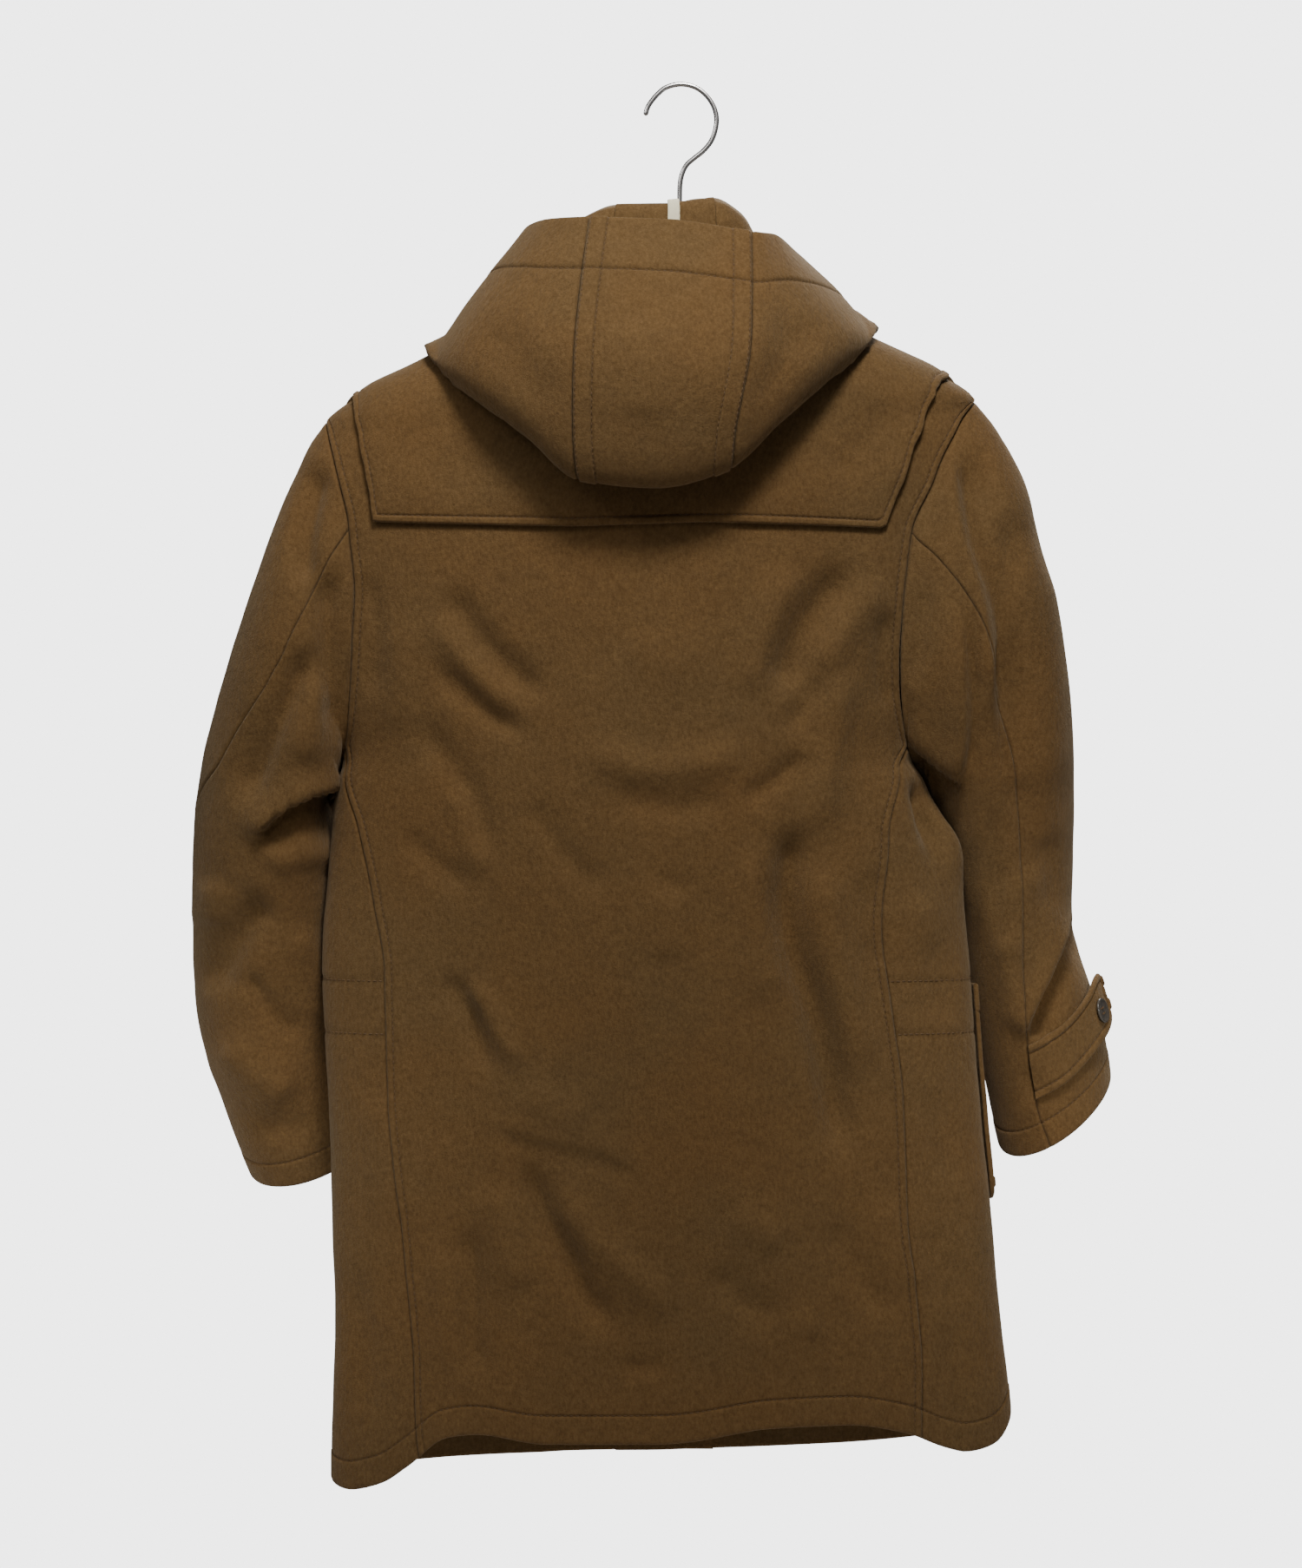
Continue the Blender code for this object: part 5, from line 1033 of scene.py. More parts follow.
def sleeve_normal(rows, table, s, phi):
    e = 0.02
    ds = sleeve_middle(rows, table, np.minimum(s + e, CUFF), phi) - sleeve_middle(rows, table, np.maximum(s - e, 0), phi)
    dp = sleeve_middle(rows, table, s, phi + e) - sleeve_middle(rows, table, s, phi - e)
    n = np.cross(ds, dp)
    n /= np.maximum(np.linalg.norm(n, axis=-1, keepdims=True), 1e-9)
    side = 1 if table is ARMHOLE_L else -1
    n *= side
    # at the armhole the cloth has the body's own direction
    f = (1 - np.cos(phi)) / 2
    z = tip_z(table) + (underarm_z(table) - tip_z(table)) * f
    a = armhole_angle(table, z)
    b = body_normal(a, z)
    b[..., 1] *= np.sign(np.sin(phi) + 1e-12)
    low = smooth((75 * RAD - np.abs(np.abs(phi) % (2 * np.pi) - np.pi)) / (45 * RAD))
    k = (smooth(1 - np.asarray(s, float) / 0.9) * (1 - low))[..., None]
    m = n * (1 - k) + b * k
    return m / np.maximum(np.linalg.norm(m, axis=-1, keepdims=True), 1e-9)


def sleeve(rows, table, s, phi, off=0.0):
    s, phi = np.broadcast_arrays(np.asarray(s, float), np.asarray(phi, float))
    return sleeve_middle(rows, table, s, phi) + sleeve_normal(rows, table, s, phi) * off


def back_seam_phi(rows, s):
    return curve(np.arange(len(rows)), [r[7] for r in rows], s) * RAD


# Drawn back seams of the sleeves: u, v from the armhole down
SLEEVE_SEAM_L = [(408, 606), (394, 622), (380, 641), (361, 680), (331, 740), (304, 792), (276, 836), (249, 888), (232, 937)]
SLEEVE_SEAM_R = [(1053, 619), (1083, 644), (1110, 678), (1132, 714), (1145, 750), (1153, 799), (1162, 833), (1171, 872), (1176, 940),
                 (1178, 1006), (1178, 1080), (1179, 1131), (1183, 1195), (1188, 1243), (1196, 1282), (1206, 1312)]


def drawn_seam_phi(rows, table, s):
    """Angle of the back seam at each ring: where the sleeve's surface meets the drawn line, else the table's."""
    plain = back_seam_phi(rows, s)
    deg = np.linspace(-45, 45, 121) * RAD
    phi = plain[:, None] + deg[None]
    p = sleeve_middle(rows, table, s[:, None], phi)
    u, v = drawn(p[..., 0], p[..., 1], p[..., 2])
    d, t = along(u, v, SLEEVE_SEAM_L if table is ARMHOLE_L else SLEEVE_SEAM_R)
    miss = np.abs(d) + 40.0 * (t <= 0) + 40.0 * (t >= 1)
    j = np.argmin(miss, axis=1)
    hit = np.where(miss[np.arange(len(s)), j] < 6, deg[j], np.nan)
    good = ~np.isnan(hit)
    turn = np.interp(s, s[good], hit[good], right=0.0)
    last = s[good][-1]
    turn = turn * smooth((last + 1.2 - s) / 1.2) if last < CUFF - 0.5 else turn
    turn[0] = seam_phi(table) - plain[0]
    k = np.ones(7) / 7
    for _ in range(2):
        ext = np.concatenate([np.full(3, turn[0]), turn, np.full(3, turn[-1])])
        turn = np.convolve(ext, k, "valid")
    return plain + turn


def sleeve_grids(rows, table, n_rings=120, up=48, un=72):
    """(s, phi) grids of the upper and the under sleeve; both seams are shared."""
    s = np.linspace(0.03, CUFF, n_rings)
    seam = seam_phi(table)
    m = smooth(s / 3.0)
    pb = drawn_seam_phi(rows, table, s)
    pf = (1 - m) * -seam + m * (back_seam_phi(rows, s) - UPPER_SPAN * RAD)
    gap = 0.03 / 55.0
    s, pb, pf = s[:, None], pb[:, None], pf[:, None]
    upper = pb + (pf - pb) * np.linspace(0, 1, up)[None]
    lower = pb + (pf + 2 * np.pi - pb) * np.linspace(0, 1, un)[None]
    upper[:, 0] -= gap
    upper[:, -1] += gap
    lower[:, 0] += gap
    lower[:, -1] -= gap
    both = []
    for g in (upper, lower):
        both.append(np.stack([np.broadcast_to(s, g.shape), g], -1))
    return both


def sleeve_folds(side, p, n):
    """Folds of a sleeve: the drawn ones on the side seen from behind, others on the hidden side."""
    u, v = drawn(p[..., 0], p[..., 1], p[..., 2])
    h = fold_height("sleeve_" + side, u, v) * smooth((n[..., 1] + 0.1) / 0.45)
    h += fold_height("sleeve_" + side + "_front", p[..., 0], -p[..., 2]) * smooth((-n[..., 1] - 0.05) / 0.4)
    return h

# ---------------------------------------------------------------- hood, thrown back
# Stations from the right throat (-1) over the back (0) to the left throat (1):
# w, outward direction in degrees, neck u v y, ridge u v y, bottom u v y, rim u v y, thickness of the bag, belly
HOOD = [
    (-1.00, -160, 764, 486, -71, 768, 468, -77, 800, 504, -86, 772, 452, -86, 5, 2),
    (-0.85, -120, 872, 426, -58, 876, 396, -63, 944, 436, -76, 888, 342, -68, 12, 6),
    (-0.70, -85, 903, 347, -2, 893, 318, -4, 993, 411, 22, 932, 312, -16, 12, 13),
    (-0.55, -52, 876, 345, 30, 872, 280, 36, 960, 433, 66, 912, 287, 32, 20, 22),
    (-0.40, -30, 838, 350, 42, 850, 243, 50, 902, 484, 88, 890, 270, 64, 24, 24),
    (-0.22, -12, 800, 352, 46, 822, 229, 56, 843, 537, 95, 866, 267, 79, 26, 29),
    (0.00, 0, 757, 353, 47, 766, 235, 57, 757, 558, 97, 773, 253, 80, 26, 30),
    (0.22, 12, 712, 352, 46, 710, 236, 56, 665, 549, 96, 679, 250, 79, 26, 29),
    (0.40, 30, 670, 350, 42, 668, 252, 50, 603, 500, 90, 634, 252, 66, 24, 24),
    (0.55, 52, 630, 347, 30, 634, 285, 36, 543, 457, 68, 608, 262, 34, 20, 22),
    (0.70, 85, 602, 349, -2, 612, 320, -4, 509, 434, 22, 600, 292, -14, 12, 13),
    (0.85, 120, 632, 428, -58, 628, 398, -63, 560, 450, -76, 616, 344, -68, 12, 6),
    (1.00, 160, 742, 486, -71, 738, 468, -77, 706, 504, -86, 734, 452, -86, 5, 2)]
HOOD_SEAM = 0.22
# where along the section each control point lies
SECTION = [0.0, 0.10, 0.17, 0.23, 0.36, 0.50, 0.56, 0.63, 0.78, 0.90, 1.0]


def hood_controls(w):
    """The section's control points at w, an array of 11 points."""
    t = np.asarray(HOOD, float)
    col = [curve(t[:, 0], t[:, c], w) for c in range(16)]
    th = col[1] * RAD
    out = np.stack([np.sin(th), np.cos(th), 0 * th], -1)
    up = np.array([0.0, 0.0, 1.0])
    neck, ridge, bottom, rim = (np.stack(at(col[c], col[c + 1], col[c + 2]), -1) for c in (2, 5, 8, 11))
    bag, belly = col[14][..., None], col[15][..., None]
    r = np.minimum(7.0, 0.12 * bag * 2 + 2)
    drop = np.minimum(0.35 * (ridge[..., 2:] - bottom[..., 2:]), 12.0)
    p1 = ridge - out * r - up * drop
    p3 = ridge + out * r - up * drop
    low = bottom - out * bag * 0.75 + up * np.minimum(16.0, 0.3 * bag + 4)
    p4 = 0.55 * p3 + 0.45 * low
    p7 = bottom + out * bag * 0.55 + up * np.minimum(26.0, bag)
    p8 = 0.55 * bottom + 0.45 * rim + out * belly
    p9 = 0.26 * bottom + 0.74 * rim + out * belly * 0.62
    return np.stack([neck, p1, ridge, p3, p4, low, bottom, p7, p8, p9, rim], 0)


def hood_middle(w, t):
    """Middle of the hood's cloth: w across, t from the neck seam (0) over the roll and round the bag to the rim (1)."""
    w, t = np.broadcast_arrays(np.asarray(w, float), np.asarray(t, float))
    c = hood_controls(w)
    s = np.asarray(SECTION)
    i = np.clip(np.searchsorted(s, t, side="right") - 1, 0, len(s) - 2)
    f = ((t - s[i]) / (s[i + 1] - s[i]))[..., None]

    def pick(j):
        return np.take_along_axis(c, np.clip(j, 0, len(s) - 1)[None, ..., None], 0)[0]

    def slope(j):
        j = np.clip(j, 0, len(s) - 1)
        lo, hi = np.maximum(j - 1, 0), np.minimum(j + 1, len(s) - 1)
        return (pick(hi) - pick(lo)) / (s[hi] - s[lo])[..., None]

    h = (s[i + 1] - s[i])[..., None]
    p = (pick(i) * (1 + 2 * f) * (1 - f) ** 2 + slope(i) * h * f * (1 - f) ** 2
         + pick(i + 1) * f * f * (3 - 2 * f) + slope(i + 1) * h * f * f * (f - 1))
    return keep_off(p, YOKE_LIFT + CLOTH + 4.4, smooth((t - 0.22) / 0.1) * smooth((-148 - p[..., 2]) / 14))


def hood(w, t, off=0.0):
    w, t = np.broadcast_arrays(np.asarray(w, float), np.asarray(t, float))
    e = 0.004
    dw = hood_middle(np.clip(w + e, -1, 1), t) - hood_middle(np.clip(w - e, -1, 1), t)
    dt = hood_middle(w, np.clip(t + e, 0, 1)) - hood_middle(w, np.clip(t - e, 0, 1))
    n = np.cross(dt, dw)
    n /= np.maximum(np.linalg.norm(n, axis=-1, keepdims=True), 1e-9)
    return hood_middle(w, t) + n * off


# ---------------------------------------------------------------- yoke, pockets, tabs
YOKE_BACK = [(411, 462), (411, 470), (412, 480), (417, 508), (423, 540), (428, 568), (432, 602), (663, 607), (805, 602), (1019, 609),
             (1034, 566), (1050, 516), (1065, 475), (1071, 462), (1076, 452), (1081, 443)]
YOKE_FRONT_DROP = 50.0  # how far the yoke reaches down the front below the shoulder tip


def on_back(u, v, y=50.0):
    for _ in range(8):
        x, _, z = at(u, v, y)
        y = float(ring(angle_of(x, z), z)[1])
    return float(angle_of(x, z)), float(z)


def refine(points, counts):
    """Points of a polyline with counts[i] steps on leg i."""
    out = []
    for (p, q), n in zip(zip(points[:-1], points[1:]), counts):
        for s in range(n):
            out.append((p[0] + (q[0] - p[0]) * s / n, p[1] + (q[1] - p[1]) * s / n))
    out.append(points[-1])
    return out


def yoke_edges():
    """Outer and inner boundary of the yoke as (angle, z), from the right front edge over the back to the left."""
    back = [on_back(u, v) for u, v in YOKE_BACK][::-1]      # right to left
    zr, zl = tip_z(ARMHOLE_R) - YOKE_FRONT_DROP, tip_z(ARMHOLE_L) - YOKE_FRONT_DROP

    def front(sign, table, edge):
        tip, low = tip_z(table), tip_z(table) - YOKE_FRONT_DROP
        inset = 13.0
        pts = []
        for f in (0.10, 0.45, 0.8):
            z = tip + (low - tip) * f
            a = abs(float(armhole_angle(table, z, True)))
            x = float(ring(np.array(a), np.array(z))[0]) if sign > 0 else float(ring(np.array(-a), np.array(z))[0])
            x -= sign * (inset + 13.0 * (1 - f) ** 2)
            pts.append((float(angle_of(np.array(x), np.array(z), True)), z))
        z = low
        wide = float(half_left(z) if edge > XC else half_right(z))
        beta = math.asin((abs(edge - XC) / wide) ** (float(power(z)) / 2))
        end = sign * (math.pi + (beta if (edge - XC) * sign < 0 else -beta))
        pts.append((pts[-1][0] + sign * 2 * RAD, low))
        for f in (0.5, 1.0):
            pts.append((pts[2][0] + (end - pts[2][0]) * f, low))
        return pts

    right = front(-1, ARMHOLE_R, FRONT_EDGE_L - 8)[::-1]
    left = front(1, ARMHOLE_L, FRONT_EDGE_L)
    legs = [(right, "r"), (back, "b"), (left, "l")]
    outer = right + [(-math.pi / 2, tip_z(ARMHOLE_R) + 16)] + back + [(math.pi / 2, tip_z(ARMHOLE_L) + 16)] + left
    # neckline places that belong to each outer point
    n_r, n_b, n_l = len(right), len(back), len(left)
    p = list(np.linspace(-1.62, -1.12, n_r)) + [-1.0] + list(np.linspace(-0.93, 0.93, n_b)) + [1.0] + list(np.linspace(1.12, 2.0, n_l))
    inner = []
    for q in p:
        a, z = neckline(float(np.clip(q, -2, 2)))
        inner.append((a, z - 1.0 - 6.0 * float(smooth((abs(q) - 0.7) / 0.3) * smooth((1.9 - abs(q)) / 0.3))))
    inner[-1] = (left[-1][0], NECK_FRONT - 1.0)
    steps = [max(1, round(abs(outer[i + 1][0] - outer[i][0]) / (9.5 * RAD))) for i in range(len(outer) - 1)]
    return refine(outer, steps), refine(inner, steps)


def yoke_grid(rows=30, cols=260):
    outer, inner = yoke_edges()
    o, i = np.asarray(outer), np.asarray(inner)
    t = np.linspace(0, 1, rows + 1)[:, None, None]
    return upsample(o[None] * (1 - t) + i[None] * t, rows + 1, cols)


def pocket_grid(side, rows=60, cols=70):
    """(angle, z) grid of a patch pocket: on the front, its rear edge at the side, its lower corners rounded off."""
    rear, fore = (104, 146) if side > 0 else (-91, -139)
    top, bottom = (-679.0, -843.0)
    a = np.linspace(rear, fore, cols) * RAD
    t = np.linspace(0, 1, rows)
    # rounded lower corners: the bottom edge rises towards each side
    x = np.abs(np.linspace(-1, 1, cols))
    rise = 14.0 * (1 - np.sqrt(np.maximum(1 - np.clip((x - 0.78) / 0.22, 0, 1) ** 2, 0)))
    low = bottom + rise
    z = low[None, :] + (top - low[None, :]) * t[:, None]
    return np.stack(np.broadcast_arrays(a[None, :], z), -1)

# Cuff tab: degrees past the back seam, upper ring, lower ring
TAB = [(1, 12.9, 14.3), (26, 12.9, 14.3), (48, 12.84, 14.22), (68, 12.7, 14.1), (83, 12.56, 14.0), (92, 12.6, 13.86),
       (97, 12.86, 13.52)]


# ---------------------------------------------------------------- closures, hanger, hook
CLOSURES = [-347.0, -457.0, -567.0, -677.0]   # height of each toggle
TOGGLE_X, PATCH_LOOP_X, PATCH_TOGGLE_X = -36.0, 46.0, -112.0
PATCH_W, PATCH_H, PATCH_T = 36.0, 34.0, 1.6


def front_y(x, z, off):
    """Depth of the front's outer face, with the overlap, off millimetres outside the cloth's middle."""
    a = math.pi - float(angle_of(np.array(x), np.array(z)))
    lap = float(lap_at(x)) if x > FRONT_EDGE_L - 0.5 else 0.0
    return float(ring(np.array(a), np.array(z))[1]) - lap - off


def closure_patch(cx, cz, point):
    """A plain shield of leather: round corners, its point towards the toggle."""
    outline = []
    w, h = PATCH_W / 2, PATCH_H / 2
    for a in np.linspace(0, 2 * np.pi, 24, endpoint=False):
        r = 1.0 / (abs(math.cos(a)) ** 3.2 + abs(math.sin(a)) ** 3.2) ** (1 / 3.2)
        x, z = w * r * math.cos(a), h * r * math.sin(a)
        if x * point > 0:
            z *= 1 - 0.45 * abs(x) / w
        outline.append((cx + x, cz + z))
    base = CLOTH / 2 + 1.0
    verts, faces = [], []
    for off in (base, base + PATCH_T):
        verts.append((cx, front_y(cx, cz, off), cz))
        for x, z in outline:
            verts.append((x, front_y(x, z, off), z))
    n = len(outline)
    for i in range(n):
        j = (i + 1) % n
        faces += [(0, 1 + j, 1 + i), (n + 1, n + 2 + i, n + 2 + j), (1 + i, 1 + j, n + 2 + j, n + 2 + i)]
    return np.array(verts), faces


def loop_cord(z):
    """The left front's loop: two strands and a round end that the toggle lies across."""
    a = CLOTH / 2 + CORD + 0.6
    end, start, half = TOGGLE_X - 10.0, PATCH_LOOP_X - PATCH_W / 2 - 0.9, 7.4
    pts = [(start, z + 4.0), ((start + end) / 2, z + half)]
    pts += [(end + half - half * math.sin(t), z + half * math.cos(t)) for t in np.linspace(0, np.pi, 7)]
    pts += [((start + end) / 2, z - half), (start, z - 4.0)]
    out = []
    for x, zz in spline(pts, 3):
        lift = 2 * CORD + 1.4 if x < FRONT_EDGE_L + 4 else 0.0
        top = min(front_y(x, zz, a), front_y(FRONT_EDGE_L + 1, zz, a)) if x < FRONT_EDGE_L + 6 else front_y(x, zz, a)
        out.append((x, top - lift * float(smooth((FRONT_EDGE_L + 8 - x) / 10)) * 0.6, zz))
    return tube(out, CORD, 6)


def toggle_cord(z):
    """The right front's cord: two strands that pass under the loop's end and up into the toggle."""
    a = CLOTH / 2 + CORD + 0.5
    start, half = PATCH_TOGGLE_X + PATCH_W / 2 + 0.9, 2.2
    base = front_y(FRONT_EDGE_L + 1, z, 0) - CLOTH / 2
    rise = toggle_y(z) + 6.6 + CORD
    pts = []
    for s in (1, -1):
        strand = [(start, front_y(start, z, a), z + s * 4.0), (-70.0, front_y(-70.0, z, a), z + s * 3.4),
                  (TOGGLE_X - 16, front_y(TOGGLE_X - 16, z, a) - 0.2, z + s * half),
                  (TOGGLE_X - 4, front_y(TOGGLE_X - 4, z, a) - 2.2, z + s * half),
                  (TOGGLE_X, rise, z + s * half)]
        pts += strand if s > 0 else strand[::-1]
    return tube(spline(pts, 3), CORD * 0.85, 6)


def toggle_y(z):
    return front_y(TOGGLE_X, z, 0) - LAP - 4 * CORD - 10.5


def toggle(z):
    """A round-ended bar, thicker at its waist."""
    n = 12
    t = np.linspace(-1, 1, n)
    pts = [(TOGGLE_X + 1.2 * x, toggle_y(z) - 0.8 * (1 - x * x), z + 25.0 * x) for x in t]
    r = [6.1 * (1 - 0.25 * x * x) * math.sqrt(max(1 - (abs(x) ** 7), 0.10)) for x in t]
    return tube(pts, r, 10)


HOOK = [(743.5, 133), (746, 124), (751, 116), (758, 108), (768, 100.5), (784, 97), (800, 100), (813, 109), (822, 122), (825.5, 136),
        (824, 150), (819, 163), (810, 174), (800, 182), (791, 190), (786, 200), (783.5, 212), (783, 232), (783, 262)]
# The hanger: x from its middle, z of the top, height, width
ARM = [(-205, -236, 9, 13), (-190, -229, 13, 15), (-150, -209, 15, 14), (-80, -176, 18, 13), (-50, -158, 21, 13), (-20, -136, 24, 13),
       (0, -129, 26, 13), (20, -135, 24, 13), (50, -156, 21, 13), (80, -173, 18, 13), (150, -203, 15, 14), (190, -222, 13, 15), (205, -229, 9, 13)]


def hanger():
    rows = ARM
    verts, faces, n = [], [], 10
    for x, z, h, w in rows:
        for j in range(n):
            t = 2 * math.pi * j / n
            c, s = math.cos(t), math.sin(t)
            verts.append((x, 0.5 * w * np.sign(c) * abs(c) ** 0.7, z - h / 2 + 0.5 * h * np.sign(s) * abs(s) ** 0.7))
    for i in range(len(rows) - 1):
        for j in range(n):
            faces.append((i * n + j, i * n + (j + 1) % n, (i + 1) * n + (j + 1) % n, (i + 1) * n + j))
    faces += [tuple(range(n))[::-1], tuple((len(rows) - 1) * n + j for j in range(n))]
    return np.array(verts, float), faces


def hook():
    pts = [at(u, v, 0.0) for u, v in HOOK]
    path = spline([(x, 0.0, z) for x, _, z in pts], 3)
    path = path[path[:, 2] > -126.0]
    path = np.concatenate([path, [[path[-1][0], 0.0, -128.4]]])
    return tube(path, WIRE, 8)


def button(rows, table, s, phi, off):
    """Place, directions and size of a cuff button."""
    c = sleeve(rows, table, np.array(s), np.array(phi), off)
    n = sleeve_normal(rows, table, np.array(s), np.array(phi))
    along_ = sleeve(rows, table, np.array(s + 0.2), np.array(phi), off) - c
    t = along_ - n * (along_ @ n)
    t /= np.linalg.norm(t)
    b = np.cross(n, t)
    r, th = 9.6, 1.5
    return c, n, t, b, r, th


def disc(c, n, t, b, r, th, sides=20):
    """Turned profile: flat base, rounded rim, dished face."""
    prof = [(0.0, 0.0), (r * 0.86, 0.0), (r, th * 0.45), (r * 0.97, th * 1.15), (r * 0.84, th * 1.3), (r * 0.68, th * 0.8), (0.0, th * 0.75)]
    verts, faces = [c + n * prof[0][1]], []
    for pr, ph in prof[1:-1]:
        for j in range(sides):
            w = 2 * math.pi * j / sides
            verts.append(c + n * ph + pr * (t * math.cos(w) + b * math.sin(w)))
    verts.append(c + n * prof[-1][1])
    last = len(verts) - 1
    m = len(prof) - 2
    for j in range(sides):
        j2 = (j + 1) % sides
        faces.append((0, 1 + j2, 1 + j))
        for i in range(m - 1):
            faces.append((1 + i * sides + j, 1 + i * sides + j2, 1 + (i + 1) * sides + j2, 1 + (i + 1) * sides + j))
        faces.append((last, 1 + (m - 1) * sides + j, 1 + (m - 1) * sides + j2))
    return np.array(verts), faces


def neck_tape():
    """A short tape over the hood's roll: outside the cloth's reverse face, from inside the neck down behind the rim."""
    w = np.linspace(-0.062, -0.012, 3)
    t = np.array([0.05, 0.10, 0.14, 0.17, 0.20, 0.24, 0.30])
    g = (w[None, :] + 0 * t[:, None], t[:, None] + 0 * w[None, :])
    return hood(*g, -CLOTH / 2 - 0.9), hood(*g, -CLOTH / 2 - 2.0)


# ---------------------------------------------------------------- materials
def socket(node, name, value):
    node.inputs[name].default_value = value


def new_material(name, rgb, rough, **fixed):
    m = bpy.data.materials.new(name)
    m.use_nodes = True
    s = m.node_tree.nodes["Principled BSDF"]
    s.inputs["Base Color"].default_value = (*rgb, 1)
    s.inputs["Roughness"].default_value = rough
    for k, v in fixed.items():
        s.inputs[k.replace("_", " ")].default_value = v
    return m, m.node_tree, s


def noise(tree, coord, scale, detail=3.0, rough=0.55, stretch=None):
    link = tree.links.new
    if stretch:
        mp = tree.nodes.new("ShaderNodeMapping")
        mp.inputs["Scale"].default_value = stretch
        link(coord, mp.inputs["Vector"])
        coord = mp.outputs["Vector"]
    n = tree.nodes.new("ShaderNodeTexNoise")
    n.inputs["Scale"].default_value = scale
    n.inputs["Detail"].default_value = detail
    n.inputs["Roughness"].default_value = rough
    link(coord, n.inputs["Vector"])
    return n.outputs["Fac"]


def ramp(tree, value, stops):
    r = tree.nodes.new("ShaderNodeValToRGB")
    while len(r.color_ramp.elements) < len(stops):
        r.color_ramp.elements.new(0.5)
    for e, (p, c) in zip(r.color_ramp.elements, stops):
        e.position, e.color = p, (*c, 1)
    tree.links.new(value, r.inputs["Fac"])
    return r.outputs["Color"]


def mix(tree, kind, a, b, fac=1.0):
    n = tree.nodes.new("ShaderNodeMix")
    n.data_type, n.blend_type = "RGBA", kind
    n.inputs["Factor"].default_value = fac
    for sock, v in ((n.inputs[6], a), (n.inputs[7], b)):
        if hasattr(v, "links"):
            tree.links.new(v, sock)
        else:
            sock.default_value = (*v, 1)
    return n.outputs[2]


def bump(tree, chain, height, distance, strength=1.0):
    b = tree.nodes.new("ShaderNodeBump")
    b.inputs["Distance"].default_value = distance
    b.inputs["Strength"].default_value = strength
    tree.links.new(height, b.inputs["Height"])
    if chain is not None:
        tree.links.new(chain, b.inputs["Normal"])
    return b.outputs["Normal"]


def melton(name="melton_nap", dark=(0.085, 0.0460, 0.0150), light=(0.142, 0.0835, 0.0325)):
    """Milled wool: a short matted nap with fine paler fibre ends, softly mottled; a per-vertex tone multiplies in
    painted shade along the seams, grooves and stitched lines.
    """
    m, tree, s = new_material(name, light, 0.93, Sheen_Weight=0.16, Sheen_Roughness=0.45,
                              Sheen_Tint=(0.95, 0.80, 0.56, 1), Specular_IOR_Level=0.18)
    co = tree.nodes.new("ShaderNodeTexCoord").outputs["Object"]
    fine = noise(tree, co, 460, 5.0, 0.68, (1.0, 1.0, 0.6))
    patch_ = noise(tree, co, 95, 3.0, 0.6)
    slow = noise(tree, co, 9, 2.0, 0.5)
    base = ramp(tree, fine, [(0.30, dark), (0.52, tuple((a + b) / 2 for a, b in zip(dark, light))), (0.74, light)])
    mottle = ramp(tree, patch_, [(0.30, (0.93, 0.93, 0.94)), (0.68, (1.05, 1.05, 1.04))])
    warm = ramp(tree, slow, [(0.32, (1.04, 0.99, 0.94)), (0.68, (0.97, 1.0, 1.04))])
    col = mix(tree, "MULTIPLY", mix(tree, "MULTIPLY", base, mottle), warm)
    # the per-vertex tone: painted shade in the seams and grooves, lighter along finished edges
    att = tree.nodes.new("ShaderNodeAttribute")
    att.attribute_name = "tone"
    col = mix(tree, "MULTIPLY", col, ramp(tree, att.outputs["Fac"], [(0.0, (0.0, 0.0, 0.0)), (1.0, (1.0, 1.0, 1.0))]))
    tree.links.new(col, s.inputs["Base Color"])
    nap = noise(tree, co, 900, 5.0, 0.7)
    pile = noise(tree, co, 210, 3.0, 0.6, (1.0, 1.0, 0.7))
    n1 = bump(tree, None, pile, 0.0014, 0.8)
    n2 = bump(tree, n1, nap, 0.0008, 0.9)
    tree.links.new(n2, s.inputs["Normal"])
    return m


def simple(name, rgb, rough, scale, variation=0.15, bump_mm=0.2, stretch=None, **fixed):
    """A finish with fine grain: colour that varies a little and a shallow bump."""
    m, tree, s = new_material(name, rgb, rough, **fixed)
    co = tree.nodes.new("ShaderNodeTexCoord").outputs["Object"]
    f = noise(tree, co, scale, 4.0, 0.6, stretch)
    lo, hi = tuple(c * (1 - variation) for c in rgb), tuple(min(c * (1 + variation), 1) for c in rgb)
    tree.links.new(ramp(tree, f, [(0.3, lo), (0.7, hi)]), s.inputs["Base Color"])
    tree.links.new(bump(tree, None, f, bump_mm / 1000, 0.6), s.inputs["Normal"])
    return m


def horn():
    m, tree, s = new_material("toggle_horn_finish", (0.10, 0.06, 0.035), 0.28, Coat_Weight=0.35, Coat_Roughness=0.15)
    co = tree.nodes.new("ShaderNodeTexCoord").outputs["Object"]
    f = noise(tree, co, 60, 4.0, 0.6, (3.0, 3.0, 0.5))
    g = noise(tree, co, 700, 2.0, 0.5, (1.0, 1.0, 0.1))
    a = ramp(tree, f, [(0.28, (0.020, 0.012, 0.008)), (0.5, (0.085, 0.048, 0.026)), (0.75, (0.24, 0.15, 0.08))])
    b = ramp(tree, g, [(0.3, (0.8, 0.8, 0.8)), (0.7, (1.15, 1.15, 1.15))])
    tree.links.new(mix(tree, "MULTIPLY", a, b), s.inputs["Base Color"])
    tree.links.new(bump(tree, None, g, 0.0001, 0.4), s.inputs["Normal"])
    return m


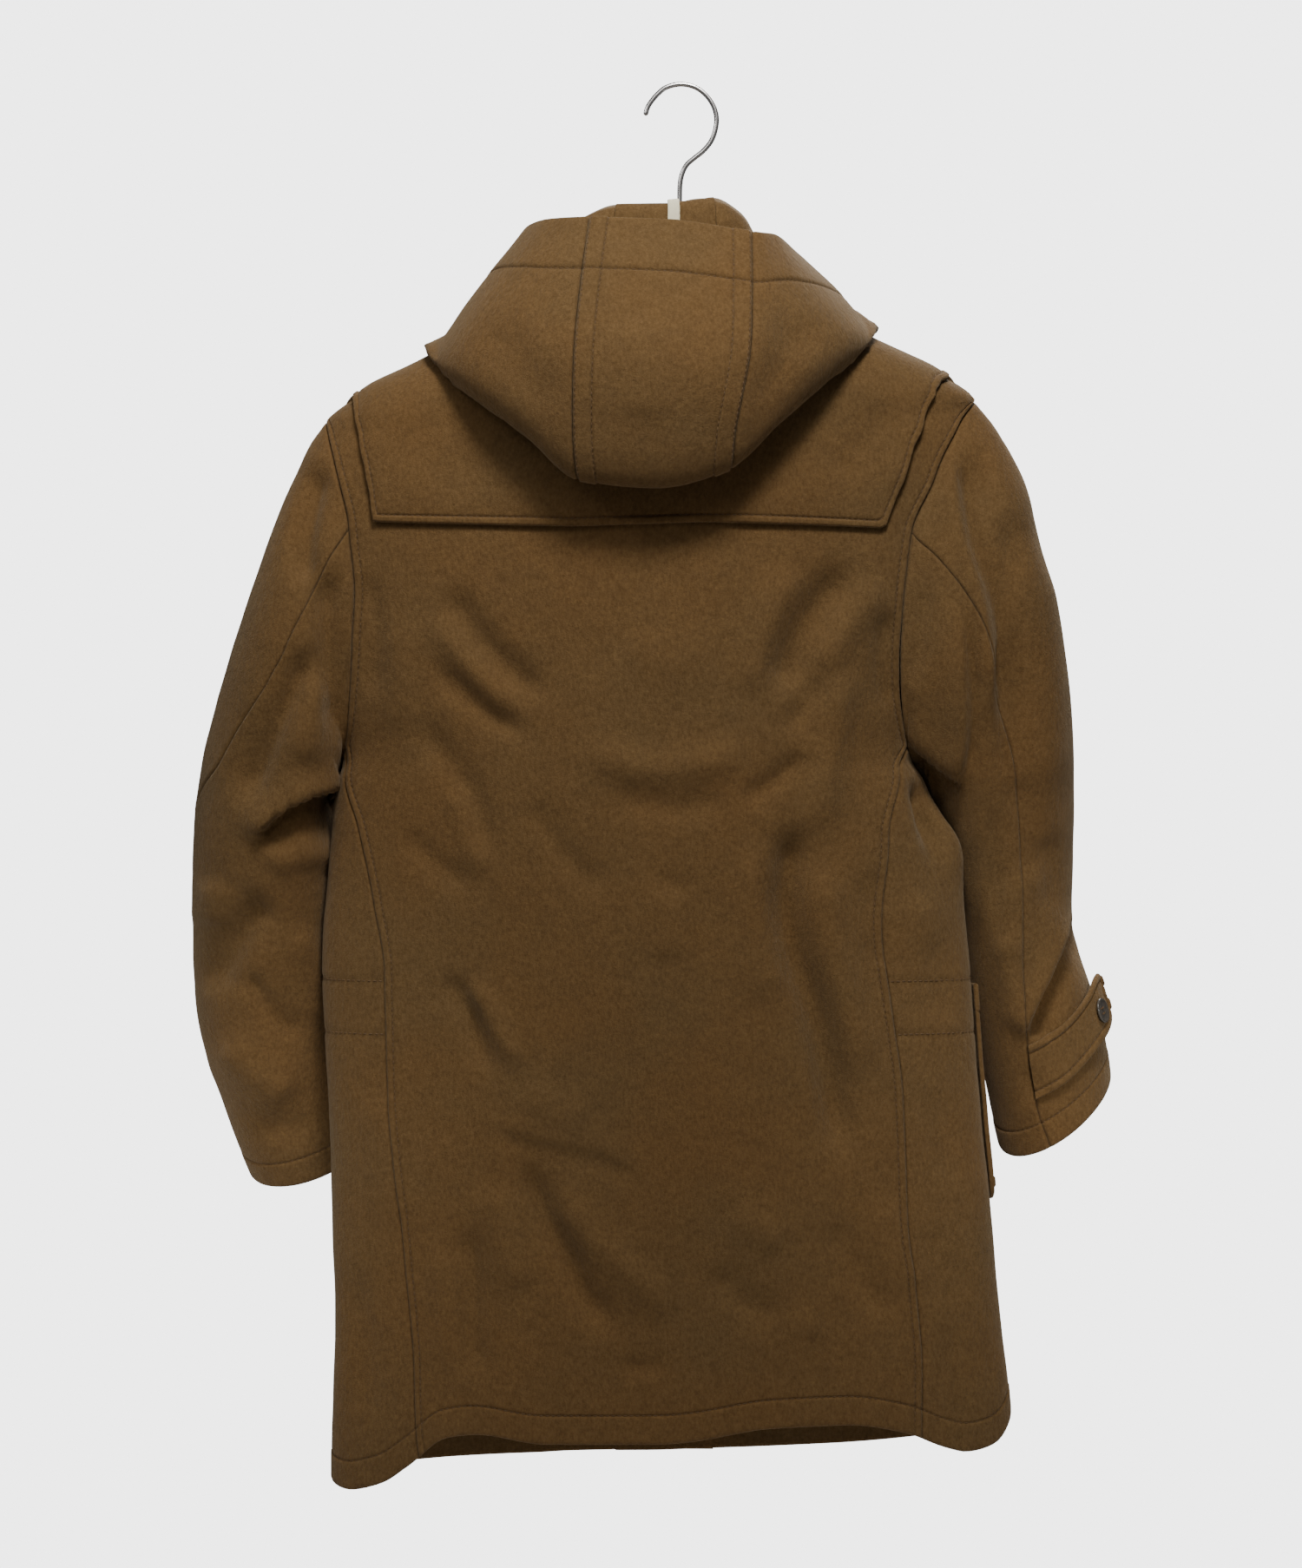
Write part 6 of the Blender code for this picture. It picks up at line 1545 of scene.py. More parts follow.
def woven(name, rgb, pitch):
    """A narrow woven tape: ribs across and along."""
    m, tree, s = new_material(name, rgb, 0.8, Sheen_Weight=0.15)
    co = tree.nodes.new("ShaderNodeTexCoord").outputs["Object"]
    w1 = tree.nodes.new("ShaderNodeTexWave")
    w1.bands_direction = "Z"
    w1.inputs["Scale"].default_value = 1 / pitch
    w1.inputs["Distortion"].default_value = 0.6
    tree.links.new(co, w1.inputs["Vector"])
    w2 = tree.nodes.new("ShaderNodeTexWave")
    w2.bands_direction = "X"
    w2.inputs["Scale"].default_value = 1 / pitch
    tree.links.new(co, w2.inputs["Vector"])
    tree.links.new(ramp(tree, w1.outputs["Fac"], [(0.1, tuple(c * 0.86 for c in rgb)), (0.8, rgb)]), s.inputs["Base Color"])
    n1 = bump(tree, None, w1.outputs["Fac"], 0.0002, 0.6)
    tree.links.new(bump(tree, n1, w2.outputs["Fac"], 0.0001, 0.5), s.inputs["Normal"])
    return m


MELTON = melton()
THREAD = simple("seam_thread", (0.088, 0.046, 0.014), 0.7, 1500, 0.2, 0.1)
TAPE = woven("cream_tape_weave", (0.86, 0.80, 0.58), 0.0011)
HORN = horn()
CORD_M = simple("closure_cord_twist", (0.050, 0.031, 0.017), 0.8, 1400, 0.3, 0.15)
LEATHER_M = simple("closure_patch_leather", (0.040, 0.022, 0.013), 0.5, 800, 0.25, 0.15)
BUTTON_M = simple("button_resin", (0.055, 0.047, 0.038), 0.32, 260, 0.35, 0.03, Coat_Weight=0.25)
HANGER_M = simple("hanger_matt_plastic", (0.022, 0.022, 0.024), 0.5, 900, 0.1, 0.05)
CHROME = simple("hook_polished_chrome", (0.60, 0.59, 0.59), 0.27, 60, 0.05, 0.003, Metallic=1.0)


# ---------------------------------------------------------------- body
def body_place(g):
    return ring(g[..., 0], g[..., 1])


def body_way(g):
    return body_normal(g[..., 0], g[..., 1])


def body_folds(g, part="back"):
    p, n = body_place(g), body_way(g)
    u, v = drawn(p[..., 0], p[..., 1], p[..., 2])
    h = fold_height(part, u, v) * smooth((n[..., 1] + 0.05) / 0.4)
    if part == "back":
        h += fold_height("front", p[..., 0], -p[..., 2]) * smooth((-n[..., 1] - 0.05) / 0.4)
    return h + wander(p[..., 0], p[..., 1], p[..., 2])


def bars(p, n):
    """The two rows of stitches that go across the side panels at the height of the pockets: their grooves, and painted
    shade in them.
    """
    z = p[..., 2]
    r, t = 0.0 * z, 0.0 * z
    for v in (1126, 1186):
        d = z - float(z_of(v))
        r += groove(d, 0.0, 1.0, 1.8)
        # painted shade in each row's groove
        t += -0.16 * np.exp(-((d / 1.6) ** 2))
    return r, t


def across(c, z):
    """Points of a panel's outer face and directions along a level line."""
    pts, nrm = [], []
    for j in range(2, c.outer.shape[1] - 2):
        zc = c.p[:, j, 2]
        i = int(np.searchsorted(zc, z))
        if 0 < i < len(zc):
            t = (z - zc[i - 1]) / (zc[i] - zc[i - 1])
            pts.append(c.outer[i - 1, j] * (1 - t) + c.outer[i, j] * t)
            nrm.append(c.n[i, j])
    return np.array(pts), np.array(nrm)


rows_of_thread = {"thread_body": [], "thread_sleeves": [], "thread_hood": [], "thread_trim": []}
CELL = 4.2
cloths = {}
for name, g in make_body().items():
    if name == "back":
        g = respace(g, body_place, STITCHED, STITCHED, CELL, 1)
        g = respace(g, body_place, HEMMED, SEAMED, CELL, 0)
        edges = {"left": "stitched", "right": "stitched", "bottom": "hemmed"}
    elif name.startswith("side"):
        g = respace(g, body_place, SEAMED, SEAMED, CELL, 1)
        g = respace(g, body_place, HEMMED, SEAMED, 3.4, 0)
        edges = {"left": "seamed", "right": "seamed", "bottom": "hemmed", "top": "seamed"}
    else:
        g = respace(g, body_place, STITCHED, STITCHED, CELL, 1)
        g = respace(g, body_place, HEMMED, SEAMED, CELL, 0)
        edges = {"left": "stitched", "right": "rolled", "bottom": "hemmed"}
    h = body_folds(g) + lap_of(name, g)
    c = Cloth(name + "_cloth", g, body_place, body_way, edges, h)
    if name.startswith("side"):
        # the bars' grooves, and the painted shade in them
        r, t = bars(c.p, c.n)
        c.extra = c.extra + r
        c.tone = c.tone + t
        c.finish()
    cloths[name] = c
    c.sheet(c.build([name]), ["hanger"])
    thread = rows_of_thread["thread_body"]
    if name.startswith("side"):
        for v in (1126, 1186):
            thread.append(stitch_row(*across(c, float(z_of(v))), r=0.45))
    if name != "back" and not name.startswith("side"):
        thread.append(stitch_row(*c.line("right", 6.1)))
    if not name.startswith("side"):
        thread.append(stitch_row(*c.line("left", 6.1, 0.03, 0.93)))
    if name == "back":
        thread.append(stitch_row(*c.line("right", 6.1, 0.03, 0.93)))
    thread.append(stitch_row(*c.line("bottom", 21.3, 0.01, 0.99)))

# ---------------------------------------------------------------- sleeves, cuff tabs and their buttons
CUFFED = [0, 0.35, 0.9, 1.8, 3.2, 6.0, 10.0, 14.0, 17.0, 18.6, 19.4, 20.0, 20.6, 21.2, 22.0, 23.6, 26.0]
for side, rows, table in (("left", SLEEVE_L, ARMHOLE_L), ("right", SLEEVE_R, ARMHOLE_R)):
    def place(g, rows=rows, table=table):
        return sleeve_middle(rows, table, g[..., 0], g[..., 1])

    def way(g, rows=rows, table=table):
        return sleeve_normal(rows, table, g[..., 0], g[..., 1])

    for part, g in zip(("upper", "under"), sleeve_grids(rows, table)):
        g = respace(g, place, SEAMED, SEAMED, CELL, 1)
        g = respace(g, place, SEAMED, CUFFED, CELL, 0)
        p, n = place(g), way(g)
        h = sleeve_folds(side, p, n) * smooth((g[..., 0] - 0.0) / 0.5) + wander(p[..., 0] + 90, p[..., 1], p[..., 2])
        c = Cloth(f"sleeve_{side}_{part}_cloth", g, place, way, {"left": "seamed", "right": "seamed", "bottom": "seamed", "top": "free"}, h)
        d = c.d["top"]
        c.extra = c.extra + swell(d, 1.5, 19.2, 0.45, 2.2) + groove(d, 20.0, 0.8, 0.8)
        # painted shade in the groove of the cuff's stitched line
        c.tone = c.tone - 0.10 * np.exp(-(((d - 20.0) / 0.7) ** 2))
        c.finish()
        cloths[f"sleeve_{side}_{part}"] = c
        c.sheet(c.build([f"sleeve_{side}_{part}"]), ["hanger"])
        rows_of_thread["thread_sleeves"].append(stitch_row(*c.line("top", 20.0, 0.01, 0.99)))

    # the tab: its grid runs from the back seam to the rounded tip
    deg = [r[0] for r in TAB]
    ring_s = np.linspace(0.03, CUFF, 120)
    ring_phi = drawn_seam_phi(rows, table, ring_s)
    wide = np.concatenate([np.linspace(1, 82, 44), np.linspace(83, 97, 26)])
    tops, lows = curve(deg, [r[1] for r in TAB], wide), curve(deg, [r[2] for r in TAB], wide)
    g = np.stack([np.stack([np.linspace(a, b, 24), np.interp(np.linspace(a, b, 24), ring_s, ring_phi) - w * RAD], -1)
                  for w, a, b in zip(wide, lows, tops)], 1)
    g = respace(g, place, SEAMED, STITCHED, 3.0, 1)
    g = respace(g, place, STITCHED, STITCHED, 2.6, 0)
    p, n = place(g), way(g)
    under = sleeve_folds(side, p, n) * 0.8 + wander(p[..., 0] + 90, p[..., 1], p[..., 2])
    # past the middle it stands a little away from the sleeve
    under = under + 6.5 * smooth(((np.interp(g[..., 0], ring_s, ring_phi) - g[..., 1]) / RAD - 42) / 55)
    c = Cloth(f"cuff_tab_{side}_cloth", g, place, way, {"left": "", "right": "rolled", "bottom": "rolled", "top": "rolled"},
              under, lift=CLOTH / 2 + 1.9, thick=2.6)
    cloths[f"cuff_tab_{side}"] = c
    c.sheet(c.build([f"cuff_tab_{side}"]), [f"sleeve_{side}_upper"])
    for e in ("bottom", "top"):
        rows_of_thread["thread_trim"].append(stitch_row(*c.line(e, 6.1, 0.06, 0.93), pitch=3.8, length=2.7))
    rows_of_thread["thread_trim"].append(stitch_row(*c.line("right", 6.1, 0.2, 0.8), pitch=3.8, length=2.7))

    # four-hole button, dished, with a raised rim and thread through its holes
    s0 = 13.36
    phi0 = float(np.interp(s0, ring_s, ring_phi)) - 78.0 * RAD
    k = np.unravel_index(np.argmin((c.g[..., 0] - s0) ** 2 * 900 + (c.g[..., 1] - phi0) ** 2 * 3000), c.g.shape[:2])
    cen, nb, tb, bb, br, bt = button(rows, table, s0, phi0, 0.0)
    cen = c.outer[k] + nb * 0.25
    prof = [(0.0, 0.0), (6.5, 0.0), (8.6, 0.05), (9.4, 0.5), (9.6, 1.1), (9.45, 1.65), (9.0, 2.05), (8.4, 2.15), (7.8, 1.95),
            (7.2, 1.55), (6.4, 1.25), (5.0, 1.12), (0.0, 1.1)]
    nseg = 64
    verts, faces = [np.zeros(3)], []
    for pr, ph in prof[1:-1]:
        for j in range(nseg):
            w = 2 * math.pi * j / nseg
            verts.append(np.array([pr * math.cos(w), pr * math.sin(w), ph]))
    verts.append(np.array([0, 0, prof[-1][1]]))
    last, m_ = len(verts) - 1, len(prof) - 2
    for j in range(nseg):
        j2 = (j + 1) % nseg
        faces.append((0, 1 + j2, 1 + j))
        for i in range(m_ - 1):
            faces.append((1 + i * nseg + j, 1 + i * nseg + j2, 1 + (i + 1) * nseg + j2, 1 + (i + 1) * nseg + j))
        faces.append((last, 1 + (m_ - 1) * nseg + j, 1 + (m_ - 1) * nseg + j2))
    me = bpy.data.meshes.new("blank")
    me.from_pydata([tuple(v) for v in verts], [], faces)
    blank = bpy.data.objects.new("blank", me)
    bpy.context.scene.collection.objects.link(blank)
    drills = []
    for hx, hy in ((2.1, 2.1), (-2.1, 2.1), (2.1, -2.1), (-2.1, -2.1)):
        ring_ = [(hx + 1.05 * math.cos(2 * math.pi * j / 20), hy + 1.05 * math.sin(2 * math.pi * j / 20)) for j in range(20)]
        dv = [(x, y, -1.0) for x, y in ring_] + [(x, y, 3.0) for x, y in ring_]
        df = [tuple(range(20))[::-1], tuple(range(20, 40))] + [(j, (j + 1) % 20, 20 + (j + 1) % 20, 20 + j) for j in range(20)]
        dm = bpy.data.meshes.new("drill")
        dm.from_pydata(dv, [], df)
        do = bpy.data.objects.new("drill", dm)
        bpy.context.scene.collection.objects.link(do)
        mod = blank.modifiers.new("hole", "BOOLEAN")
        mod.object, mod.operation, mod.solver = do, "DIFFERENCE", "EXACT"
        drills.append(do)
    dg = bpy.context.evaluated_depsgraph_get()
    cutmesh = bpy.data.meshes.new_from_object(blank.evaluated_get(dg))
    bv = np.array([v.co[:] for v in cutmesh.vertices])
    bf = [tuple(f.vertices) for f in cutmesh.polygons]
    for o in [blank] + drills:
        bpy.data.objects.remove(o, do_unlink=True)
    basis = np.stack([tb, bb, nb])
    if np.dot(np.cross(tb, bb), nb) < 0:
        basis[1] = -basis[1]
    b_ob = piece(f"cuff_button_{side}_resin", bv @ basis + cen, bf, BUTTON_M, nodes=[f"cuff_button_{side}"], slot="button", flat=True)
    for f in b_ob.data.polygons:
        f.use_smooth = abs(f.normal @ Vector(nb)) < 0.98 or len(f.vertices) == 4
    # thread: two strands across, out of one hole and into the other
    for sx in (-1, 1):
        for off in (-0.32, 0.32):
            path = [cen + tb * (sx * 2.1 + off) + bb * y * 2.1 + nb * zz for y, zz in
                    ((-1.0, -0.2), (-0.95, 1.2), (-0.5, 1.75), (0.5, 1.75), (0.95, 1.2), (1.0, -0.2))]
            rows_of_thread["thread_trim"].append(tube(spline(path, 4), 0.30, 8))

# ---------------------------------------------------------------- hood
def hood_place(g):
    return hood_middle(g[..., 0], g[..., 1])


def hood_way(g):
    w, t = g[..., 0], g[..., 1]
    e = 0.004
    dw = hood_middle(np.clip(w + e, -1, 1), t) - hood_middle(np.clip(w - e, -1, 1), t)
    dt = hood_middle(w, np.clip(t + e, 0, 1)) - hood_middle(w, np.clip(t - e, 0, 1))
    n = np.cross(dt, dw)
    return n / np.maximum(np.linalg.norm(n, axis=-1, keepdims=True), 1e-9)


FELL = [0, 0.5, 1.2, 2.2, 4.0, 7.0, 10.0, 12.0, 12.8, 13.4, 13.9, 14.4, 15.0, 16.0, 18.0]   # a felled seam: stitched at 13.9
BAND = [0, 0.35, 0.9, 1.8, 3.2, 7.0, 12.0, 18.0, 26.0, 34.0, 41.0, 43.6, 44.4, 45.0, 45.6, 46.4, 49.0]
for name, w0, w1 in (("hood_centre", -HOOD_SEAM + 0.0008, HOOD_SEAM - 0.0008), ("hood_left", HOOD_SEAM + 0.0008, 1.0),
                     ("hood_right", -1.0, -HOOD_SEAM - 0.0008)):
    w, t = np.linspace(w0, w1, 70 if name != "hood_centre" else 36), np.linspace(0, 1, 130)
    g = np.stack(np.broadcast_arrays(w[None, :], t[:, None]), -1)
    left = FELL if name == "hood_centre" else (SEAMED if name == "hood_left" else FREE)
    right = FELL if name == "hood_centre" else (FREE if name == "hood_left" else SEAMED)
    g = respace(g, hood_place, left, right, 3.6, 1)
    g = respace(g, hood_place, SEAMED, BAND, 3.6, 0)
    p, n = hood_place(g), hood_way(g)
    u, v = drawn(p[..., 0], p[..., 1], p[..., 2])
    h = fold_height("hood", u, v) * smooth((n[..., 1] - 0.1) / 0.4) * smooth((g[..., 1] - 0.6) / 0.1) + 0.6 * wander(p[..., 0], p[..., 1], p[..., 2])
    edges = {"left": "seamed" if name != "hood_right" else "free", "right": "seamed" if name != "hood_left" else "free", "top": "free"}
    if name == "hood_centre":
        edges = {"left": "", "right": "", "top": "free"}
    c = Cloth(name + "_cloth", g, hood_place, hood_way, edges, h)
    d = c.d["top"]
    c.extra = c.extra + groove(d, 45.0, 1.0, 0.9) + swell(d, 2.0, 43.8, 0.35, 3.0)
    # painted shade in the groove of the band's stitched line
    c.tone = c.tone - 0.20 * np.exp(-(((d - 45.0) / 0.8) ** 2))
    if name == "hood_centre":
        for e in ("left", "right"):
            d = c.d[e]
            c.extra = c.extra + groove(d, 0.0, 1.0, 1.0) + swell(d, 0.8, 13.2, 1.0, 1.8) + groove(d, 13.9, 0.7, 0.8)
            # painted shade in the felled seam's ditch and in its stitched line
            c.tone = c.tone - 0.20 * np.exp(-((d / 0.9) ** 2)) - 0.10 * np.exp(-(((d - 13.9) / 0.7) ** 2))
    c.finish()
    cloths[name] = c
    c.sheet(c.build([name]), ["yoke"])
    rows_of_thread["thread_hood"].append(stitch_row(*c.line("top", 45.0, 0.01, 0.99)))
    if name == "hood_centre":
        for e in ("left", "right"):
            rows_of_thread["thread_hood"].append(stitch_row(*c.line(e, 1.7)))
            rows_of_thread["thread_hood"].append(stitch_row(*c.line(e, 13.9)))

# the cream tape over the hood's roll
w, t = np.linspace(-0.062, -0.012, 8), np.linspace(0.05, 0.30, 60)
g = np.stack(np.broadcast_arrays(w[None, :], t[:, None]), -1)
c = Cloth("neck_tape_weave", g, hood_place, hood_way, {"left": "free", "right": "free"}, None, lift=-CLOTH / 2 - 1.45, thick=1.0)
c.sheet(c.build(["neck_tape"], "cream_tape", TAPE), ["hood_centre"])

# ---------------------------------------------------------------- yoke and pockets
g = yoke_grid()
g = respace(g, body_place, STITCHED, STITCHED, 4.0, 1)
g = respace(g, body_place, STITCHED, FREE, 3.8, 0)
lap = 1.45 * lap_at(ring(g[..., 0], g[..., 1])[..., 0]) * (g[..., 0] > np.pi / 2)
h = 0.75 * body_folds(g) + body_folds(g, "yoke") * 0.8 + lap
c = Cloth("yoke_cloth", g, body_place, body_way, {"left": "rolled", "right": "rolled", "bottom": "rolled"}, h, lift=YOKE_LIFT + 0.6)
# stitched down all round, so the edge lies on the cloth below
c.h = c.h - 1.5 * np.exp(-((np.minimum(np.minimum(c.d["left"], c.d["right"]), c.d["bottom"]) / 12.0) ** 2))
c.finish()
cloths["yoke"] = c
c.sheet(c.build(["yoke"]), ["back", "front_left", "front_right"])
rows_of_thread["thread_trim"].append(stitch_row(*c.line("bottom", 6.1, 0.02, 0.98)))

for side, sign in (("left", 1), ("right", -1)):
    g = pocket_grid(sign)
    g = respace(g, body_place, STITCHED, STITCHED, 4.0, 1)
    g = respace(g, body_place, STITCHED, HEMMED, 4.0, 0)
    h = body_folds(g)
    c = Cloth(f"pocket_{side}_cloth", g, body_place, body_way, {"left": "rolled", "right": "rolled", "bottom": "rolled", "top": "hemmed"}, h, lift=POCKET_LIFT + 0.6)
    cloths[f"pocket_{side}"] = c
    c.sheet(c.build([f"pocket_{side}"]), [f"front_{side}"])
    for e in ("left", "right", "bottom"):
        rows_of_thread["thread_trim"].append(stitch_row(*c.line(e, 6.1, 0.03, 0.97)))
    rows_of_thread["thread_trim"].append(stitch_row(*c.line("top", 21.3, 0.03, 0.97)))

for name, rows in rows_of_thread.items():
    stitches(name, rows)

# ---------------------------------------------------------------- closures
FACE_X, FACE_Z = np.arange(-140.0, 96.0, 2.0), np.arange(-730.0, -290.0, 2.0)
_x, _z = np.meshgrid(FACE_X, FACE_Z, indexing="ij")
_a = np.pi - angle_of(_x, _z)
_lap = np.where(_x > FRONT_EDGE_L - 0.5, lap_at(_x), 0.0)
FACE_Y = ring(_a, _z)[..., 1] - _lap - CLOTH / 2 - body_folds(np.stack([_a, _z], -1))


def front_face(x, z):
    """Depth of the front's finished outer face at (x, z), folds and overlap included."""
    fx, fz = (x - FACE_X[0]) / 2.0, (z - FACE_Z[0]) / 2.0
    i, j = int(fx), int(fz)
    fx, fz = fx - i, fz - j
    q = FACE_Y[i:i + 2, j:j + 2]
    return float((q[0, 0] * (1 - fx) + q[1, 0] * fx) * (1 - fz) + (q[0, 1] * (1 - fx) + q[1, 1] * fx) * fz)


def plied(points, r, steps_per_turn=9.0, sides=12, closed=False):
    """A cord of two plies laid round each other."""
    pts = np.asarray(points, float)
    run = np.concatenate([[0], np.cumsum(np.linalg.norm(np.diff(pts, axis=0), axis=1))])
    n = max(int(run[-1] / 0.7), 8)
    s = np.linspace(0, run[-1], n)
    pts = np.stack([np.interp(s, run, pts[:, i]) for i in range(3)], -1)
    tan = np.gradient(pts, axis=0)
    tan /= np.linalg.norm(tan, axis=1, keepdims=True)
    ref = np.array([0.0, 1.0, 0.0]) if abs(tan[0][1]) < 0.9 else np.array([1.0, 0.0, 0.0])
    a = np.cross(tan[0], ref)
    verts = []
    for i in range(n):
        a = a - tan[i] * (a @ tan[i])
        a /= np.linalg.norm(a)
        b = np.cross(tan[i], a)
        for j in range(sides):
            w = 2 * math.pi * j / sides
            k = r * (0.86 + 0.14 * abs(math.cos(w - s[i] / 5.2 * math.pi)) ** 0.8)
            verts.append(pts[i] + k * (a * math.cos(w) + b * math.sin(w)))
    faces = [(i * sides + j, i * sides + (j + 1) % sides, (i + 1) * sides + (j + 1) % sides, (i + 1) * sides + j)
             for i in range(n - 1) for j in range(sides)]
    faces += [tuple(range(sides))[::-1], tuple((n - 1) * sides + j for j in range(sides))]
    return np.array(verts), faces


def patch_piece(name, cx, cz, point, node):
    """A leather shield with rounded edges, moulded to the front, and its row of stitches."""
    w, h = PATCH_W / 2, PATCH_H / 2
    outline = []
    n = 72
    for a in np.linspace(0, 2 * np.pi, n, endpoint=False):
        r = 1.0 / (abs(math.cos(a)) ** 3.2 + abs(math.sin(a)) ** 3.2) ** (1 / 3.2)
        x, z = w * r * math.cos(a), h * r * math.sin(a)
        if x * point > 0:
            z *= 1 - 0.45 * abs(x) / w
        outline.append((x, z))
    base = 0.6
    levels = [(1.0, base), (1.0, base + 0.7), (0.985, base + 1.25), (0.955, base + PATCH_T), (0.90, base + PATCH_T), (0.855, base + PATCH_T - 0.1),
              (0.835, base + PATCH_T - 0.35), (0.815, base + PATCH_T - 0.1), (0.76, base + PATCH_T + 0.1), (0.5, base + PATCH_T + 0.2), (0.25, base + PATCH_T + 0.2)]
    verts, faces = [], []
    for k, off in levels:
        for x, z in outline:
            xx, zz = cx + x * k, cz + z * k
            verts.append((xx, front_face(xx, zz) - off, zz))
    for i in range(len(levels) - 1):
        for j in range(n):
            faces.append((i * n + j, i * n + (j + 1) % n, (i + 1) * n + (j + 1) % n, (i + 1) * n + j))
    top = len(verts)
    verts.append((cx, front_face(cx, cz) - levels[-1][1], cz))
    low = len(verts)
    verts.append((cx, front_face(cx, cz) - base, cz))
    m = (len(levels) - 1) * n
    faces += [(m + j, m + (j + 1) % n, top) for j in range(n)] + [((j + 1) % n, j, low) for j in range(n)]
    piece(name, verts, faces, LEATHER_M, nodes=[node], slot="closure_patch")
    line = np.array([(cx + x * 0.835, front_face(cx + x * 0.835, cz + z * 0.835) - base - PATCH_T + 0.45, cz + z * 0.835) for x, z in outline + outline[:1]])
    return stitch_row(line, np.tile([0.0, -1.0, 0.0], (len(line), 1)), 3.2, 2.3, 0.3)


patch_rows = []
for i, z in enumerate(CLOSURES, 1):
    # loop on the left front: out of the patch, round the toggle's waist
    end, start, half = TOGGLE_X - 10.0, PATCH_LOOP_X - PATCH_W / 2 + 5.0, 7.4
    pts = [(start, z + 4.0), ((start + end) / 2, z + half)]
    pts += [(end + half - half * math.sin(t), z + half * math.cos(t)) for t in np.linspace(0, np.pi, 9)]
    pts += [((start + end) / 2, z - half), (start, z - 4.0)]
    out = []
    for x, zz in spline([(x, zz, 0) for x, zz in pts], 6)[:, :2]:
        a = CORD + 0.45
        edge = front_face(FRONT_EDGE_L + 1, zz) - a
        y = front_face(x, zz) - a if x > FRONT_EDGE_L + 6 else min(front_face(x, zz) - a, edge)
        lift = (2 * CORD + 1.4) * float(smooth((FRONT_EDGE_L + 8 - x) / 10)) * 0.6
        sink = 1.2 * float(smooth((x - (PATCH_LOOP_X - PATCH_W / 2)) / 4))
        out.append((x, y - lift + sink, zz))
    piece(f"loop_cord_{i}_twist", *plied(out, CORD), CORD_M, nodes=[f"loop_cord_{i}"], slot="closure_cord")
    # the toggle's own cord, from the patch on the right front
    start, half = PATCH_TOGGLE_X + PATCH_W / 2 - 5.0, 2.2
    pts = []
    rise = toggle_y(z) + 3.0
    for s in (1, -1):
        strand = [(start, front_face(start, z) - CORD + 0.6, z + s * 4.0),
                  (PATCH_TOGGLE_X + PATCH_W / 2 + 2, front_face(PATCH_TOGGLE_X + PATCH_W / 2 + 2, z) - CORD - 0.7, z + s * 4.0),
                  (-70.0, front_face(-70.0, z) - CORD - 0.5, z + s * 3.2),
                  (TOGGLE_X - 16, front_face(TOGGLE_X - 16, z) - CORD - 0.7, z + s * half),
                  (TOGGLE_X - 4, front_face(TOGGLE_X - 4, z) - CORD - 2.7, z + s * half), (TOGGLE_X, rise, z + s * half)]
        pts += strand if s > 0 else strand[::-1]
    piece(f"toggle_cord_{i}_twist", *plied(spline(pts, 6), CORD * 0.85), CORD_M, nodes=[f"toggle_cord_{i}"], slot="closure_cord")
    # the toggle: a turned bar, grooved at the waist where the cord goes in
    t = np.concatenate([np.linspace(-1, -0.86, 10), np.linspace(-0.84, -0.12, 26), np.linspace(-0.11, 0.11, 13), np.linspace(0.12, 0.84, 26), np.linspace(0.86, 1, 10)])
    pts = [(TOGGLE_X + 1.2 * x, toggle_y(z) - 0.8 * (1 - x * x), z + 25.0 * x) for x in t]
    r = [6.2 * (1 - 0.25 * x * x) * math.sqrt(max(1 - abs(x) ** 9, 0.02)) - 0.75 * math.exp(-((x / 0.045) ** 2)) for x in t]
    piece(f"toggle_{i}_horn", *tube(pts, r, 28), HORN, nodes=[f"toggle_{i}"], slot="toggle_horn")
    patch_rows.append(patch_piece(f"loop_patch_{i}_leather", PATCH_LOOP_X, z, -1, f"loop_patch_{i}"))
    patch_rows.append(patch_piece(f"toggle_patch_{i}_leather", PATCH_TOGGLE_X, z, 1, f"toggle_patch_{i}"))
stitches("thread_patches", patch_rows)

# ---------------------------------------------------------------- hanger and hook
ax = [r[0] for r in ARM]
xs = np.linspace(-205, 205, 110)
tops, highs, wides = (curve(ax, [r[k] for r in ARM], xs) for k in (1, 2, 3))
ends = np.sqrt(np.maximum(1 - np.clip((np.abs(xs) - 197) / 8.4, 0, 1) ** 2, 0.03))
n = 28
verts = []
for x, z, h, w, e in zip(xs, tops, highs, wides, ends):
    for j in range(n):
        a = 2 * math.pi * j / n
        ca, sa = math.cos(a), math.sin(a)
        verts.append((x, 0.5 * w * e * np.sign(ca) * abs(ca) ** 0.7, z - h / 2 + 0.5 * h * e * np.sign(sa) * abs(sa) ** 0.7))
faces = [(i * n + j, i * n + (j + 1) % n, (i + 1) * n + (j + 1) % n, (i + 1) * n + j) for i in range(len(xs) - 1) for j in range(n)]
faces += [tuple(range(n))[::-1], tuple((len(xs) - 1) * n + j for j in range(n))]
piece("hanger_moulded", verts, faces, HANGER_M, nodes=["hanger"], slot="hanger_plastic")

pts = [at(u, v, 0.0) for u, v in HOOK]
path = spline([(x, 0.0, z) for x, _, z in pts], 14)
path = path[path[:, 2] > -126.0]
path = np.concatenate([path, [[path[-1][0], 0.0, -128.4]]])
radius = np.full(len(path), WIRE)
radius[:5] = WIRE * np.array([0.35, 0.72, 0.9, 0.97, 1.0])
piece("hook_wire", *tube(path, radius, 28), CHROME, nodes=["hook"], slot="hook_chrome")

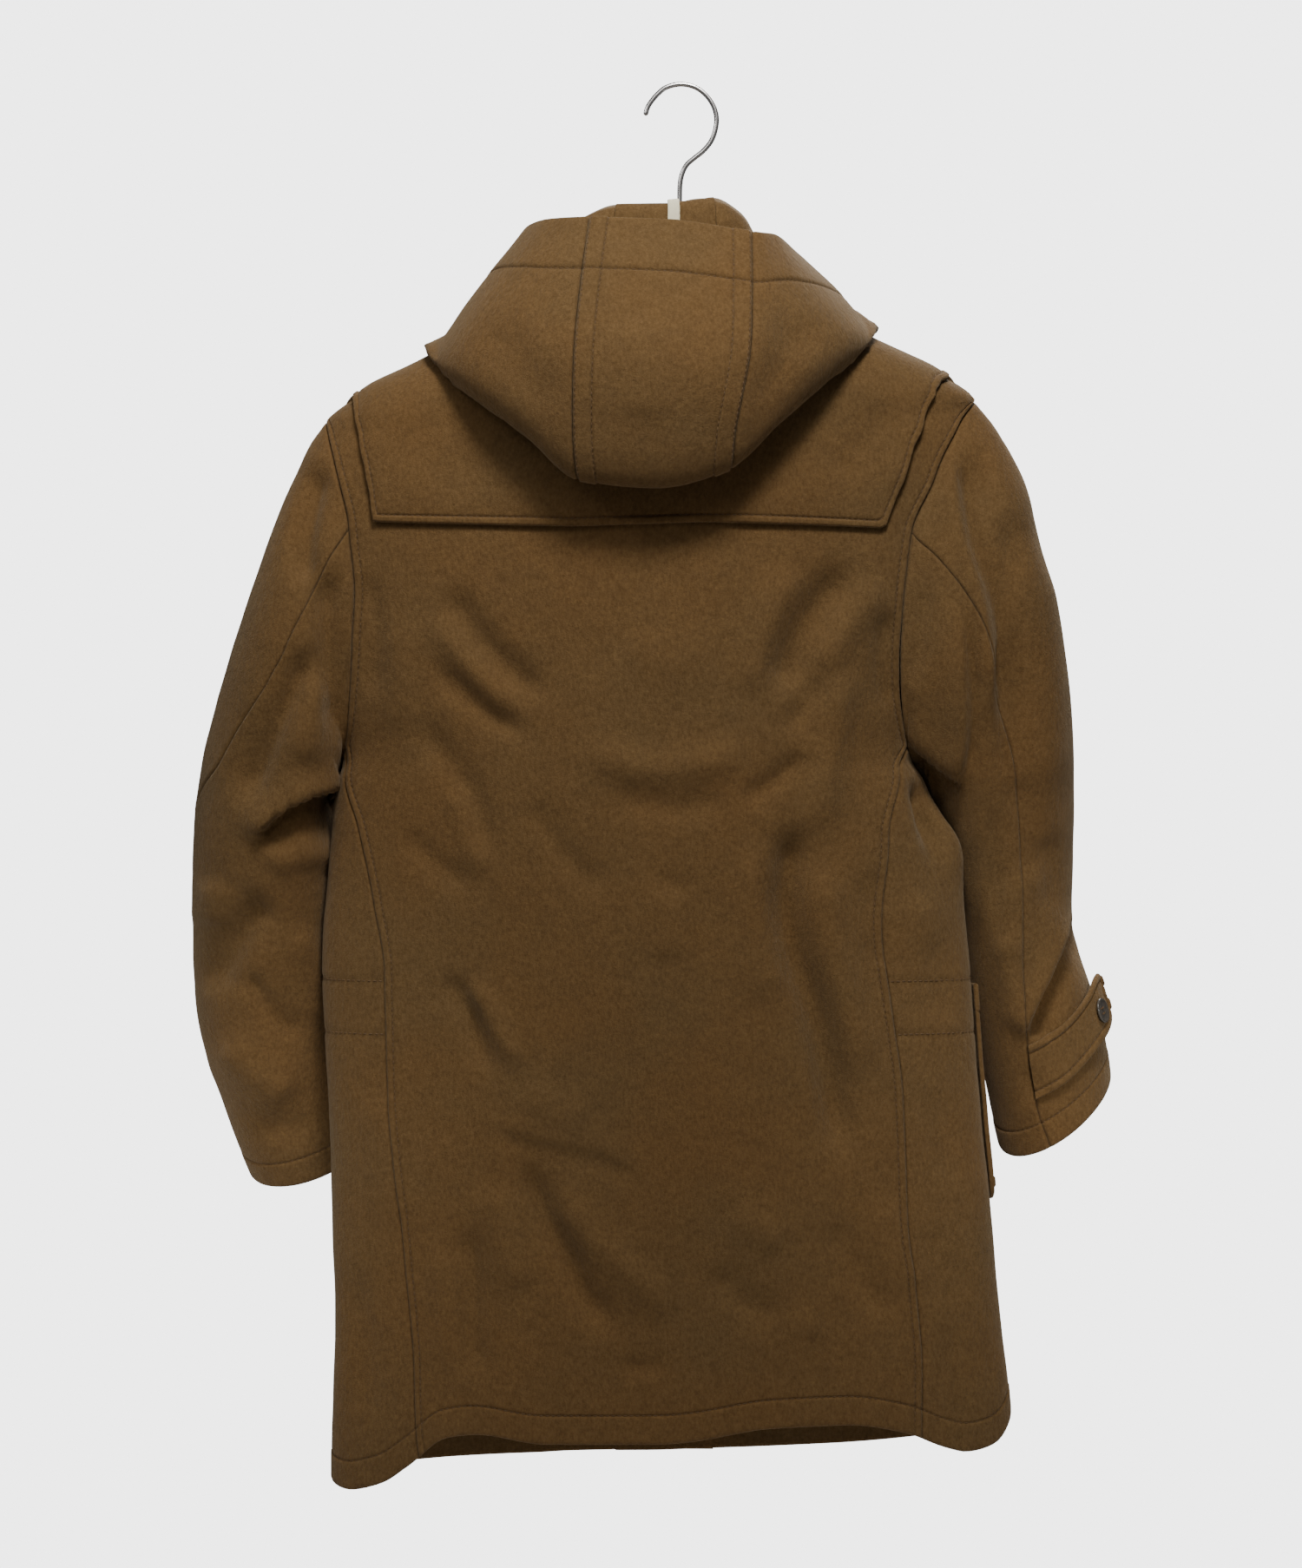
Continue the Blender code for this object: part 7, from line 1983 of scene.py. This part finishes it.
# ---------------------------------------------------------------- floor, light, camera
floor_z = -1.62
me = bpy.data.meshes.new("floor")
me.from_pydata([(-1.9, -1.9, floor_z), (1.9, -1.9, floor_z), (1.9, 1.9, floor_z), (-1.9, 1.9, floor_z)], [], [(0, 1, 2, 3)])
fm, tree, s = new_material("floor_pale", (0.93, 0.93, 0.93), 0.9)
me.materials.append(fm)
floor = bpy.data.objects.new("floor", me)
bpy.context.scene.collection.objects.link(floor)
floor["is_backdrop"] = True

world = bpy.data.worlds.new("studio")
world.use_nodes = True
tree = world.node_tree
soft = tree.nodes["Background"]
soft.inputs["Color"].default_value = (1.0, 0.98, 0.95, 1)
soft.inputs["Strength"].default_value = 0.11
pale = tree.nodes.new("ShaderNodeBackground")
pale.inputs["Color"].default_value = (1.0, 1.0, 1.0, 1)
pale.inputs["Strength"].default_value = 4.0
path_ = tree.nodes.new("ShaderNodeLightPath")
both_ = tree.nodes.new("ShaderNodeMixShader")
tree.links.new(path_.outputs["Is Camera Ray"], both_.inputs[0])
tree.links.new(soft.outputs[0], both_.inputs[1])
tree.links.new(pale.outputs[0], both_.inputs[2])
tree.links.new(both_.outputs[0], tree.nodes["World Output"].inputs["Surface"])
bpy.context.scene.world = world


def area_light(name, loc, target, size, power, color=(1, 1, 1)):
    l = bpy.data.lights.new(name, "AREA")
    l.shape, l.size, l.size_y = "RECTANGLE", size[0], size[1]
    l.energy, l.color = power, color
    o = bpy.data.objects.new(name, l)
    o.location = loc
    d = Vector(target) - Vector(loc)
    o.rotation_euler = d.to_track_quat("-Z", "Y").to_euler()
    bpy.context.scene.collection.objects.link(o)


def spot_light(name, loc, target, degrees, power, color=(1, 1, 1)):
    l = bpy.data.lights.new(name, "SPOT")
    l.spot_size, l.spot_blend, l.shadow_soft_size = math.radians(degrees), 1.0, 0.18
    l.energy, l.color = power, color
    o = bpy.data.objects.new(name, l)
    o.location = loc
    o.rotation_euler = (Vector(target) - Vector(loc)).to_track_quat("-Z", "Y").to_euler()
    bpy.context.scene.collection.objects.link(o)


area_light("back_fill", (0.0, 1.45, 0.80), (0.02, 0.05, -0.16), (0.9, 0.6), 5.5, (1.0, 0.98, 0.95))
area_light("key", (-0.12, 0.99, 0.87), (0.00, 0.05, -0.46), (0.42, 0.30), 29, (1.0, 0.97, 0.93))
area_light("side_left", (0.95, 0.75, 0.45), (0.26, 0.0, -0.30), (0.4, 0.3), 3.6, (1.0, 0.98, 0.95))
spot_light("cuff_left", (0.70, 1.60, -0.35), (0.41, 0.0, -0.82), 18, 90, (1.0, 0.98, 0.95))
spot_light("cuff_right", (-0.66, 1.60, -0.35), (-0.37, 0.0, -0.76), 18, 85, (1.0, 0.98, 0.95))
area_light("front_key", (-0.5, -1.25, 0.85), (0.02, 0.0, -0.50), (1.2, 0.7), 42, (1.0, 0.98, 0.95))

cam = bpy.data.cameras.new("camera")
cam.sensor_fit, cam.sensor_height = "VERTICAL", 36.0
cam.lens = 36.0 * (VIEW - BACK) / (1806 * GRID)
cam.clip_end = 100
co = bpy.data.objects.new("camera", cam)
co.location = (X0 / 1000, VIEW / 1000, Z0 / 1000)
co.rotation_euler = Vector((0, -1, 0)).to_track_quat("-Z", "Y").to_euler()
bpy.context.scene.collection.objects.link(co)
bpy.context.scene.camera = co

for c_ in CUTS:
    print("cut %-28s %6.0f x %6.0f mm, %.4f m2" % c_)


def plain(b):
    return [[float(x) for x in p] for p in b]


{"cad": plain(cad_box), "visual": plain(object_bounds())}
